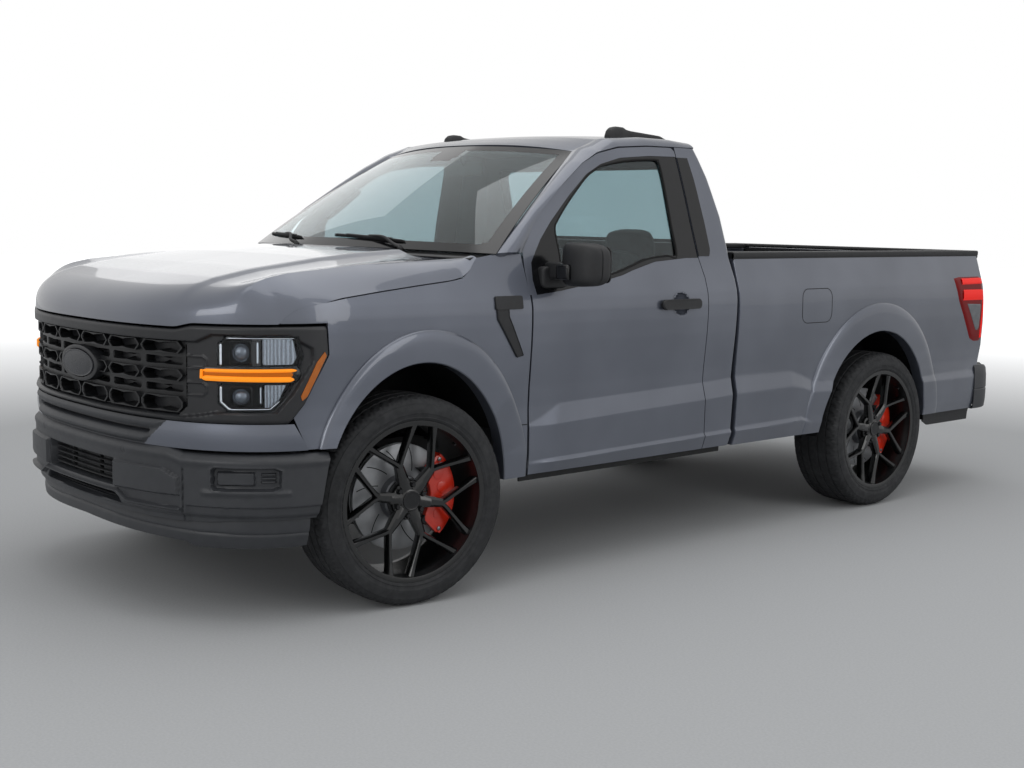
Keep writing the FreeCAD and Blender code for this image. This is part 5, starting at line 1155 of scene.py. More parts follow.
def screen_grid(columns, rows):
    """The windshield: bowed across on a long radius, bowed slightly along its rake."""
    u, v = np.meshgrid(np.linspace(-1, 1, columns), np.linspace(0, 1, rows))
    half = lerp(0.906, 0.680, v)
    x = u * half
    y = lerp(-1.288, -0.651, v) - (half ** 2 - x ** 2) / 5.2
    z = lerp(1.367, 1.806, v) + (1 - u ** 2) * lerp(0.010, 0.034, v)
    bow = 0.016 * 4 * v * (1 - v)
    return np.stack([x, y - bow * 0.6, z + bow * 0.8], 2)


def screen_forms():
    """Clear middle of the windshield and its black border, deeper at the foot and corners."""
    points = screen_grid(81, 61)
    rows, columns = points.shape[:2]
    whole = facing(grid(points), (0, -1, 1))
    v, u = np.meshgrid((np.arange(rows - 1) + 0.5) / (rows - 1),
                       (np.arange(columns - 1) + 0.5) / (columns - 1) * 2 - 1, indexing="ij")
    side = 0.93 - 0.03 * np.exp(-(v / 0.12) ** 2)
    corner = (np.abs(u) / side) ** 10 + (np.clip(0.11 - v, 0, 1) / 0.05) ** 2 * 0.4
    hub = ((u / 0.13) ** 4 + ((1 - v) / 0.17) ** 4) < 1
    border = (np.abs(u) > side) | (v < 0.075) | (v > 0.945) | (corner > 1.05) | hub
    border = border.ravel()
    outside = (whole[0], [whole[1][0][border]])
    clear = (whole[0], [whole[1][0][~border]])
    return weld(outside), weld(clear)


quarter = quarter_forms()
pillar = pillar_form()
roof = roof_form()
wall, back_window, wall_place = rear_wall()
cab_parts = [(thick(both(quarter), 0.02), PAINT),
             (thick(weld(merge(both(pillar), roof)), 0.03), PAINT),
             (thick(wall, 0.02), PAINT)]
frit, clear = screen_forms()
window_ring = np.concatenate([back_window, back_window[:1]])
back_rows = lerp(window_ring[None], np.array([0, 1.588]), np.linspace(0, 1, 12)[:, None, None])
back_points = wall_place(back_rows) - [0, 0.004, 0]
back_glass = facing(grid(back_points), (0, 1, 0))
back_inner = (back_glass[0], [back_glass[1][0][len(window_ring) - 1:]])
back_border = (back_glass[0], [back_glass[1][0][:len(window_ring) - 1]])
applique_rows = np.linspace(1.350, 1.800, 40)
front_line = DOOR_SEAM_REAR(applique_rows) + PANEL_GAP + 0.001
rear_line = between([(1.34, 0.020), (1.352, 0.034), (1.38, 0.044), (1.50, 0.036),
                     (1.70, 0.012), (1.80, -0.008)])(applique_rows)
applique_y = lerp(front_line[None], rear_line[None], np.linspace(0, 1, 8)[:, None])
applique = facing(grid(on_skin(np.stack([applique_y, np.broadcast_to(
    applique_rows, applique_y.shape)], 2), 0.003)), (1, 0, 0))
applique = thick(applique, 0.006)
bake("cab_skin", cab_parts + [(thick(both(applique), 0.002), GLOSS_BLACK)],
     "body", ("cab_shell",))
bake("windshield_glass", [(thick(clear, 0.004), GLASS), (thick(frit, 0.005), FRIT)],
     "body", ("windshield",))
bake("rear_window_glass", [(thick(back_inner, 0.004), GLASS),
                           (thick(back_border, 0.004), FRIT)], "body",
     ("rear_window",))


# Nose: pieces are drawn by offset x or path length u round the curve, and level z

def nose_table():
    """Path length, place and outward direction of the nose curve, and on along the side."""
    t = np.linspace(0, math.pi / 2, 1500)
    x = HALF_WIDTH * np.sin(t) ** (2 / NOSE_POWER)
    y = NOSE_START - NOSE_DEPTH * np.cos(t) ** (2 / NOSE_POWER)
    x, y = np.append(x, HALF_WIDTH), np.append(y, -1.8)
    path = np.concatenate([[0], np.cumsum(np.hypot(np.diff(x), np.diff(y)))])
    out_x, out_y = np.gradient(y, path), -np.gradient(x, path)
    size = np.hypot(out_x, out_y)
    return path, x, y, out_x / size, out_y / size


PATH, PATH_X, PATH_Y, OUT_X, OUT_Y = nose_table()


def by_x(x):
    """Path length at which the nose curve stands x from the centre line."""
    return np.sign(x) * np.interp(np.abs(x), PATH_X, PATH)


def by_y(y):
    """Path length at which the nose curve has run back to station y."""
    return np.interp(y, PATH_Y, PATH)


def front(u, z, proud=0.0):
    """The point at path length u and level z, set out from the nose curve by proud."""
    u, z, proud = np.broadcast_arrays(u, z, proud)
    side, along = np.sign(u) + (u == 0), np.abs(u)
    width = np.interp(z, [0.29, 0.40, 0.45], [0.960, 0.995, 1.0])
    x = np.interp(along, PATH, PATH_X) + proud * np.interp(along, PATH, OUT_X)
    y = np.interp(along, PATH, PATH_Y) + proud * np.interp(along, PATH, OUT_Y)
    return np.stack([side * x * width, y, z], -1)


def from_x(outline):
    """An outline given as (x, z) turned into (u, z)."""
    outline = np.asarray(outline, float)
    return np.stack([by_x(outline[:, 0]), outline[:, 1]], 1)


def depth_in(u, z, outline):
    """Distance from the edge of a closed outline, positive inside and negative outside."""
    p = np.stack(np.broadcast_arrays(u, z), -1)
    best = np.full(p.shape[:-1], 9.0)
    inside = np.zeros(p.shape[:-1], bool)
    for a, b in zip(outline, np.roll(outline, -1, axis=0)):
        run = b - a
        t = np.clip(((p - a) * run).sum(-1) / max((run ** 2).sum(), 1e-12), 0, 1)
        best = np.minimum(best, np.linalg.norm(p - a - t[..., None] * run, axis=-1))
        crosses = (a[1] > p[..., 1]) != (b[1] > p[..., 1])
        at = a[0] + run[0] * (p[..., 1] - a[1]) / (run[1] if abs(run[1]) > 1e-12 else 1e-12)
        inside ^= crosses & (p[..., 0] < at)
    return np.where(inside, best, -best)


def ramp(distance, width):
    """Zero outside, one beyond the width, with a soft start and end."""
    t = np.clip(distance / width, 0, 1)
    return t * t * (3 - 2 * t)


def relief(u_end, low, high, columns, rows, height, split=None):
    """Half of a nose panel as a grid of heights; split gives the faces of a second finish."""
    z_share, u_share = np.meshgrid(np.linspace(0, 1, rows), np.linspace(0, 1, columns))
    z = lerp(low(0.0), high(0.0), z_share)
    for _ in range(4):
        u = u_share * u_end(z)
        z = lerp(low(u), high(u), z_share)
    form = facing(grid(front(u, z, height(u, z))), (0.4, -1, 0))
    if split is None:
        return form
    middle = [(a[:-1, :-1] + a[1:, 1:]) / 2 for a in (u, z)]
    pick = split(*middle).ravel()
    return (form[0], [form[1][0][~pick]]), (form[0], [form[1][0][pick]])


# Grille surround: a raised border, a black panel set back in it, and two openings

BORDER_END = between([(0.76, -2.268), (0.786, -2.2475), (0.834, -2.2095), (1.008, -2.1185),
                      (1.1135, -2.1265)])

# Outlines (offset x, level) on the nose: set-back panel, mesh opening and lamp
PANEL = from_x([(-1.2, 1.060), (0.69, 1.058), (0.745, 1.086), (0.915, 1.086), (0.940, 1.035),
                (0.9405, 0.985), (0.9205, 0.865), (0.898, 0.800), (0.755, 0.797),
                (0.705, 0.786), (0.65, 0.777), (-1.2, 0.777)])
OPENING = from_x([(-1.2, 1.055), (0.640, 1.055), (0.652, 1.040), (0.652, 0.818),
                  (0.618, 0.786), (-1.2, 0.786)])
LAMP = from_x([(0.759, 1.048), (0.785, 1.079), (0.926, 1.079), (0.9325, 1.005), (0.926, 0.925),
               (0.908, 0.845), (0.890, 0.809), (0.786, 0.807), (0.759, 0.838)])


def border_top(u):
    """Level of the border's upper edge, which hangs with the hood's front edge."""
    return 1.1135 - front_dip(np.interp(np.abs(u), PATH, PATH_X))


def border_height(u, z):
    """Border proud, panel 16 mm back, grille and lamp openings deeper, edges rolled off."""
    back_off = 0.016 * ramp(depth_in(u, z, PANEL), 0.010)
    back_off += 0.050 * ramp(depth_in(u, z, OPENING), 0.008)
    back_off += 0.045 * ramp(depth_in(u, z, LAMP), 0.008)
    roll = 0.010 * np.clip(1 - (border_top(u) - z) / 0.012, 0, 1) ** 2
    roll += 0.012 * np.clip(1 - (z - 0.762) / 0.016, 0, 1) ** 2
    roll += 0.006 * np.clip(1 - (by_y(BORDER_END(z)) - u) / 0.010, 0, 1) ** 2
    blank = np.zeros_like(u)
    for level in (0.980, 0.8845):
        cell = from_x([(0.640, level + 0.024), (0.712, level + 0.024), (0.726, level + 0.010),
                       (0.726, level - 0.010), (0.712, level - 0.024),
                       (0.640, level - 0.024)])
        reach = depth_in(u, z, cell)
        blank += 0.006 * ramp(reach - 0.004, 0.004) - 0.004 * ramp(reach + 0.004, 0.004)
    return 0.004 - back_off - roll - blank


border = relief(lambda z: by_y(BORDER_END(z)), lambda u: 0 * u + 0.762,
                border_top, 330, 92, border_height)
bake("grille_surround_border", [(thick(both(border), 0.010), FRAME_SATIN)], "body",
     ("grille_surround",))


def grille_cell(x_low, x_high, z_low, z_high, ringed):
    """One grille cell: web face, a raised ring with slanted ends, and walls running back."""
    middle = np.array([by_x((x_low + x_high) / 2), (z_low + z_high) / 2])
    edge = from_x([(x_low, z_low), (x_high, z_low), (x_high, z_high), (x_low, z_high)])
    inset, cut = (0.004, 0.020) if ringed else (0.010, 0.007)
    left, right = edge[0, 0] + inset, edge[1, 0] - inset
    low, high = z_low + inset * 0.9, z_high - inset * 0.9
    hexagon = np.array([(left + cut, low), (right - cut, low), (right, low + cut),
                        (right, high - cut), (right - cut, high), (left + cut, high),
                        (left, high - cut), (left, low + cut)])
    angle = angles_to(np.concatenate([edge, hexagon]), middle, -0.5 * math.pi + 1e-4,
                      1.5 * math.pi + 1e-4, 44)
    web, ring = ray_hit(edge, middle, angle), ray_hit(hexagon, middle, angle)
    inward = (middle - ring) / np.linalg.norm(middle - ring, axis=1, keepdims=True)
    top = -0.009 if ringed else -0.026
    steps = [(web, -0.026), (ring, -0.026), (ring + inward * 0.001, top),
             (ring + inward * (0.0085 if ringed else 0.003), top),
             (ring + inward * (0.0105 if ringed else 0.005), top - 0.005),
             (ring + inward * 0.0125, -0.060)]
    points = np.stack([front(flat[:, 0], flat[:, 1], deep) for flat, deep in steps])
    web = facing(grid(points[:2]), (0.3, -1, 0))
    ring = facing(grid(points[1:5]), (0.3, -1, 0))
    return web, ring, grid(points[4:])


# The grille's cells: offsets of the columns, and each row's two levels and whether it is ringed
COLUMNS = (0.0, 0.222, 0.432, 0.640)
ROWS = ((1.055, 1.003, True), (1.003, 0.954, False), (0.954, 0.902, True),
        (0.902, 0.856, False), (0.856, 0.790, True))
cells, rings, walls = [], [], []
for x_low, x_high in zip(COLUMNS[:-1], COLUMNS[1:]):
    for z_high, z_low, ringed in ROWS:
        form, ring, wall = grille_cell(x_low, x_high, z_low, z_high, ringed)
        cells.append(form)
        rings.append(ring)
        walls.append(wall)
web = both(merge(*cells))
wall = both(merge(*walls))
# A dark sheet behind the cells: painted shade that closes the view into the grille
backing = facing(grid(front(np.linspace(-0.66, 0.66, 60)[None], np.linspace(0.78, 1.06, 8)
                            [:, None], -0.062)), (0, -1, 0))
bake("grille_mesh_cells", [(web, MESH_BLACK), (both(merge(*rings)), RING_BLACK),
                           (wall, MESH_BLACK), (turned(wall), MESH_BLACK),
                           (thick(backing, 0.004), DARK_AND_SHADE)], "body",
     ("grille_mesh",))


def oval(width, height, steps):
    """Rings of an oval from its rim to its middle: (share, proud) pairs."""
    turn = full_turn(72)
    rings = [front(np.cos(turn) * width / 2 * share, 0.926 + np.sin(turn) * height / 2 * share,
                   proud) for share, proud in steps]
    return facing(grid(np.stack(rings), loop=True), (0, -1, 0))


bezel = oval(0.318, 0.140, [(1.0, -0.045), (1.0, -0.004), (0.985, 0.001), (0.92, 0.003),
                            (0.80, 0.002)])
face = oval(0.268, 0.104, [(1.0, 0.000), (1.0, 0.006), (0.97, 0.0075), (0.93, 0.0065),
                           (0.86, 0.007), (0.5, 0.009), (0.02, 0.010), (0.0, 0.010)])
bake("grille_blank_oval", [(bezel, FRAME_SATIN), (face, BADGE_BLANK)], "body")


# Lamps: cover, light bars, lens modules and reflectors, drawn on the left and mirrored

def lamp_sheet(outline, proud, depth, rows=10, count=80):
    """A closed outline on the nose filled by shrinking rings, with a wall behind."""
    ring = line(np.concatenate([outline, outline[:1]]), count)[:-1]
    middle = ring.mean(0)
    points = lerp(ring[None], middle, np.linspace(0, 1, rows)[:, None, None])
    form = facing(grid(front(points[..., 0], points[..., 1], proud), loop=True), (0.4, -1, 0))
    return thick(form, depth)


def bar_on_nose(path, width, proud, depth, count=60):
    """A flat-backed bar with a rounded face along a path of (x, z) points."""
    path = line(from_x(path), count)
    side = across_path(path)
    turn = full_turn(16)
    taper = np.sqrt(np.clip(np.minimum(np.arange(count), np.arange(count)[::-1]) + 0.15, 0, 3)
                    / 3)
    flat = path[:, None] + side[:, None] * (np.cos(turn)[None, :, None] * width / 2
                                            * taper[:, None, None])
    high = proud + np.sin(turn)[None] * depth / 2 * taper[:, None]
    return facing_out(closed(front(flat[..., 0], flat[..., 1], high)))


def lens_module(x, z, width, height):
    """A projector: a dark stepped bezel, a bright ring and a bulging glass lens."""
    centre = np.array([float(by_x(x)), z])
    bezel = rounded(width, height, 0.012)
    steps = [(1.0, -0.046), (1.0, -0.016), (0.93, -0.014), (0.84, -0.030), (0.80, -0.034)]
    points = np.stack([front(centre[0] + bezel[:, 0] * share, centre[1] + bezel[:, 1] * share,
                             proud) for share, proud in steps])
    box = facing(grid(points, loop=True), (0.5, -1, 0))
    turn = full_turn(40)
    round_steps = [(0.78, -0.034), (0.74, -0.026), (0.70, -0.030)]
    size = np.array([width, height]) / 2

    def rings(steps):
        """Ovals about the lens's middle, each at its share of the size and its set-back."""
        return facing(grid(np.stack([front(centre[0] + np.cos(turn) * size[0] * share,
                                           centre[1] + np.sin(turn) * size[1] * share, proud)
                                     for share, proud in steps]), loop=True), (0.5, -1, 0))

    lens = rings([(0.70, -0.031), (0.60, -0.022), (0.42, -0.015), (0.2, -0.011),
                  (0.01, -0.010)])
    return [(box, GLOSS_BLACK), (rings(round_steps), CHROME), (lens, LENS_DARK)]


def reflector(outline, proud):
    """A bright faceted bowl behind the cover."""
    return lamp_sheet(from_x(outline), proud, 0.002, 7, 40)


BOWL = bowl_finish()
LENS_DARK = metal_finish("projector_lens", "#6c727b", "#7d848e", 0.05, 30.0, 0.55, 0.0, 1.0)
lamp_parts = [(lamp_sheet(LAMP, -0.038, 0.003), DARK_AND_SHADE)]
for level, height in ((1.018, 0.088), (0.860, 0.076)):
    lamp_parts += lens_module(0.822, level, 0.086, height)
lamp_parts += [
    (reflector([(0.872, 1.068), (0.921, 1.068), (0.926, 1.0), (0.921, 0.975), (0.872, 0.975)],
               -0.026), BOWL),
    (reflector([(0.876, 0.902), (0.912, 0.902), (0.899, 0.838), (0.885, 0.820),
                (0.876, 0.820)], -0.026), BOWL),
    (reflector([(0.850, 1.070), (0.868, 1.070), (0.868, 0.972), (0.850, 0.972)], -0.020),
     GLOSS_BLACK),
    (bar_on_nose([(0.770, 1.052), (0.770, 0.972)], 0.012, -0.010, 0.008), CHROME),
    (bar_on_nose([(0.770, 0.900), (0.770, 0.842), (0.792, 0.817), (0.80, 0.815)], 0.011,
                 -0.010, 0.008), CHROME),
    (bar_on_nose([(0.785, 1.071), (0.922, 1.071)], 0.006, -0.010, 0.006), CHROME),
    (bar_on_nose([(0.862, 1.060), (0.862, 0.978)], 0.010, -0.016, 0.012), CHROME),
    (bar_on_nose([(0.868, 0.898), (0.868, 0.836)], 0.008, -0.016, 0.012), CHROME),
    (bar_on_nose([(0.795, 0.815), (0.886, 0.817), (0.902, 0.846)], 0.006, -0.010, 0.006),
     CHROME)]
bars = [(bar_on_nose([(0.716, 0.9545), (0.924, 0.9565)], 0.0125, 0.001, 0.012), AMBER),
        (bar_on_nose([(0.7125, 0.958), (0.711, 0.924)], 0.010, 0.001, 0.013), AMBER),
        (bar_on_nose([(0.712, 0.9270), (0.921, 0.9240)], 0.0190, 0.001, 0.013), AMBER),
        (bar_on_nose([(0.708, 0.9405), (0.920, 0.9405)], 0.030, -0.006, 0.010), AMBER_DEEP),
        (bar_on_nose([(0.700, 0.9405), (0.930, 0.9405)], 0.058, -0.012, 0.012), GLOSS_BLACK)]
marker = lamp_sheet(np.array([(by_y(-2.137), 1.020), (by_y(-2.130), 1.006),
                              (by_y(-2.203), 0.862), (by_y(-2.221), 0.846),
                              (by_y(-2.226), 0.862), (by_y(-2.166), 0.985)]), 0.0075, 0.012)
lamp_parts += bars + [(marker, AMBER_DULL)]
bake("headlamp_modules", [(f, m) for form, m in lamp_parts for f in (form, mirrored(form))],
     "body", ("headlamps",))
cover = lamp_sheet(LAMP, -0.006, 0.0025)
bake("headlamp_covers", [(both(cover), LAMP_GLASS)], "body")


# Valance: satin shelves in the middle, painted beyond, down to the bumper

def valance_height(u, z):
    """Two rounded shelves with a dark slot between in the middle; smooth and set back beside."""
    middle = 1 - ramp(u - by_x(0.545) + (0.762 - z) * 1.2, 0.03)
    shelf = 0.010 * np.sin(math.pi * np.clip((z - 0.728) / 0.036, 0, 1)) \
        + 0.014 * np.sin(math.pi * np.clip((z - 0.668) / 0.038, 0, 1))
    slot = 0.030 * np.exp(-((z - 0.717) / 0.006) ** 4) * (1 - ramp(u - by_x(0.46), 0.03))
    bow = 0.006 * np.sin(math.pi * np.clip((z - 0.66) / 0.10, 0, 1)) * (1 - middle)
    return middle * (shelf - slot) + bow - 0.004


valance_end = between([(0.660, -2.196), (0.664, -2.196), (0.762, -2.2475)])
valance_satin, valance_paint = relief(
    lambda z: by_y(valance_end(z)), lambda u: 0 * u + 0.664, lambda u: 0 * u + 0.7615, 240, 26,
    valance_height, lambda u, z: u > by_x(0.570) - (0.762 - z) * 1.2)
bake("valance_panel", [(thick(both(valance_paint), 0.006), PAINT),
                       (thick(both(valance_satin), 0.006), SATIN)], "body",
     ("valance",))


# Bumper: one panel whose heights carry blocks, mouths, ridges and the lamp recess

# Outlines (offset x, level) on the bumper's face
BLOCK = from_x([(0.292, 0.590), (0.560, 0.592), (0.628, 0.562), (0.632, 0.492),
                (0.292, 0.486)])
MOUTH = from_x([(-0.3, 0.592), (0.283, 0.592), (0.283, 0.484), (-0.3, 0.484)])
LOWER_MOUTH = from_x([(-0.35, 0.463), (0.300, 0.463), (0.335, 0.424), (-0.35, 0.418)])
FOG = from_x([(0.752, 0.606), (0.892, 0.606), (0.904, 0.594), (0.903, 0.532), (0.890, 0.521),
              (0.752, 0.521), (0.742, 0.532), (0.742, 0.596)])
FOG_PLATE = from_x([(0.760, 0.590), (0.852, 0.590), (0.856, 0.586), (0.856, 0.542),
                    (0.852, 0.538), (0.760, 0.538), (0.756, 0.542), (0.756, 0.586)])
BUMPER_TOP = between([(0.0, 0.667), (0.585, 0.667), (0.650, 0.650), (1.6, 0.650)])
RIDGE = from_x([(-0.4, 0.478), (0.318, 0.478), (0.372, 0.452), (0.640, 0.450), (0.640, 0.438),
                (0.360, 0.440), (0.306, 0.466), (-0.4, 0.466)])


def bumper_height(u, z):
    """The sum of every raised and sunk form on the bumper's face."""
    top = BUMPER_TOP(u)
    high = 0.010 - 0.020 * np.clip(1 - (top - z) / 0.022, 0, 1) ** 1.6
    high += 0.004 * np.exp(-((top - z - 0.030) / 0.012) ** 2)
    high += 0.015 * ramp(depth_in(u, z, BLOCK), 0.007) - 0.065 * ramp(
        depth_in(u, z, MOUTH), 0.008)
    high -= 0.055 * ramp(depth_in(u, z, LOWER_MOUTH), 0.008)
    high += 0.017 * ramp(depth_in(u, z, RIDGE) + 0.002, 0.006)
    fog = depth_in(u, z, FOG)
    high += -0.022 * ramp(fog, 0.006) + 0.003 * np.exp(-(fog / 0.006) ** 2) \
        + 0.012 * ramp(depth_in(u, z, FOG_PLATE), 0.005)
    rib = (np.cos((z - 0.567) / 0.0135 * 2 * math.pi) * 0.5 + 0.5) ** 2
    high += 0.012 * rib * ramp(u - by_x(0.868), 0.004) * ramp(by_x(0.896) - u, 0.004) \
        * ramp(0.590 - z, 0.004) * ramp(z - 0.544, 0.004)
    shelf = ramp(u - by_x(0.700), 0.03) * (1 - ramp(u - by_x(0.912), 0.02))
    high += 0.006 * shelf * np.exp(-((z - 0.512) / 0.009) ** 2)
    high -= 0.007 * np.exp(-((u - by_x(0.642)) / 0.003) ** 2) * ramp(0.60 - z, 0.01)
    high -= 0.010 * ramp(0.462 - z, 0.006) * ramp(u - by_x(0.648), 0.02)
    high -= 0.014 * ramp(0.432 - z, 0.02)
    eye = (u - by_x(0.352)) ** 2 + (z - 0.632) ** 2
    return high - 0.0015 * np.exp(-((np.sqrt(eye) - 0.011) / 0.0022) ** 2)


bumper_end = between([(0.395, -2.166), (0.410, -2.159), (0.647, -2.115), (0.67, -2.113)])
bumper_half = relief(lambda z: by_y(bumper_end(z)), lambda u: 0.398 + 0.012 * ramp(
    u - 0.70, 0.2), BUMPER_TOP, 330, 72, bumper_height)
slats = [bar_on_nose([(-0.278, level), (0.278, level)], 0.007, -0.020, 0.026, 50)
         for level in (0.504, 0.525, 0.546, 0.567)]
slats += [bar_on_nose([(place, 0.486), (place, 0.590)], 0.005, -0.030, 0.020, 12)
          for place in (-0.12, 0.12)]
slats += [bar_on_nose([(-0.30, 0.441), (0.30, 0.441)], 0.006, -0.026, 0.020, 50)]
top_shelf_u = np.linspace(0, by_y(-2.113), 200)
top_shelf = facing(grid(front(top_shelf_u[None], BUMPER_TOP(top_shelf_u)[None]
                              + np.array([0, 0.002, 0.002])[:, None],
                              np.array([-0.0098, -0.018, -0.055])[:, None])), (0, 0, 1))
bake("front_bumper_panel", [(thick(both(bumper_half), 0.006), SATIN),
                            (thick(both(top_shelf), 0.004), SATIN)]
     + [(slat, TRIM_BLACK) for slat in slats], "body", ("front_bumper",))


# Chin: the air dam under the bumper

chin_bottom = between([(0.0, 0.332), (0.52, 0.322), (0.66, 0.318), (0.70, 0.300),
                       (1.10, 0.299), (1.20, 0.306), (1.30, 0.318)])


def chin_height(u, z):
    """Set back under the bumper, swelling slightly, with one crease along its middle."""
    return -0.026 + 0.010 * np.sin(math.pi * np.clip((0.405 - z) / 0.13, 0, 1)) \
        - 0.004 * np.exp(-((z - 0.372 + 0.02 * np.clip(u, 0, 1)) / 0.004) ** 2)


chin_half = relief(lambda z: by_y(-2.178 + 0 * z), chin_bottom, lambda u: 0 * u + 0.428, 160,
                   30, chin_height)
bake("chin_spoiler_panel", [(thick(both(chin_half), 0.010), SATIN)], "body",
     ("chin_spoiler",))


# Behind the nose: a dark sheet of painted shade that closes the joints, and the radiator carrier

back_u, back_z = np.meshgrid(np.linspace(-1.10, 1.10, 120), np.linspace(0.625, 0.792, 12),
                             indexing="ij")
nose_backing = facing(grid(front(back_u, back_z, -0.048 - 0.004 * np.cos(back_u * 9))),
                      (0, -1, 0))
bake("nose_painted_shade_sheet", [(thick(nose_backing, 0.004), DARK_AND_SHADE)], "body")


def carrier_bar(low, high, near, far, start, end, count=60):
    """A boxed bar that follows the nose curve between two path lengths."""
    u = np.linspace(start, end, count)
    section = [(near, low), (near, high), (far, high), (far, low)]
    return facing_out(closed(np.stack([front(u, z, proud) for proud, z in section], 1)))


carrier = [carrier_bar(1.125, 1.172, -0.095, -0.165, -0.86, 0.86),
           carrier_bar(0.785, 0.830, -0.080, -0.150, -0.86, 0.86)]
carrier += [carrier_bar(0.829, 1.126, -0.085, -0.140, place - 0.022, place + 0.022, 6)
            for place in (-0.80, -0.36, 0.0, 0.36, 0.80)]
carrier += [mirrored(carrier_bar(0.905, 0.985, -0.150, -0.160, -0.66, -0.40, 20)),
            carrier_bar(0.905, 0.985, -0.150, -0.160, -0.66, -0.40, 20)]
bake("radiator_carrier_bars", [(bar, DARK_AND_SHADE) for bar in carrier], "body",
     ("front_carrier",))


# Load bed: side skins with the rear arch, caps, lamps, tailgate and bumper

# The bed side is drawn as straight strips ahead of this station and as rays behind it
BED_SPLIT = 0.66
BED_OUTLINE = [(2.376, 0.457), (2.405, 0.70), (2.4325, 0.82), (2.4280, 0.95), (2.4120, 1.10),
               (2.4000, 1.20), (2.3960, 1.3365), (BED_SPLIT, 1.3345), (BED_SPLIT, 0.447)]


def bed_side_forms():
    """Left bed side: a curtain ahead of the arch, then the panel of rays round the arch."""
    rear_low = math.atan2(0.042, 0.4865)
    panel, lip, rim = arch_panel(
        REAR_ARCH, BED_OUTLINE, rear_low, math.pi - 0.0677, 250, rows=40,
        low_out=math.atan2(0.043, 0.9995), high_out=math.pi - math.atan2(
            0.033, REAR_ARCH.centre - BED_SPLIT))
    on_split = np.abs(rim[:, 0] - BED_SPLIT) < 1e-6
    levels = np.sort(rim[on_split, 1])
    y = np.concatenate([np.linspace(BED_FRONT + 0.004, 0.30, 14),
                        np.linspace(0.30, BED_SPLIT, 26)[1:]])
    y, z = np.meshgrid(y, levels, indexing="ij")
    z = 0.447 + (z - 0.447) * (lerp(1.3335, 1.3345, (y - 0.2) / 0.46) - 0.447) / 0.8875
    front_part = np.stack([flank(y, z), y, z], 2)
    inner_edge = front_part[0] * [0, 1, 1] + [0.80, -0.004, 0]
    bend = np.linspace(0, math.pi / 2, 6)
    edge = front_part[0]
    fold_in = np.stack([edge + np.stack([-0.022 * (1 - np.cos(a)) * np.ones(len(edge)),
                                         -0.004 * np.sin(a) * np.ones(len(edge)),
                                         0 * edge[:, 0]], 1) for a in bend[::-1]])
    curtain_form = facing(grid(np.concatenate([inner_edge[None], fold_in[:-1],
                                               front_part])), (1, 0, 0))
    return thick(merge(panel, curtain_form), 0.012), lip


bed_side, bed_lip = bed_side_forms()
bed_lip = lip_form(bed_lip)
fuel_ring = rounded(0.246, 0.170, 0.044, 8) + [0.8150, 1.0985]
fuel_ring = np.concatenate([fuel_ring, fuel_ring[:1]])
fuel_groove = seam_strip(fuel_ring, 0.0035, smooth=False)
top_y = np.linspace(BED_FRONT + 0.002, 2.396, 40)
top_return = facing(grid(np.stack([np.stack([x + 0 * top_y, top_y, 1.3345 + 0 * top_y], 1)
                                   for x in (0.8985, 0.84, 0.775)])), (0, 0, 1))
REAR_EDGE = between([(0.457, 2.376), (0.70, 2.405), (0.82, 2.4325), (0.95, 2.428),
                     (1.10, 2.412), (1.20, 2.400), (1.3365, 2.396)])


def bed_corner():
    """The rear pillar of the bed: the side skin folded round to the tailgate opening."""
    z = np.linspace(0.70, 1.335, 80)
    y = REAR_EDGE(z)
    outer = flank(y, z)
    rings = []
    for angle in np.linspace(0, math.pi / 2, 8):
        rings.append(np.stack([outer - 0.030 * (1 - math.cos(angle)),
                               y + 0.012 * math.sin(angle), z], 1))
    for x in (0.86, 0.808, 0.806):
        rings.append(np.stack([np.full_like(z, x), y + (0.012 if x > 0.807 else -0.05), z], 1))
    return thick(facing(grid(np.stack(rings)), (0.5, 1, 0)), 0.004)


corner_form = bed_corner()
rear_apron = curtain(np.linspace(1.90, 2.372, 40), np.linspace(0, 1, 10),
                     lambda y: 0.388 + 0.04 * np.clip((1.95 - y) / 0.08, 0, 1),
                     lambda y: 0.475 + 0 * y, -0.014)
for side, turn in SIDES:
    bake(f"bed_side_{side}_skin",
         [(turn(bed_side), PAINT), (turn(bed_lip), PAINT), (turn(fuel_groove), SEAL),
          (turn(thick(top_return, 0.003)), PAINT), (turn(corner_form), PAINT),
          (turn(thick(rear_apron, 0.006)), TRIM_BLACK)], "body",
         (f"bed_side_{side}",))


def rail_cap(path, half_wide, low, high):
    """A rail cap: a flat-topped section with soft edges, carried along the rail."""
    path = np.asarray(path, float)
    section = rounded(half_wide * 2, high - low, 0.009, 5) + [0, (low + high) / 2]
    side = -across_path(path)
    ring = np.stack([np.stack([path[:, 0] + side[:, 0] * s, path[:, 1] + side[:, 1] * s,
                               np.full(len(path), h)], 1) for s, h in section], 1)
    return facing_out(closed(ring))


caps = []
for sign in (1, -1):
    caps.append(rail_cap(np.stack([np.full(60, sign * 0.838),
                                   np.linspace(0.2065, 2.412, 60)], 1), 0.064, 1.3355, 1.3665))
    caps.append(rail_cap(np.stack([np.full(60, sign * 0.894),
                                   np.linspace(0.2065, 2.412, 60)], 1), 0.006, 1.322, 1.3600))
caps.append(rail_cap(np.stack([np.linspace(-0.79, 0.79, 30), np.full(30, 0.236)], 1), 0.029,
                     1.3330, 1.3660))
bake("bed_rail_caps_moulded", [(cap, TRIM_BLACK) for cap in caps], "body",
     ("bed_rail_caps",))


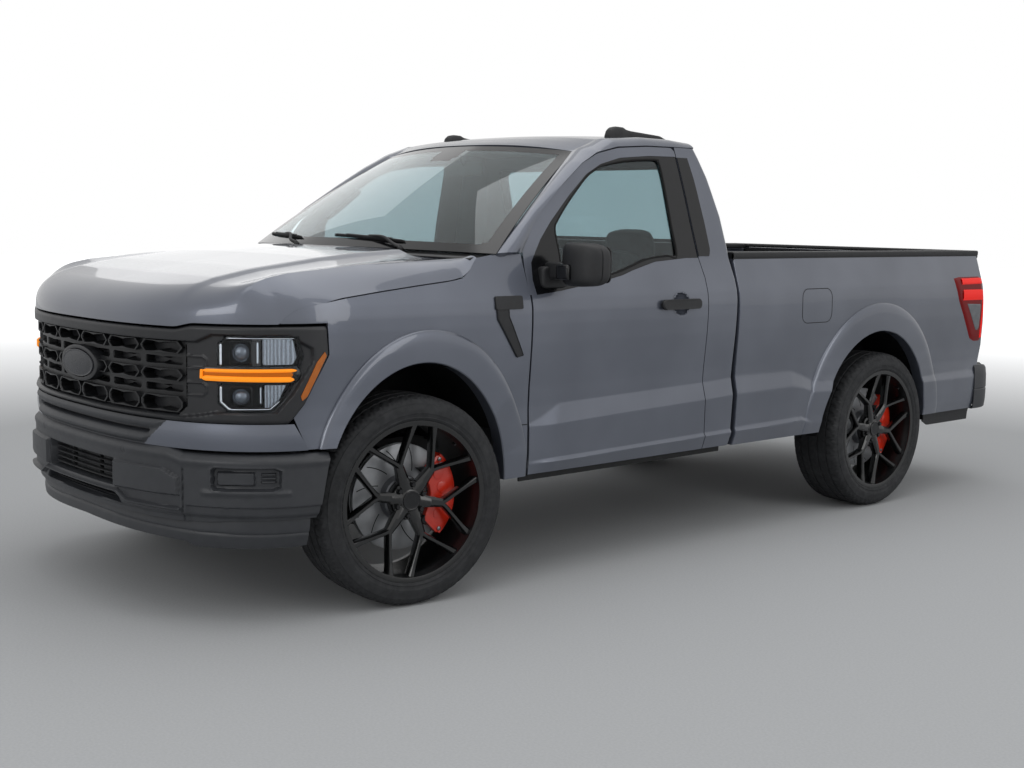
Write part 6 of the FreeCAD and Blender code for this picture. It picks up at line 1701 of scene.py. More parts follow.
def bed_floor():
    """Pressed floor: ribs along the bed, between the wheel boxes."""
    x, y = np.meshgrid(np.linspace(-0.735, 0.735, 260), np.linspace(0.24, 2.345, 60),
                       indexing="ij")
    wave = np.clip(np.sin(x / 0.147 * 2 * math.pi) * 2.5, -1, 1)
    ends = np.clip(np.minimum(y - 0.24, 2.345 - y) / 0.05, 0, 1)
    form = facing(grid(np.stack([x, y, 0.801 + 0.005 * wave * ends], 2)), (0, 0, 1))
    box = (np.abs(form[0][form[1][0]].mean(1)[:, 0]) > 0.575) \
        & (np.abs(form[0][form[1][0]].mean(1)[:, 1] - 1.4265) < 0.55)
    return thick((form[0], [form[1][0][~box]]), 0.004)


bake("bed_floor_ribs", [(bed_floor(), LINER)], "body")


# Tail lamps: a red body wrapped round the corner, a light guide and a grey inset

def wrap_skin(points, proud):
    """Side-view points laid on the bed corner: y beyond the edge turns round to the rear."""
    y, z = points[..., 0], points[..., 1]
    edge = REAR_EDGE(z)
    over = np.clip(y - edge + 0.03, 0, None)
    angle = np.clip(over / 0.035, 0, math.pi / 2)
    past = np.clip(over - 0.035 * math.pi / 2, 0, None)
    base = flank(np.minimum(y, edge - 0.03), z)
    return np.stack([base - 0.035 * (1 - np.cos(angle)) - past + proud * np.cos(angle),
                     np.minimum(y, edge - 0.03) + 0.035 * np.sin(angle)
                     + proud * np.sin(angle), z], -1)


def lamp_patch(outline, proud, depth, rows=16, count=120):
    """A lens on the bed corner: an outline filled by shrinking rings, rounded at its rim."""
    ring = line(np.concatenate([outline, outline[:1]]), count)[:-1]
    middle = ring.mean(0)
    points = lerp(ring[None], middle, np.linspace(0, 1, rows)[:, None, None])
    edge = np.clip(np.linspace(0, 1, rows) / 0.12, 0, 1)
    swell = proud - 0.006 * (1 - edge) ** 2
    return thick(facing(grid(wrap_skin(points, swell[:, None]), loop=True), (1, 1, 0)), depth)


# Side-view outlines of the lens and its grey inset; beyond the edge they turn to the rear
TAIL = np.array([(2.104, 1.212), (2.160, 1.219), (2.400, 1.219), (2.530, 1.219),
                 (2.530, 0.850), (2.440, 0.848), (2.345, 0.848), (2.300, 0.865),
                 (2.150, 1.085), (2.112, 1.180)])
GREY = np.array([(2.225, 1.070), (2.300, 1.068), (2.378, 1.064), (2.382, 0.920),
                 (2.362, 0.905), (2.342, 0.912)])
tail_parts = [(lamp_patch(TAIL, 0.006, 0.012), RED_LAMP),
              (lamp_patch(GREY, 0.0085, 0.004), GREY_LENS)]
for path, width in (([(2.172, 1.194), (2.415, 1.196)], 0.034),
                    ([(2.182, 1.118), (2.408, 1.116)], 0.060),
                    ([(2.412, 1.144), (2.415, 0.866)], 0.040)):
    track = line(path, 40)
    ahead = track[-1] - track[0]
    across = np.array([-ahead[1], ahead[0]]) / np.hypot(*ahead) * width / 2
    strip = np.stack([wrap_skin(track + across * s, p) for s, p in
                      ((-1, 0.006), (-0.6, 0.0105), (0.6, 0.0105), (1, 0.006))])
    tail_parts.append((facing(grid(strip), (1, 1, 0)), RED_BRIGHT))
white = np.array([(2.425, 1.045), (2.520, 1.045), (2.520, 0.985), (2.425, 0.985)])
tail_parts.append((lamp_patch(white, 0.0085, 0.003), WHITE_LENS))
bake("tail_lamp_lenses", [(f, m) for form, m in tail_parts for f in (form, mirrored(form))],
     "body", ("tail_lamps",))


# Tailgate: stamped outer skin, pull handle, inner liner

def gate_skin():
    """Outer face: nearly flat, with a broad shallow stamping and a soft step near the top."""
    x, z = np.meshgrid(np.linspace(-0.7955, 0.7955, 160), np.linspace(0.800, 1.343, 90),
                       indexing="ij")
    stamped = np.minimum(0.62 - np.abs(x), np.minimum(z - 0.86, 1.185 - z))
    y = 2.421 - 0.010 * ramp(stamped, 0.03) + 0.010 * ramp(z - 1.26, 0.03)
    y = y - 0.012 * np.clip(1 - (0.7955 - np.abs(x)) / 0.012, 0, 1) ** 2
    handle = np.minimum(0.115 - np.abs(x), np.minimum(z - 1.205, 1.255 - z))
    y = y - 0.012 * ramp(handle, 0.006)
    return thick(sheet_of(x, y, z, (0, 1, 0)), 0.010)


def gate_inner():
    """Inner face with pressed vertical ribs."""
    x, z = np.meshgrid(np.linspace(-0.790, 0.790, 200), np.linspace(0.805, 1.338, 40),
                       indexing="ij")
    edge = np.minimum(0.79 - np.abs(x), np.minimum(z - 0.805, 1.338 - z))
    y = 2.381 + 0.006 * np.clip(np.sin(x / 0.158 * 2 * math.pi) * 2, -1, 1) * ramp(
        edge - 0.03, 0.03)
    return thick(sheet_of(x, y, z, (0, -1, 0)), 0.003)


def gate_edges():
    """The band round the gate's edge that joins its two faces."""
    half = rounded(1.591, 0.543, 0.006, 3) + [0, 1.0715]
    rings = np.stack([np.stack([half[:, 0], np.full(len(half), y), half[:, 1]], 1)
                      for y in (2.382, 2.409)])
    return facing_out(grid(rings, loop=True))


gate_cap = rail_cap(np.stack([np.linspace(-0.795, 0.795, 40), np.full(40, 2.4045)], 1), 0.0285,
                    1.3440, 1.3665)
gate_handle = standing_plate(rounded(0.216, 0.040, 0.012), 0.014, (0, 2.4045, 1.230), 0.003)
bake("tailgate_skin", [(gate_skin(), PAINT), (gate_inner(), LINER),
                       (thick(gate_edges(), 0.004), PAINT), (gate_cap, TRIM_BLACK),
                       (gate_handle, TRIM_BLACK)], "tailgate", ("tailgate",))


# Rear bumper: a plan curve with returns, step pads on top, a blank plate pocket

def bumper_table():
    """Path length, place and outward direction of the rear bumper's plan, a flat ellipse."""
    t = np.linspace(0, math.pi / 2, 900)
    x = 0.952 * np.sin(t) ** (2 / 6.0)
    y = 2.405 + 0.2480 * np.cos(t) ** (2 / 3.2)
    x, y = np.append(x, 0.952), np.append(y, 2.372)
    path = np.concatenate([[0], np.cumsum(np.hypot(np.diff(x), np.diff(y)))])
    out_x, out_y = -np.gradient(y, path), np.gradient(x, path)
    size = np.hypot(out_x, out_y)
    return path, x, y, out_x / size, out_y / size


REAR_PATH = bumper_table()


def rear_bumper_forms():
    """Face, top and underside, as strips of the plan curve at changing level and set-back."""
    path, px, py, ox, oy = REAR_PATH
    u = np.linspace(0, path[-1], 220)
    x, y = np.interp(u, path, px), np.interp(u, path, py)
    out = np.stack([np.interp(u, path, ox), np.interp(u, path, oy)], 1)
    out /= np.linalg.norm(out, axis=1, keepdims=True)
    rise = 0.018 * np.clip((path[-1] - u) / 0.27, 0, 1)
    levels = [(0.452, 0.060), (0.450, 0.014), (0.456, 0.006), (0.500, 0.001), (0.560, 0.0),
              (0.566, 0.004), (0.572, 0.0), (0.640, 0.002), (0.676, 0.007), (0.690, 0.016),
              (0.693, 0.030), (0.693, 0.060)]
    rings = []
    for z, back_off in levels:
        level = z + (0.019 - rise) * max(z - 0.6, 0) / 0.09
        rings.append(np.stack([x - out[:, 0] * back_off, y - out[:, 1] * back_off, level], 1))
    face = facing(grid(np.stack(rings)), (0.3, 1, 0))
    return thick(both(face), 0.006)


pad_x, pad_y = np.meshgrid(np.linspace(-0.855, 0.855, 200), np.linspace(2.452, 2.610, 40),
                           indexing="ij")
pad_edge = np.minimum(0.855 - np.abs(pad_x), np.minimum(pad_y - 2.452, 2.610 - pad_y))
tread = 0.0018 * np.clip(np.cos(pad_x / 0.028 * 2 * math.pi) * np.cos(
    pad_y / 0.028 * 2 * math.pi) * 3, 0, 1) * (pad_edge > 0.02)
pad = facing(grid(np.stack([pad_x, pad_y, 0.7010 + tread - 0.006 * np.clip(
    1 - pad_edge / 0.008, 0, 1) - 0.006 * (pad_y > 2.60)], 2)), (0, 0, 1))
plate = slab(rounded(0.52, 0.13, 0.012), 0, 0.004, lambda p: np.stack(
    [p[:, 0], 2.6515 + p[:, 2] * 0.6, p[:, 1] + 0.610], 1), lip=0.001)
bake("rear_bumper_shell", [(rear_bumper_forms(), SATIN), (thick(pad, 0.012), TRIM_BLACK),
                           (plate, DARK_AND_SHADE)], "body", ("rear_bumper",))


def bed_wall():
    """Inner wall of the bed: a painted sheet with two long pressed fields."""
    y, share = np.meshgrid(np.linspace(0.212, 2.352, 150), np.linspace(0, 1, 50),
                           indexing="ij")
    inside = np.clip(1 - ((y - REAR_ARCH.centre) / (REAR_ARCH.half + 0.030)) ** 2, 0, 1)
    low = np.maximum(0.712, HUB_LEVEL + (REAR_ARCH.height + 0.030) * np.sqrt(inside))
    z = lerp(low, 1.326, share)
    field = np.minimum(np.minimum(y - 0.30, 2.27 - y), np.minimum(z - 0.98, 1.28 - z))
    post = np.abs(y - 1.285) - 0.05
    x = 0.790 + 0.008 * ramp(np.minimum(field, post), 0.02)
    return thick(sheet_of(x, y, z, (-1, 0, 0)), 0.004)


def rear_pan():
    """Dark sheet between tailgate and bumper, turned down in front of the bumper's bars: painted
    shade in the gap.
    """
    x, s = np.meshgrid(np.linspace(-0.80, 0.80, 60), np.linspace(0, 1, 12), indexing="ij")
    y = np.interp(s, [0, 0.4, 1], [2.300, 2.305, 2.475])
    z = np.interp(s, [0, 0.4, 1], [0.560, 0.668, 0.680]) + 0.002 * np.sin(x / 0.05 * math.pi)
    return thick(sheet_of(x, y, z, (0, 0, 1)), 0.005)


bake("bed_inner_walls", [(both(bed_wall()), PAINT)], "body")
bake("rear_painted_shade_pan", [(rear_pan(), DARK_AND_SHADE)], "body")


# Wheels, drawn about their own axis X with the outer face at +X, then set in place

def tyre_form():
    """Tread with four grooves and cross cuts, shoulders, sidewalls and beads."""
    half = [(0.0, 0.4140), (0.010, 0.4140), (0.0225, 0.4139), (0.0240, 0.4075),
            (0.0330, 0.4075), (0.0345, 0.4138), (0.050, 0.4136), (0.0640, 0.4134),
            (0.0730, 0.4130), (0.0745, 0.4068), (0.0835, 0.4066), (0.0850, 0.4124),
            (0.098, 0.4114), (0.110, 0.4096), (0.120, 0.4062), (0.1275, 0.4005),
            (0.1320, 0.3935), (0.1350, 0.3850), (0.1358, 0.3838), (0.1378, 0.3830),
            (0.1392, 0.3740), (0.1415, 0.3640), (0.1425, 0.3560), (0.1420, 0.3470),
            (0.1412, 0.3462), (0.1400, 0.3390), (0.1385, 0.3330), (0.1400, 0.3300),
            (0.1385, 0.3262), (0.1345, 0.3205), (0.1290, 0.3170), (0.1200, 0.3120)]
    half = np.array(half)
    profile = np.concatenate([half[::-1] * [-1, 1], half[1:]])
    count, cuts = 600, 60
    turn = full_turn(count)
    x, radius = profile[:, :1], profile[:, 1:]
    lead = np.where(np.abs(x) > 0.085, np.sign(x) * 6 * (np.abs(x) - 0.085),
                    9 * (np.abs(x) - 0.03) * np.sign(x))
    wave = np.cos((turn[None] + lead) * cuts)
    cut = np.clip((wave - 0.62) * 6, 0, 1)
    strength = np.interp(np.abs(x), [0, 0.034, 0.035, 0.0725, 0.086, 0.118, 0.133, 0.137],
                         [0, 0, 0.6, 0.6, 1, 1, 0.7, 0])
    radius = radius - 0.0042 * cut * strength
    outward = np.interp(np.abs(x), [0.118, 0.1275, 0.137], [0, 0.002, 0])
    place = x - np.sign(x) * outward * cut
    ring = np.stack([place + 0 * radius, radius * np.cos(turn), radius * np.sin(turn)], 2)
    inner = np.array([(0.1200, 0.3120), (0.100, 0.3080), (-0.100, 0.3080), (-0.1200, 0.3120)])
    inside = np.stack([np.broadcast_to(inner[:, :1], (4, count)),
                       inner[:, 1:] * np.cos(turn), inner[:, 1:] * np.sin(turn)], 2)
    return facing_out(weld(grid(np.concatenate([ring, inside]), loop=True)))


def wheel_point(radius, degrees):
    """A point of the wheel's plane by its radius and angle."""
    turn = math.radians(degrees)
    return np.array([radius * math.cos(turn), radius * math.sin(turn)])


def spoke_form(path, width, top, depth, count=26):
    """A sculpted bar: narrow flat crown, slanted shoulders, and deep walls behind."""
    path = spline(path, count)
    share = np.linspace(0, 1, count)
    wide = np.interp(share, np.linspace(0, 1, len(width)), width)[:, None]
    high = np.interp(share, np.linspace(0, 1, len(top)), top)[:, None]
    deep = np.interp(share, np.linspace(0, 1, len(depth)), depth)[:, None]
    side = across_path(path)
    across = np.array([-0.46, -0.54, -0.50, -0.26, 0.26, 0.50, 0.54, 0.46])
    down = np.array([1.0, 0.55, 0.20, 0.0, 0.0, 0.20, 0.55, 1.0])
    flat = path[:, None] + side[:, None] * (across[None] * wide)[..., None]
    x = high - deep * down[None]
    return facing_out(closed(np.concatenate([x[..., None], flat], 2)))


def rim_forms():
    """Barrel with its stepped lip, six forked spokes, hub, nuts and a blank cap."""
    barrel = spun([(0.131, 0.3000), (0.1325, 0.3120), (0.1325, 0.3180), (0.1300, 0.3200),
                   (0.1260, 0.3195), (0.1240, 0.3110), (0.1150, 0.3060), (0.080, 0.3055),
                   (0.060, 0.2990), (-0.100, 0.3040), (-0.1150, 0.3060), (-0.1240, 0.3110),
                   (-0.1260, 0.3195), (-0.1310, 0.3195), (-0.1310, 0.3080), (-0.122, 0.2990),
                   (-0.09, 0.2945), (0.050, 0.2900), (0.085, 0.2925), (0.104, 0.2950),
                   (0.112, 0.2975), (0.124, 0.2985), (0.131, 0.3000)], 160)
    lip = spun([(0.1312, 0.2985), (0.1335, 0.3120), (0.1335, 0.3180), (0.1305, 0.3205),
                (0.1262, 0.3190), (0.1262, 0.2995), (0.1312, 0.2985)], 160)
    parts = [lip]
    for number in range(6):
        turn = 60 * number - 10
        stem = [wheel_point(r, turn) for r in (0.034, 0.075, 0.115, 0.156)]
        parts.append(spoke_form(stem, [0.062, 0.046, 0.038, 0.030],
                                [0.097, 0.1015, 0.104, 0.104], [0.044, 0.042, 0.038, 0.030]))
        for splay in (-21, 21):
            leg = [wheel_point(0.122, turn), wheel_point(0.154, turn + splay * 0.13),
                   wheel_point(0.205, turn + splay * 0.58),
                   wheel_point(0.255, turn + splay * 0.85), wheel_point(0.300, turn + splay)]
            parts.append(spoke_form(leg, [0.020, 0.021, 0.0205, 0.022, 0.030],
                                    [0.1030, 0.1045, 0.1075, 0.1125, 0.1190],
                                    [0.034, 0.036, 0.036, 0.036, 0.038]))
    hub = spun([(0.047, 0.0), (0.047, 0.080), (0.070, 0.082), (0.086, 0.078), (0.0895, 0.074),
                (0.0895, 0.050), (0.098, 0.044), (0.100, 0.040), (0.100, 0.0)], 72)
    cap = spun([(0.098, 0.0385), (0.1045, 0.0375), (0.1060, 0.0355), (0.1052, 0.0320),
                (0.1056, 0.0200), (0.1060, 0.0)], 48)
    nuts = []
    for number in range(6):
        centre = wheel_point(0.0615, 60 * number + 20)
        nut = spun([(0.086, 0.0105), (0.1000, 0.0105), (0.1025, 0.0085), (0.1025, 0.0)], 6)
        nuts.append(moved(nut, shift=(0, centre[0], centre[1])))
        well = spun([(0.0905, 0.0165), (0.0905, 0.0145), (0.0862, 0.0135)], 24)
        nuts.append(moved(turned(well), shift=(0, centre[0], centre[1])))
    valve = tube([(0.098, *wheel_point(0.284, 48)), (0.120, *wheel_point(0.278, 48))], 0.0035)
    return [(barrel, BARREL_BLACK), (merge(*parts), WHEEL_BLACK), (hub, WHEEL_BLACK),
            (cap, GLOSS_BLACK),
            (merge(*nuts), GLOSS_BLACK), (valve, GLOSS_BLACK)]


def disc_forms():
    """Vented disc: two faces with a dark gap, curved slots drawn as strips of painted shade, and
    the bright hat.
    """
    face = spun([(0.0125, 0.0905), (0.0130, 0.0925), (0.0130, 0.2095), (0.0120, 0.2115),
                 (0.0040, 0.2115), (0.0035, 0.2060), (-0.0075, 0.2060), (-0.0080, 0.2115),
                 (-0.0160, 0.2115), (-0.0170, 0.2095), (-0.0170, 0.0925), (0.0125, 0.0905)],
                120)
    hat = spun([(-0.0165, 0.037), (-0.0165, 0.093), (0.0128, 0.0925), (0.0300, 0.0890),
                (0.0430, 0.0870), (0.0455, 0.0840), (0.0462, 0.0790), (0.0462, 0.037),
                (-0.0165, 0.037)], 96)
    # The slots are dark strips laid on the face: painted shade for grooves that aren't cut
    slots = []
    for number in range(12):
        path = np.array([wheel_point(r, number * 30 + (r - 0.10) * 190)
                         for r in np.linspace(0.112, 0.199, 9)])
        side = across_path(path) * 0.0019
        strip = np.stack([np.concatenate([np.full((9, 1), 0.01325), path + side * s], 1)
                          for s in (-1, 1)])
        slots.append(facing(grid(strip), (1, 0, 0)))
    return [(face, DISC_STEEL), (hat, HAT_STEEL), (merge(*slots), DARK_AND_SHADE)]


def arc_block(low_x, high_x, low_r, high_r, start, end, corner=0.006, count=30):
    """A block bent round the axle: a rounded section swept from one angle to another."""
    section = rounded(high_x - low_x, high_r - low_r, corner, 4) + [
        (low_x + high_x) / 2, (low_r + high_r) / 2]
    turn = np.radians(np.linspace(start, end, count))
    share = np.linspace(-1, 1, count)
    pinch = 1 - 0.35 * np.abs(share) ** 8
    middle = section.mean(0)
    rings = []
    for angle, tight in zip(turn, pinch):
        cut = middle + (section - middle) * [1, tight]
        rings.append(np.stack([cut[:, 0], cut[:, 1] * math.cos(angle),
                               cut[:, 1] * math.sin(angle)], 1))
    return facing_out(closed(np.stack(rings)))


def caliper_forms():
    """Six-piston caliper: outer and inner housings joined by a bridge, ribs and bolts."""
    parts = [arc_block(0.0165, 0.0430, 0.122, 0.238, -46, 46),
             arc_block(-0.0470, -0.0210, 0.122, 0.238, -46, 46),
             arc_block(-0.0470, 0.0430, 0.2185, 0.238, -44, 44, 0.008)]
    for degrees in (-27, -9, 9, 27):
        centre = wheel_point(0.176, degrees)
        boss = spun([(0.040, 0.0235), (0.0452, 0.0215), (0.0462, 0.0175), (0.0462, 0.0)], 32)
        parts.append(moved(boss, shift=(0, centre[0], centre[1])))
    bolts = []
    for degrees in (-41, 41):
        centre = wheel_point(0.214, degrees)
        bolt = spun([(0.040, 0.0090), (0.0475, 0.0090), (0.0485, 0.0070), (0.0485, 0.0)], 6)
        bolts.append(moved(bolt, shift=(0, centre[0], centre[1])))
    return [(merge(*parts), CALIPER_RED), (merge(*bolts), STEEL)]


tyre_ring = tyre_form()
rim_parts = rim_forms()
disc_parts = disc_forms()
caliper_parts = caliper_forms()
STEERED = math.radians(6.6)
steered_x, steered_y = math.cos(STEERED), math.sin(STEERED)
# Middle of each wheel as the record's joints give it, its outward direction and its holder
WHEELS = {
    "front_left": ((0.811708, -1.697557), (steered_x, -steered_y), "left_knuckle"),
    "front_right": ((-0.811708, -1.687443), (-steered_x, steered_y), "right_knuckle"),
    "rear_left": ((0.812, REAR_AXLE), (1.0, 0.0), "body"),
    "rear_right": ((-0.812, REAR_AXLE), (-1.0, 0.0), "body"),
}
for name, ((x, y), (out_x, out_y), holder) in WHEELS.items():
    matrix = np.array([(out_x, -out_y, 0), (out_y, out_x, 0), (0, 0, 1)])
    mirror_y = np.diag([1.0, -1.0 if x < 0 else 1.0, 1.0])

    def placed(form, flip=False):
        """A form set in place; one that isn't the same both ways is mirrored for the right."""
        if flip and x < 0:
            form = turned(moved(form, mirror_y))
        return moved(form, matrix, (x, y, HUB_LEVEL))

    bake(f"tyre_tread_{name}", [(placed(tyre_ring), TYRE)], f"wheel_{name}",
         (f"tyre_{name}",), sharp=40)
    bake(f"rim_spokes_{name}", [(placed(form), finish) for form, finish in rim_parts],
         f"wheel_{name}", (f"rim_{name}",), sharp=38)
    bake(f"brake_disc_slotted_{name}", [(placed(form), finish) for form, finish in disc_parts],
         f"wheel_{name}", (f"brake_disc_{name}",))
    bake(f"brake_caliper_{name}", [(placed(form, True), finish)
                                   for form, finish in caliper_parts], holder)


# Cowl, wipers, roof rails and wheel housings

def screen_foot(x):
    """Station and level of the windshield's lower edge at offset x."""
    return -1.288 - (0.897 ** 2 - x ** 2) / 5.2, 1.367 + (1 - (x / 0.897) ** 2) * 0.010


def cowl_form():
    """Trough between hood and glass: a dip across, with pressed slots along its floor."""
    x, s = np.meshgrid(np.linspace(-0.885, 0.885, 240), np.linspace(-0.25, 1.3, 34),
                       indexing="ij")
    foot_y, foot_z = screen_foot(x)
    start = np.minimum(hood_rear(x), foot_y - 0.03)
    y = lerp(start, foot_y + 0.006, s)
    dip = 0.030 * np.sin(math.pi * np.clip(s, 0, 1)) ** 0.8 + 0.03 * np.clip(-s, 0, 1)
    slots = 0.003 * np.clip(np.cos(x / 0.022 * 2 * math.pi) * 3, -1, 1) * (
        (s > 0.3) & (s < 0.75))
    z = foot_z - 0.012 - dip + slots * 0.5 + 0.018 * np.clip(s - 0.8, 0, 1)
    return thick(sheet_of(x, y, z, (0, 0, 1)), 0.004)


def wiper_forms(pivot_x, reach, lead):
    """One wiper: pivot cap, tapered arm, and a blade lying on the glass."""
    y0, z0 = screen_foot(pivot_x)
    pivot = np.array([pivot_x, y0 - 0.010, z0 - 0.004])
    cap = moved(spun([(-0.02, 0.012), (0.010, 0.012), (0.014, 0.009), (0.015, 0.0)], 24, "z"),
                shift=pivot)
    share = np.linspace(0, 1, 40)
    blade_x = pivot_x - lead - reach * share
    y, z = screen_foot(blade_x)
    lift = lerp(0.030, 0.052, share)
    blade = np.stack([blade_x, y + lift, z + lift * 0.72 + 0.012], 1)
    middle = blade[18]
    arm_path = spline([pivot + [0, 0, 0.010], pivot + [-0.06, 0.006, 0.024],
                       lerp(pivot, middle, 0.55) + [0, 0.0, 0.026], middle + [0, 0, 0.008]],
                      24)
    arm = tube(arm_path, np.linspace(0.0085, 0.005, 24), 10)
    holder = tube(blade[6:32] + [0, -0.001, 0.003], 0.0055, 10)
    rubber = tube(blade - [0, 0, 0.006], 0.0035, 8)
    back = tube(blade, np.interp(share, [0, 0.05, 0.5, 0.95, 1],
                                 [0.002, 0.0045, 0.006, 0.0045, 0.002]), 10)
    return [(cap, TRIM_BLACK), (arm, TRIM_BLACK), (holder, TRIM_BLACK), (back, TRIM_BLACK),
            (rubber, SEAL)]


bake("cowl_trough", [(cowl_form(), TRIM_BLACK)], "body")
bake("wiper_arms_and_blades", wiper_forms(0.440, 0.50, 0.02) + wiper_forms(-0.330, 0.46, 0.02),
     "body", ("wipers",))


def roof_pod(side):
    """A roof rail foot: a low rounded fin, high in front, running out towards the rear."""
    y = np.concatenate([np.linspace(-0.350, -0.300, 14), np.linspace(-0.300, 0.045, 34)[1:]])
    base = 1.888
    top = np.interp(y, [-0.350, -0.342, -0.325, -0.300, -0.255, -0.235, -0.20, 0.0, 0.045],
                    [1.898, 1.920, 1.932, 1.9365, 1.9350, 1.926, 1.921, 1.908, 1.892])
    wide = np.interp(y, [-0.350, -0.33, -0.28, -0.22, 0.045],
                     [0.018, 0.026, 0.028, 0.014, 0.010])
    turn = np.linspace(-0.15, math.pi + 0.15, 22)
    pull = np.sign(np.cos(turn)) * np.abs(np.cos(turn)) ** 0.6
    rise = np.sign(np.sin(turn)) * np.abs(np.sin(turn)) ** 0.6
    x = side * 0.590 + wide[:, None] * pull[None]
    z = base + (top - base)[:, None] * rise[None]
    return facing_out(closed(np.stack([x, np.broadcast_to(y[:, None], x.shape), z], 2)))


bake("roof_rail_feet", [(roof_pod(1), TRIM_BLACK), (roof_pod(-1), TRIM_BLACK)], "body",
     ("roof_rails",))


def housing_form():
    """Rear wheel housing: an arched sheet over the tyre, ribbed across, with its inner wall."""
    angle = np.linspace(0.02, math.pi - 0.02, 90)
    across = np.array([0.930, 0.90, 0.85, 0.80, 0.74, 0.68, 0.625, 0.618, 0.612])
    shrink = np.array([0.004, 0.014, 0.012, 0.012, 0.012, 0.012, 0.012, -0.03, -0.21])
    rib = 0.003 * np.sin(angle * 40)
    rings = [np.stack([np.full(90, x), REAR_ARCH.centre + np.cos(angle)
                       * (REAR_ARCH.half + d + rib), HUB_LEVEL + np.sin(angle)
                       * (REAR_ARCH.height + d + rib)], 1) for x, d in zip(across, shrink)]
    return thick(facing(grid(np.stack(rings)), (0, 0, -1)), 0.004)


bake("rear_wheel_housings", [(both(housing_form()), DARK_AND_SHADE)], "body")


def fender_vent():
    """Blank black vent: a flat bar by the door and a leg that narrows down and back."""
    bar_face = slab(rounded(0.146, 0.054, 0.007), -0.004, 0.010, lambda p: np.stack(
        [flank(p[:, 0] - 1.2525, p[:, 1] + 1.1725) + p[:, 2], p[:, 0] - 1.2525,
         p[:, 1] + 1.1725], 1), lip=0.002)
    share = np.linspace(0, 1, 60)
    path = np.stack([np.interp(share, [0, 0.18, 1], [-1.288, -1.284, -1.186]),
                     np.interp(share, [0, 0.18, 1], [1.160, 1.112, 0.948])], 1)
    half = np.interp(share, [0, 0.18, 0.97, 1], [0.033, 0.032, 0.019, 0.012])
    across = np.array([-1, -0.98, -0.86, -0.80, 0.80, 0.86, 0.98, 1])
    height = np.array([-0.004, 0.006, 0.009, 0.006, 0.006, 0.009, 0.006, -0.004])
    y = path[:, :1] + half[:, None] * across[None]
    z = path[:, 1:] + 0.18 * half[:, None] * across[None]
    end = np.clip(np.minimum(share, 1 - share) / 0.02, 0, 1)[:, None]
    x = flank(y, z) - 0.004 + (height[None] + 0.004) * end
    return bar_face, thick(sheet_of(x, y, z, (1, 0, 0)), 0.003)


vent_bar, vent_leg = fender_vent()
bake("fender_vents", [(both(vent_leg), TRIM_BLACK), (vent_bar, TRIM_BLACK),
                      (mirrored(vent_bar), TRIM_BLACK)], "body")


# Cabin: floor, bulkhead, headliner, dashboard, wheel, seats

def cabin_floor():
    """Floor pan with its tunnel, turned up into the sills and the bulkhead."""
    x, y = np.meshgrid(np.linspace(-0.86, 0.86, 90), np.linspace(-1.24, 0.150, 60),
                       indexing="ij")
    tunnel = 0.14 * np.exp(-(x / 0.16) ** 4)
    sill = 0.10 * ramp(np.abs(x) - 0.74, 0.05)
    toe = 0.22 * ramp(-y - 1.02, 0.22)
    return thick(sheet_of(x, y, 0.605 + tunnel + sill + toe, (0, 0, 1)), 0.012)


def bulkhead(y, low, high, width, look):
    """An upright wall across the cab with shallow pressed waves; look is its way along Y."""
    x, z = np.meshgrid(np.linspace(-width, width, 60), np.linspace(low, high, 30),
                       indexing="ij")
    bow = 0.01 * np.cos(x / 0.3 * math.pi) * np.sin(math.pi * (z - low) / (high - low))
    return thick(sheet_of(x, y + bow, z, (0, look, 0)), 0.01)


def sill_form():
    """The sill under the door: an outer step and an inner wall."""
    y = np.linspace(-1.12, 0.17, 40)
    section = [(0.925, 0.449), (0.88, 0.447), (0.878, 0.415), (0.872, 0.415), (0.868, 0.447),
               (0.80, 0.47), (0.80, 0.66), (0.86, 0.712),
               (0.87, 0.712), (0.905, 0.49), (0.925, 0.449)]
    return facing_out(grid(np.stack([np.stack([np.full(40, x), y, np.full(40, z)], 1)
                                     for x, z in section])))


def headliner():
    """The roof skin again, drawn in and 45 mm lower, looking down."""
    points = roof[0] * [0.965, 0.99, 1] - [0, 0.008, 0.045]
    return thick((points, turned(roof)[1]), 0.006)


def dash_form():
    """Dashboard: a section carried across, with the binnacle hood and the screen bulge."""
    section = np.array([(-1.365, 1.318), (-1.30, 1.335), (-1.10, 1.318), (-0.92, 1.298),
                        (-0.845, 1.280), (-0.815, 1.255), (-0.812, 1.225), (-0.835, 1.190),
                        (-0.842, 1.120), (-0.805, 1.085), (-0.800, 1.050), (-0.850, 0.985),
                        (-0.930, 0.925), (-1.05, 0.905)])
    curve = spline(section, 80)
    x = np.linspace(-0.79, 0.79, 150)
    y = np.broadcast_to(curve[:, :1], (80, 150)).copy()
    z = np.broadcast_to(curve[:, 1:], (80, 150)).copy()
    hood = np.exp(-((x - 0.378) / 0.19) ** 6)[None] * np.exp(-((z - 1.28) / 0.05) ** 2)
    screen = np.exp(-(x / 0.17) ** 8)[None] * np.exp(-((z - 1.19) / 0.10) ** 4)
    z = z + 0.040 * hood
    y = y - 0.012 * hood + 0.035 * screen
    return thick(sheet_of(x, y, z, (0, 1, 0.5)), 0.006)


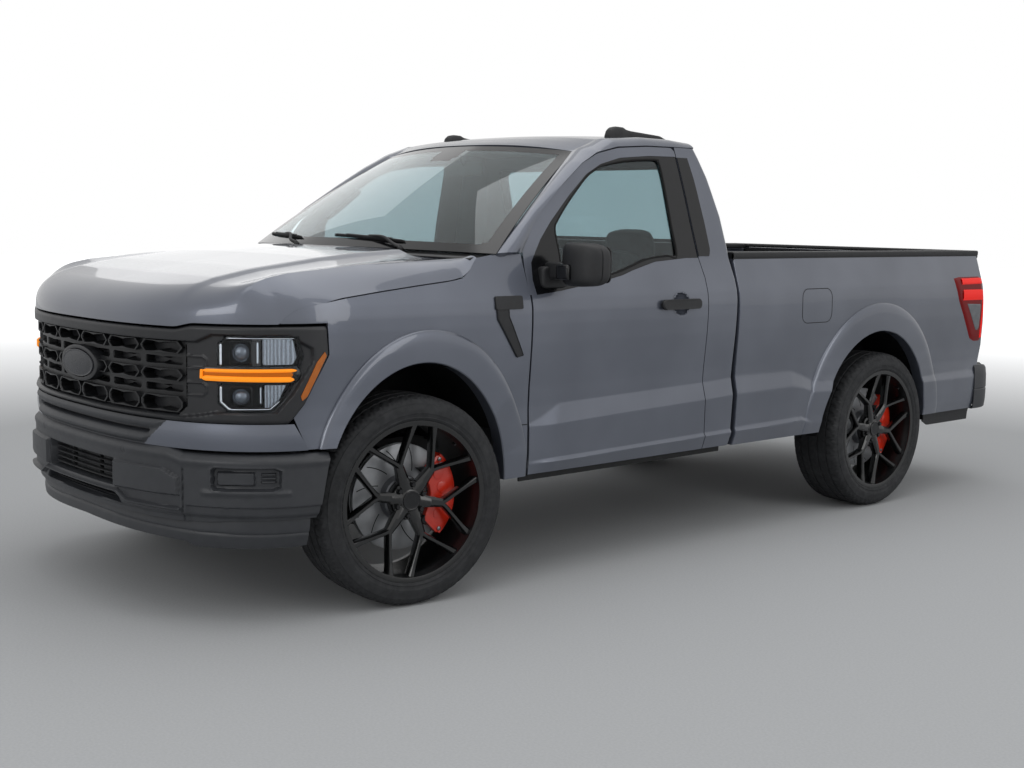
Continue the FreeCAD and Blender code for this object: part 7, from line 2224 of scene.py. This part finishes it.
screen_face = standing_plate(rounded(0.300, 0.170, 0.012), 0.010, (0, -0.803, 1.190), 0.003)
gauge_face = standing_plate(rounded(0.270, 0.090, 0.02), 0.006, (0.378, -0.822, 1.232), 0.002)
vents = [standing_plate(rounded(0.110, 0.060, 0.010), 0.008, (x, -0.822, 1.200), 0.003)
         for x in (-0.66, -0.28, 0.66)]
column = tube([(0.378, -0.98, 1.116), (0.378, -0.785, 1.204)], [0.045, 0.040], 24)
grab = tube(spline([(-0.735, -0.99, 1.50), (-0.705, -0.985, 1.505), (-0.665, -0.905, 1.580),
                    (-0.655, -0.855, 1.625), (-0.685, -0.845, 1.635)], 30), 0.011, 12)
rear_view = moved(boxy(0.240, 0.028, 0.070, 5.0, 16), shift=(0, -0.700, 1.735))
rear_view_stalk = tube([(0, -0.70, 1.745), (0, -0.742, 1.800)], 0.010, 12)
visors = [slab(rounded(0.36, 0.15, 0.03), 0, 0.016, lambda p, x=x: np.stack(
    [p[:, 0] + x, -0.560 + p[:, 1] * 0.95, 1.832 + p[:, 2] + p[:, 1] * 0.18], 1), lip=0.005)
    for x in (-0.36, 0.36)]
bake("cabin_lining", [(cabin_floor(), CABIN), (bulkhead(-1.255, 0.55, 1.325, 0.86, 1), CABIN),
                      (bulkhead(0.135, 0.60, 1.40, 0.84, -1), CABIN),
                      (both(sill_form()), FLOOR_DARK), (headliner(), CABIN_LIGHT)]
     + [(visor, CABIN_LIGHT) for visor in visors], "body")
bake("dashboard_moulding", [(dash_form(), CABIN), (screen_face, GLOSS_BLACK),
                            (gauge_face, GLOSS_BLACK), (column, CABIN), (grab, CABIN),
                            (rear_view, GLOSS_BLACK), (rear_view_stalk, CABIN)]
     + [(vent, TRIM_BLACK) for vent in vents], "body", ("dashboard",))


def steering_forms():
    """Rim, three spokes and a blank hub pad, drawn about +X and laid along the column."""
    turn, small = full_turn(96), full_turn(16)
    grip = 0.0145 + 0.0015 * np.cos(turn * 4)[:, None]
    radius = 0.182 + grip * np.cos(small)[None]
    ring = np.stack([np.broadcast_to(grip * np.sin(small)[None], radius.shape),
                     radius * np.cos(turn)[:, None], radius * np.sin(turn)[:, None]], 2)
    wheel = facing_out(grid(np.concatenate([ring, ring[:1]]), loop=True))
    pad = boxy(0.050, 0.150, 0.115, 4.0, 18)
    spokes = []
    for degrees, wide in ((0, 0.036), (180, 0.036), (270, 0.050)):
        start, end = wheel_point(0.050, degrees), wheel_point(0.178, degrees)
        spokes.append(spoke_form([start, (start + end) / 2, end], [wide, wide * 0.8, wide],
                                 [-0.002, 0.004, 0.008], [0.014, 0.014, 0.014], 14))
    return wheel, pad, merge(*spokes)


def on_column(form):
    """From the wheel's own axis +X to the column's direction."""
    axis = np.array([0, 0.911922, 0.410365])
    across = np.array([1.0, 0, 0])
    matrix = np.stack([axis, across, np.cross(axis, across)], 1)
    return moved(form, matrix, (0.37758, -0.7532, 1.218))


grip_form, pad_form, steer_spokes = steering_forms()
bake("steering_wheel_rim", [(on_column(grip_form), CABIN), (on_column(pad_form), CABIN),
                            (on_column(steer_spokes), TRIM_BLACK)], "steering_wheel",
     ("steering_wheel",))


def cushion(size, place, lean=0.0, channels=4, power=3.6, along=0):
    """A stuffed pad: a soft box, crowned, drawn in at sewn channels and round its welt."""
    form = boxy(*size, power, 40)
    points = form[0].copy()
    share = points / (np.array(size) / 2)
    wave = np.abs(np.sin((share[:, along] * 0.5 + 0.5) * math.pi * channels))
    groove = np.exp(-(wave / 0.16) ** 2) * (np.abs(share[:, along]) < 0.93)
    face = np.clip(np.linalg.norm(share, axis=1), 0, 1)
    look = normals(form)
    sat_on, way = (2, 1) if lean == 0 else (1, -1)
    crown = 0.010 * (1 - share[:, 0] ** 2) * np.clip(look[:, sat_on] * way, 0, 1)
    welt = 0.004 * np.exp(-(share[:, sat_on] / 0.06) ** 2)
    points += look * (crown - 0.007 * groove * face + 0.003 - welt)[:, None]
    turn = math.radians(lean)
    matrix = np.array([(1, 0, 0), (0, math.cos(turn), math.sin(turn)),
                       (0, -math.sin(turn), math.cos(turn))])
    return moved((points, form[1]), matrix, place)


bases = [moved(boxy(0.46, 0.50, 0.17, 8.0, 16), shift=(x, -0.42, 0.705)) for x in
         (-0.40, 0.40)] + [moved(boxy(0.20, 0.44, 0.15, 8.0, 16), shift=(0, -0.40, 0.74))]
posts = [tube([(x + d, 0.010, 1.300), (x + d, 0.030, 1.370)], 0.007, 10)
         for x in (-0.40, 0.40) for d in (-0.06, 0.06)]
bake("seat_frames", [(base, CABIN) for base in bases] + [(post, STEEL) for post in posts],
     "body", ("seats",))
for side, x, wide in (("left", 0.40, 0.500), ("right", -0.40, 0.500), ("middle", 0.0, 0.270)):
    pads = [("cushion", cushion((wide, 0.54, 0.15), (x, -0.425, 0.845), 0, 4)),
            ("back", cushion((wide * 0.98, 0.13, 0.56), (x, -0.075, 1.085), -13, 4))]
    if side != "middle":
        pads.append(("headrest", cushion((0.27, 0.105, 0.150), (x, 0.020, 1.385), -10, 1)))
    for kind, form in pads:
        made = bake(f"seat_{kind}_{side}", [(form, CLOTH)], "body", sharp=180)


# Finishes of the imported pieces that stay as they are

KEPT = {
    "arch_liners": DARK_AND_SHADE, "bed_tub": LINER, "chassis_frame": FLOOR_DARK, "engine": CAST,
    "exhaust": STEEL, "front_suspension": CAST, "fuel_tank": DARK_AND_SHADE,
    "gearbox": CAST, "knuckle_left": CAST, "knuckle_right": CAST, "leaf_springs": FLOOR_DARK,
    "propeller_shaft": FLOOR_DARK, "radiator": DARK_AND_SHADE, "rear_axle": CAST,
}
for name, finish in KEPT.items():
    for holder in bpy.data.objects[name].material_slots:
        holder.material = finish


# Stage: pale floor and backdrop, soft lamps, and the camera

def seen_share(tree, reflected):
    """One where the camera looks, straight or through glass, and less in a reflection."""
    paths = add_node(tree, "LightPath")
    seen = add_node(tree, "Math", {0: paths.outputs["Is Camera Ray"],
                                   1: paths.outputs["Is Transmission Ray"]}, operation="MAXIMUM")
    mirrored_part = add_node(tree, "Math", {0: paths.outputs["Is Glossy Ray"]},
                             operation="MULTIPLY")
    mirrored_part.inputs[1].default_value = reflected
    return add_node(tree, "Math", {0: seen.outputs[0], 1: mirrored_part.outputs[0]},
                    operation="MAXIMUM").outputs[0]


def floor_finish():
    """Pale grey floor with a fine grain; far from the truck it fades into the backdrop."""
    made = Finish("studio_floor_grey", "#b4b6b8", 0.85, 0.0, Specular_IOR_Level=0.15)
    made.link("Base Color", made.blend(made.spread(made.noise(9, 3.0), 0.0, 1.0, 0.2, 0.8),
                                       "#aeb0b2", "#b9bbbd"))
    length = made.node("VectorMath", {0: made.coord.outputs["Object"]}, operation="LENGTH")
    far = made.spread(length.outputs["Value"], 0.0, 1.0, 4.5, 13.0)
    share = made.node("Math", {0: seen_share(made.tree, 0.25), 1: far}, operation="MULTIPLY")
    made.set("Emission Color", (1, 1, 1, 1))
    made.link("Emission Strength", share.outputs[0])
    made.bump(made.noise(5, 2.0), 0.6, 0.35)
    return made.material


def stage_piece(name, form, material):
    """A mesh of the studio, which isn't part of the truck."""
    mesh = bpy.data.meshes.new(name)
    mesh.from_pydata(form[0].tolist(), [], [f for part in form[1] for f in part.tolist()])
    mesh.materials.append(material)
    mesh.shade_smooth()
    made = bpy.data.objects.new(name, mesh)
    bpy.context.scene.collection.objects.link(made)


def ground_form():
    """The floor, a square of 80 m with its top at level zero."""
    side = np.linspace(-40, 40, 9)
    x, y = np.meshgrid(side, side)
    return sheet_of(x, y, np.zeros_like(x), (0, 0, 1))


stage_piece("studio_floor", ground_form(), floor_finish())

world = bpy.data.worlds.new("studio_sky")
bpy.context.scene.world = world
world.use_nodes = True
sky = world.node_tree
back = sky.nodes["Background"]
back.inputs["Color"].default_value = (1, 1, 1, 1)
level = add_node(sky, "MapRange", {"Value": seen_share(sky, 0.35)},
                 **{"To Min": 0.55, "To Max": 1.0})
sky.links.new(level.outputs[0], back.inputs["Strength"])


def soft_lamp(name, place, aim, width, depth, watts):
    """A rectangular area lamp that looks at a point."""
    data = bpy.data.lights.new(name, "AREA")
    data.shape = "RECTANGLE"
    data.size, data.size_y, data.energy = width, depth, watts
    made = bpy.data.objects.new(name, data)
    made.location = place
    made.rotation_euler = (Vector(aim) - Vector(place)).to_track_quat("-Z", "Y").to_euler()
    bpy.context.scene.collection.objects.link(made)


soft_lamp("lamp_overhead", (0.5, -0.5, 7.0), (0, 0, 0.6), 6.0, 9.0, 160)
soft_lamp("lamp_side", (8.5, 1.5, 4.2), (0.6, 0, 0.9), 3.5, 7.0, 120)
soft_lamp("lamp_front", (2.5, -9.5, 3.8), (0, -2.2, 0.7), 5.0, 3.0, 110)
soft_lamp("lamp_far", (-7.5, 2.0, 4.0), (0, 0, 0.9), 3.0, 6.0, 30)

# The camera as it was fitted to the photograph: place, direction, roll and lens
CAMERA_PLACE = (5.0797, -4.9098, 1.5123)
AZIMUTH = math.radians(48.294)
HEIGHT = math.radians(6.914)
ROLL = math.radians(0.951)
right = Vector((math.cos(AZIMUTH), math.sin(AZIMUTH), 0))
behind = Vector((math.sin(AZIMUTH) * math.cos(HEIGHT), -math.cos(AZIMUTH) * math.cos(HEIGHT),
                 math.sin(HEIGHT)))
upward = behind.cross(right)
rolled_right = math.cos(ROLL) * right + math.sin(ROLL) * upward
rolled_up = -math.sin(ROLL) * right + math.cos(ROLL) * upward
turn = Matrix((rolled_right, rolled_up, behind)).transposed().to_4x4()
view = bpy.data.cameras.new("studio_camera")
view.lens, view.sensor_width = 48.25, 36.0
view.clip_end = 200.0
camera = bpy.data.objects.new("studio_camera", view)
camera.matrix_world = Matrix.Translation(CAMERA_PLACE) @ turn
bpy.context.scene.collection.objects.link(camera)
bpy.context.scene.camera = camera
bpy.context.scene.view_settings.view_transform = "Standard"

bpy.context.view_layer.update()
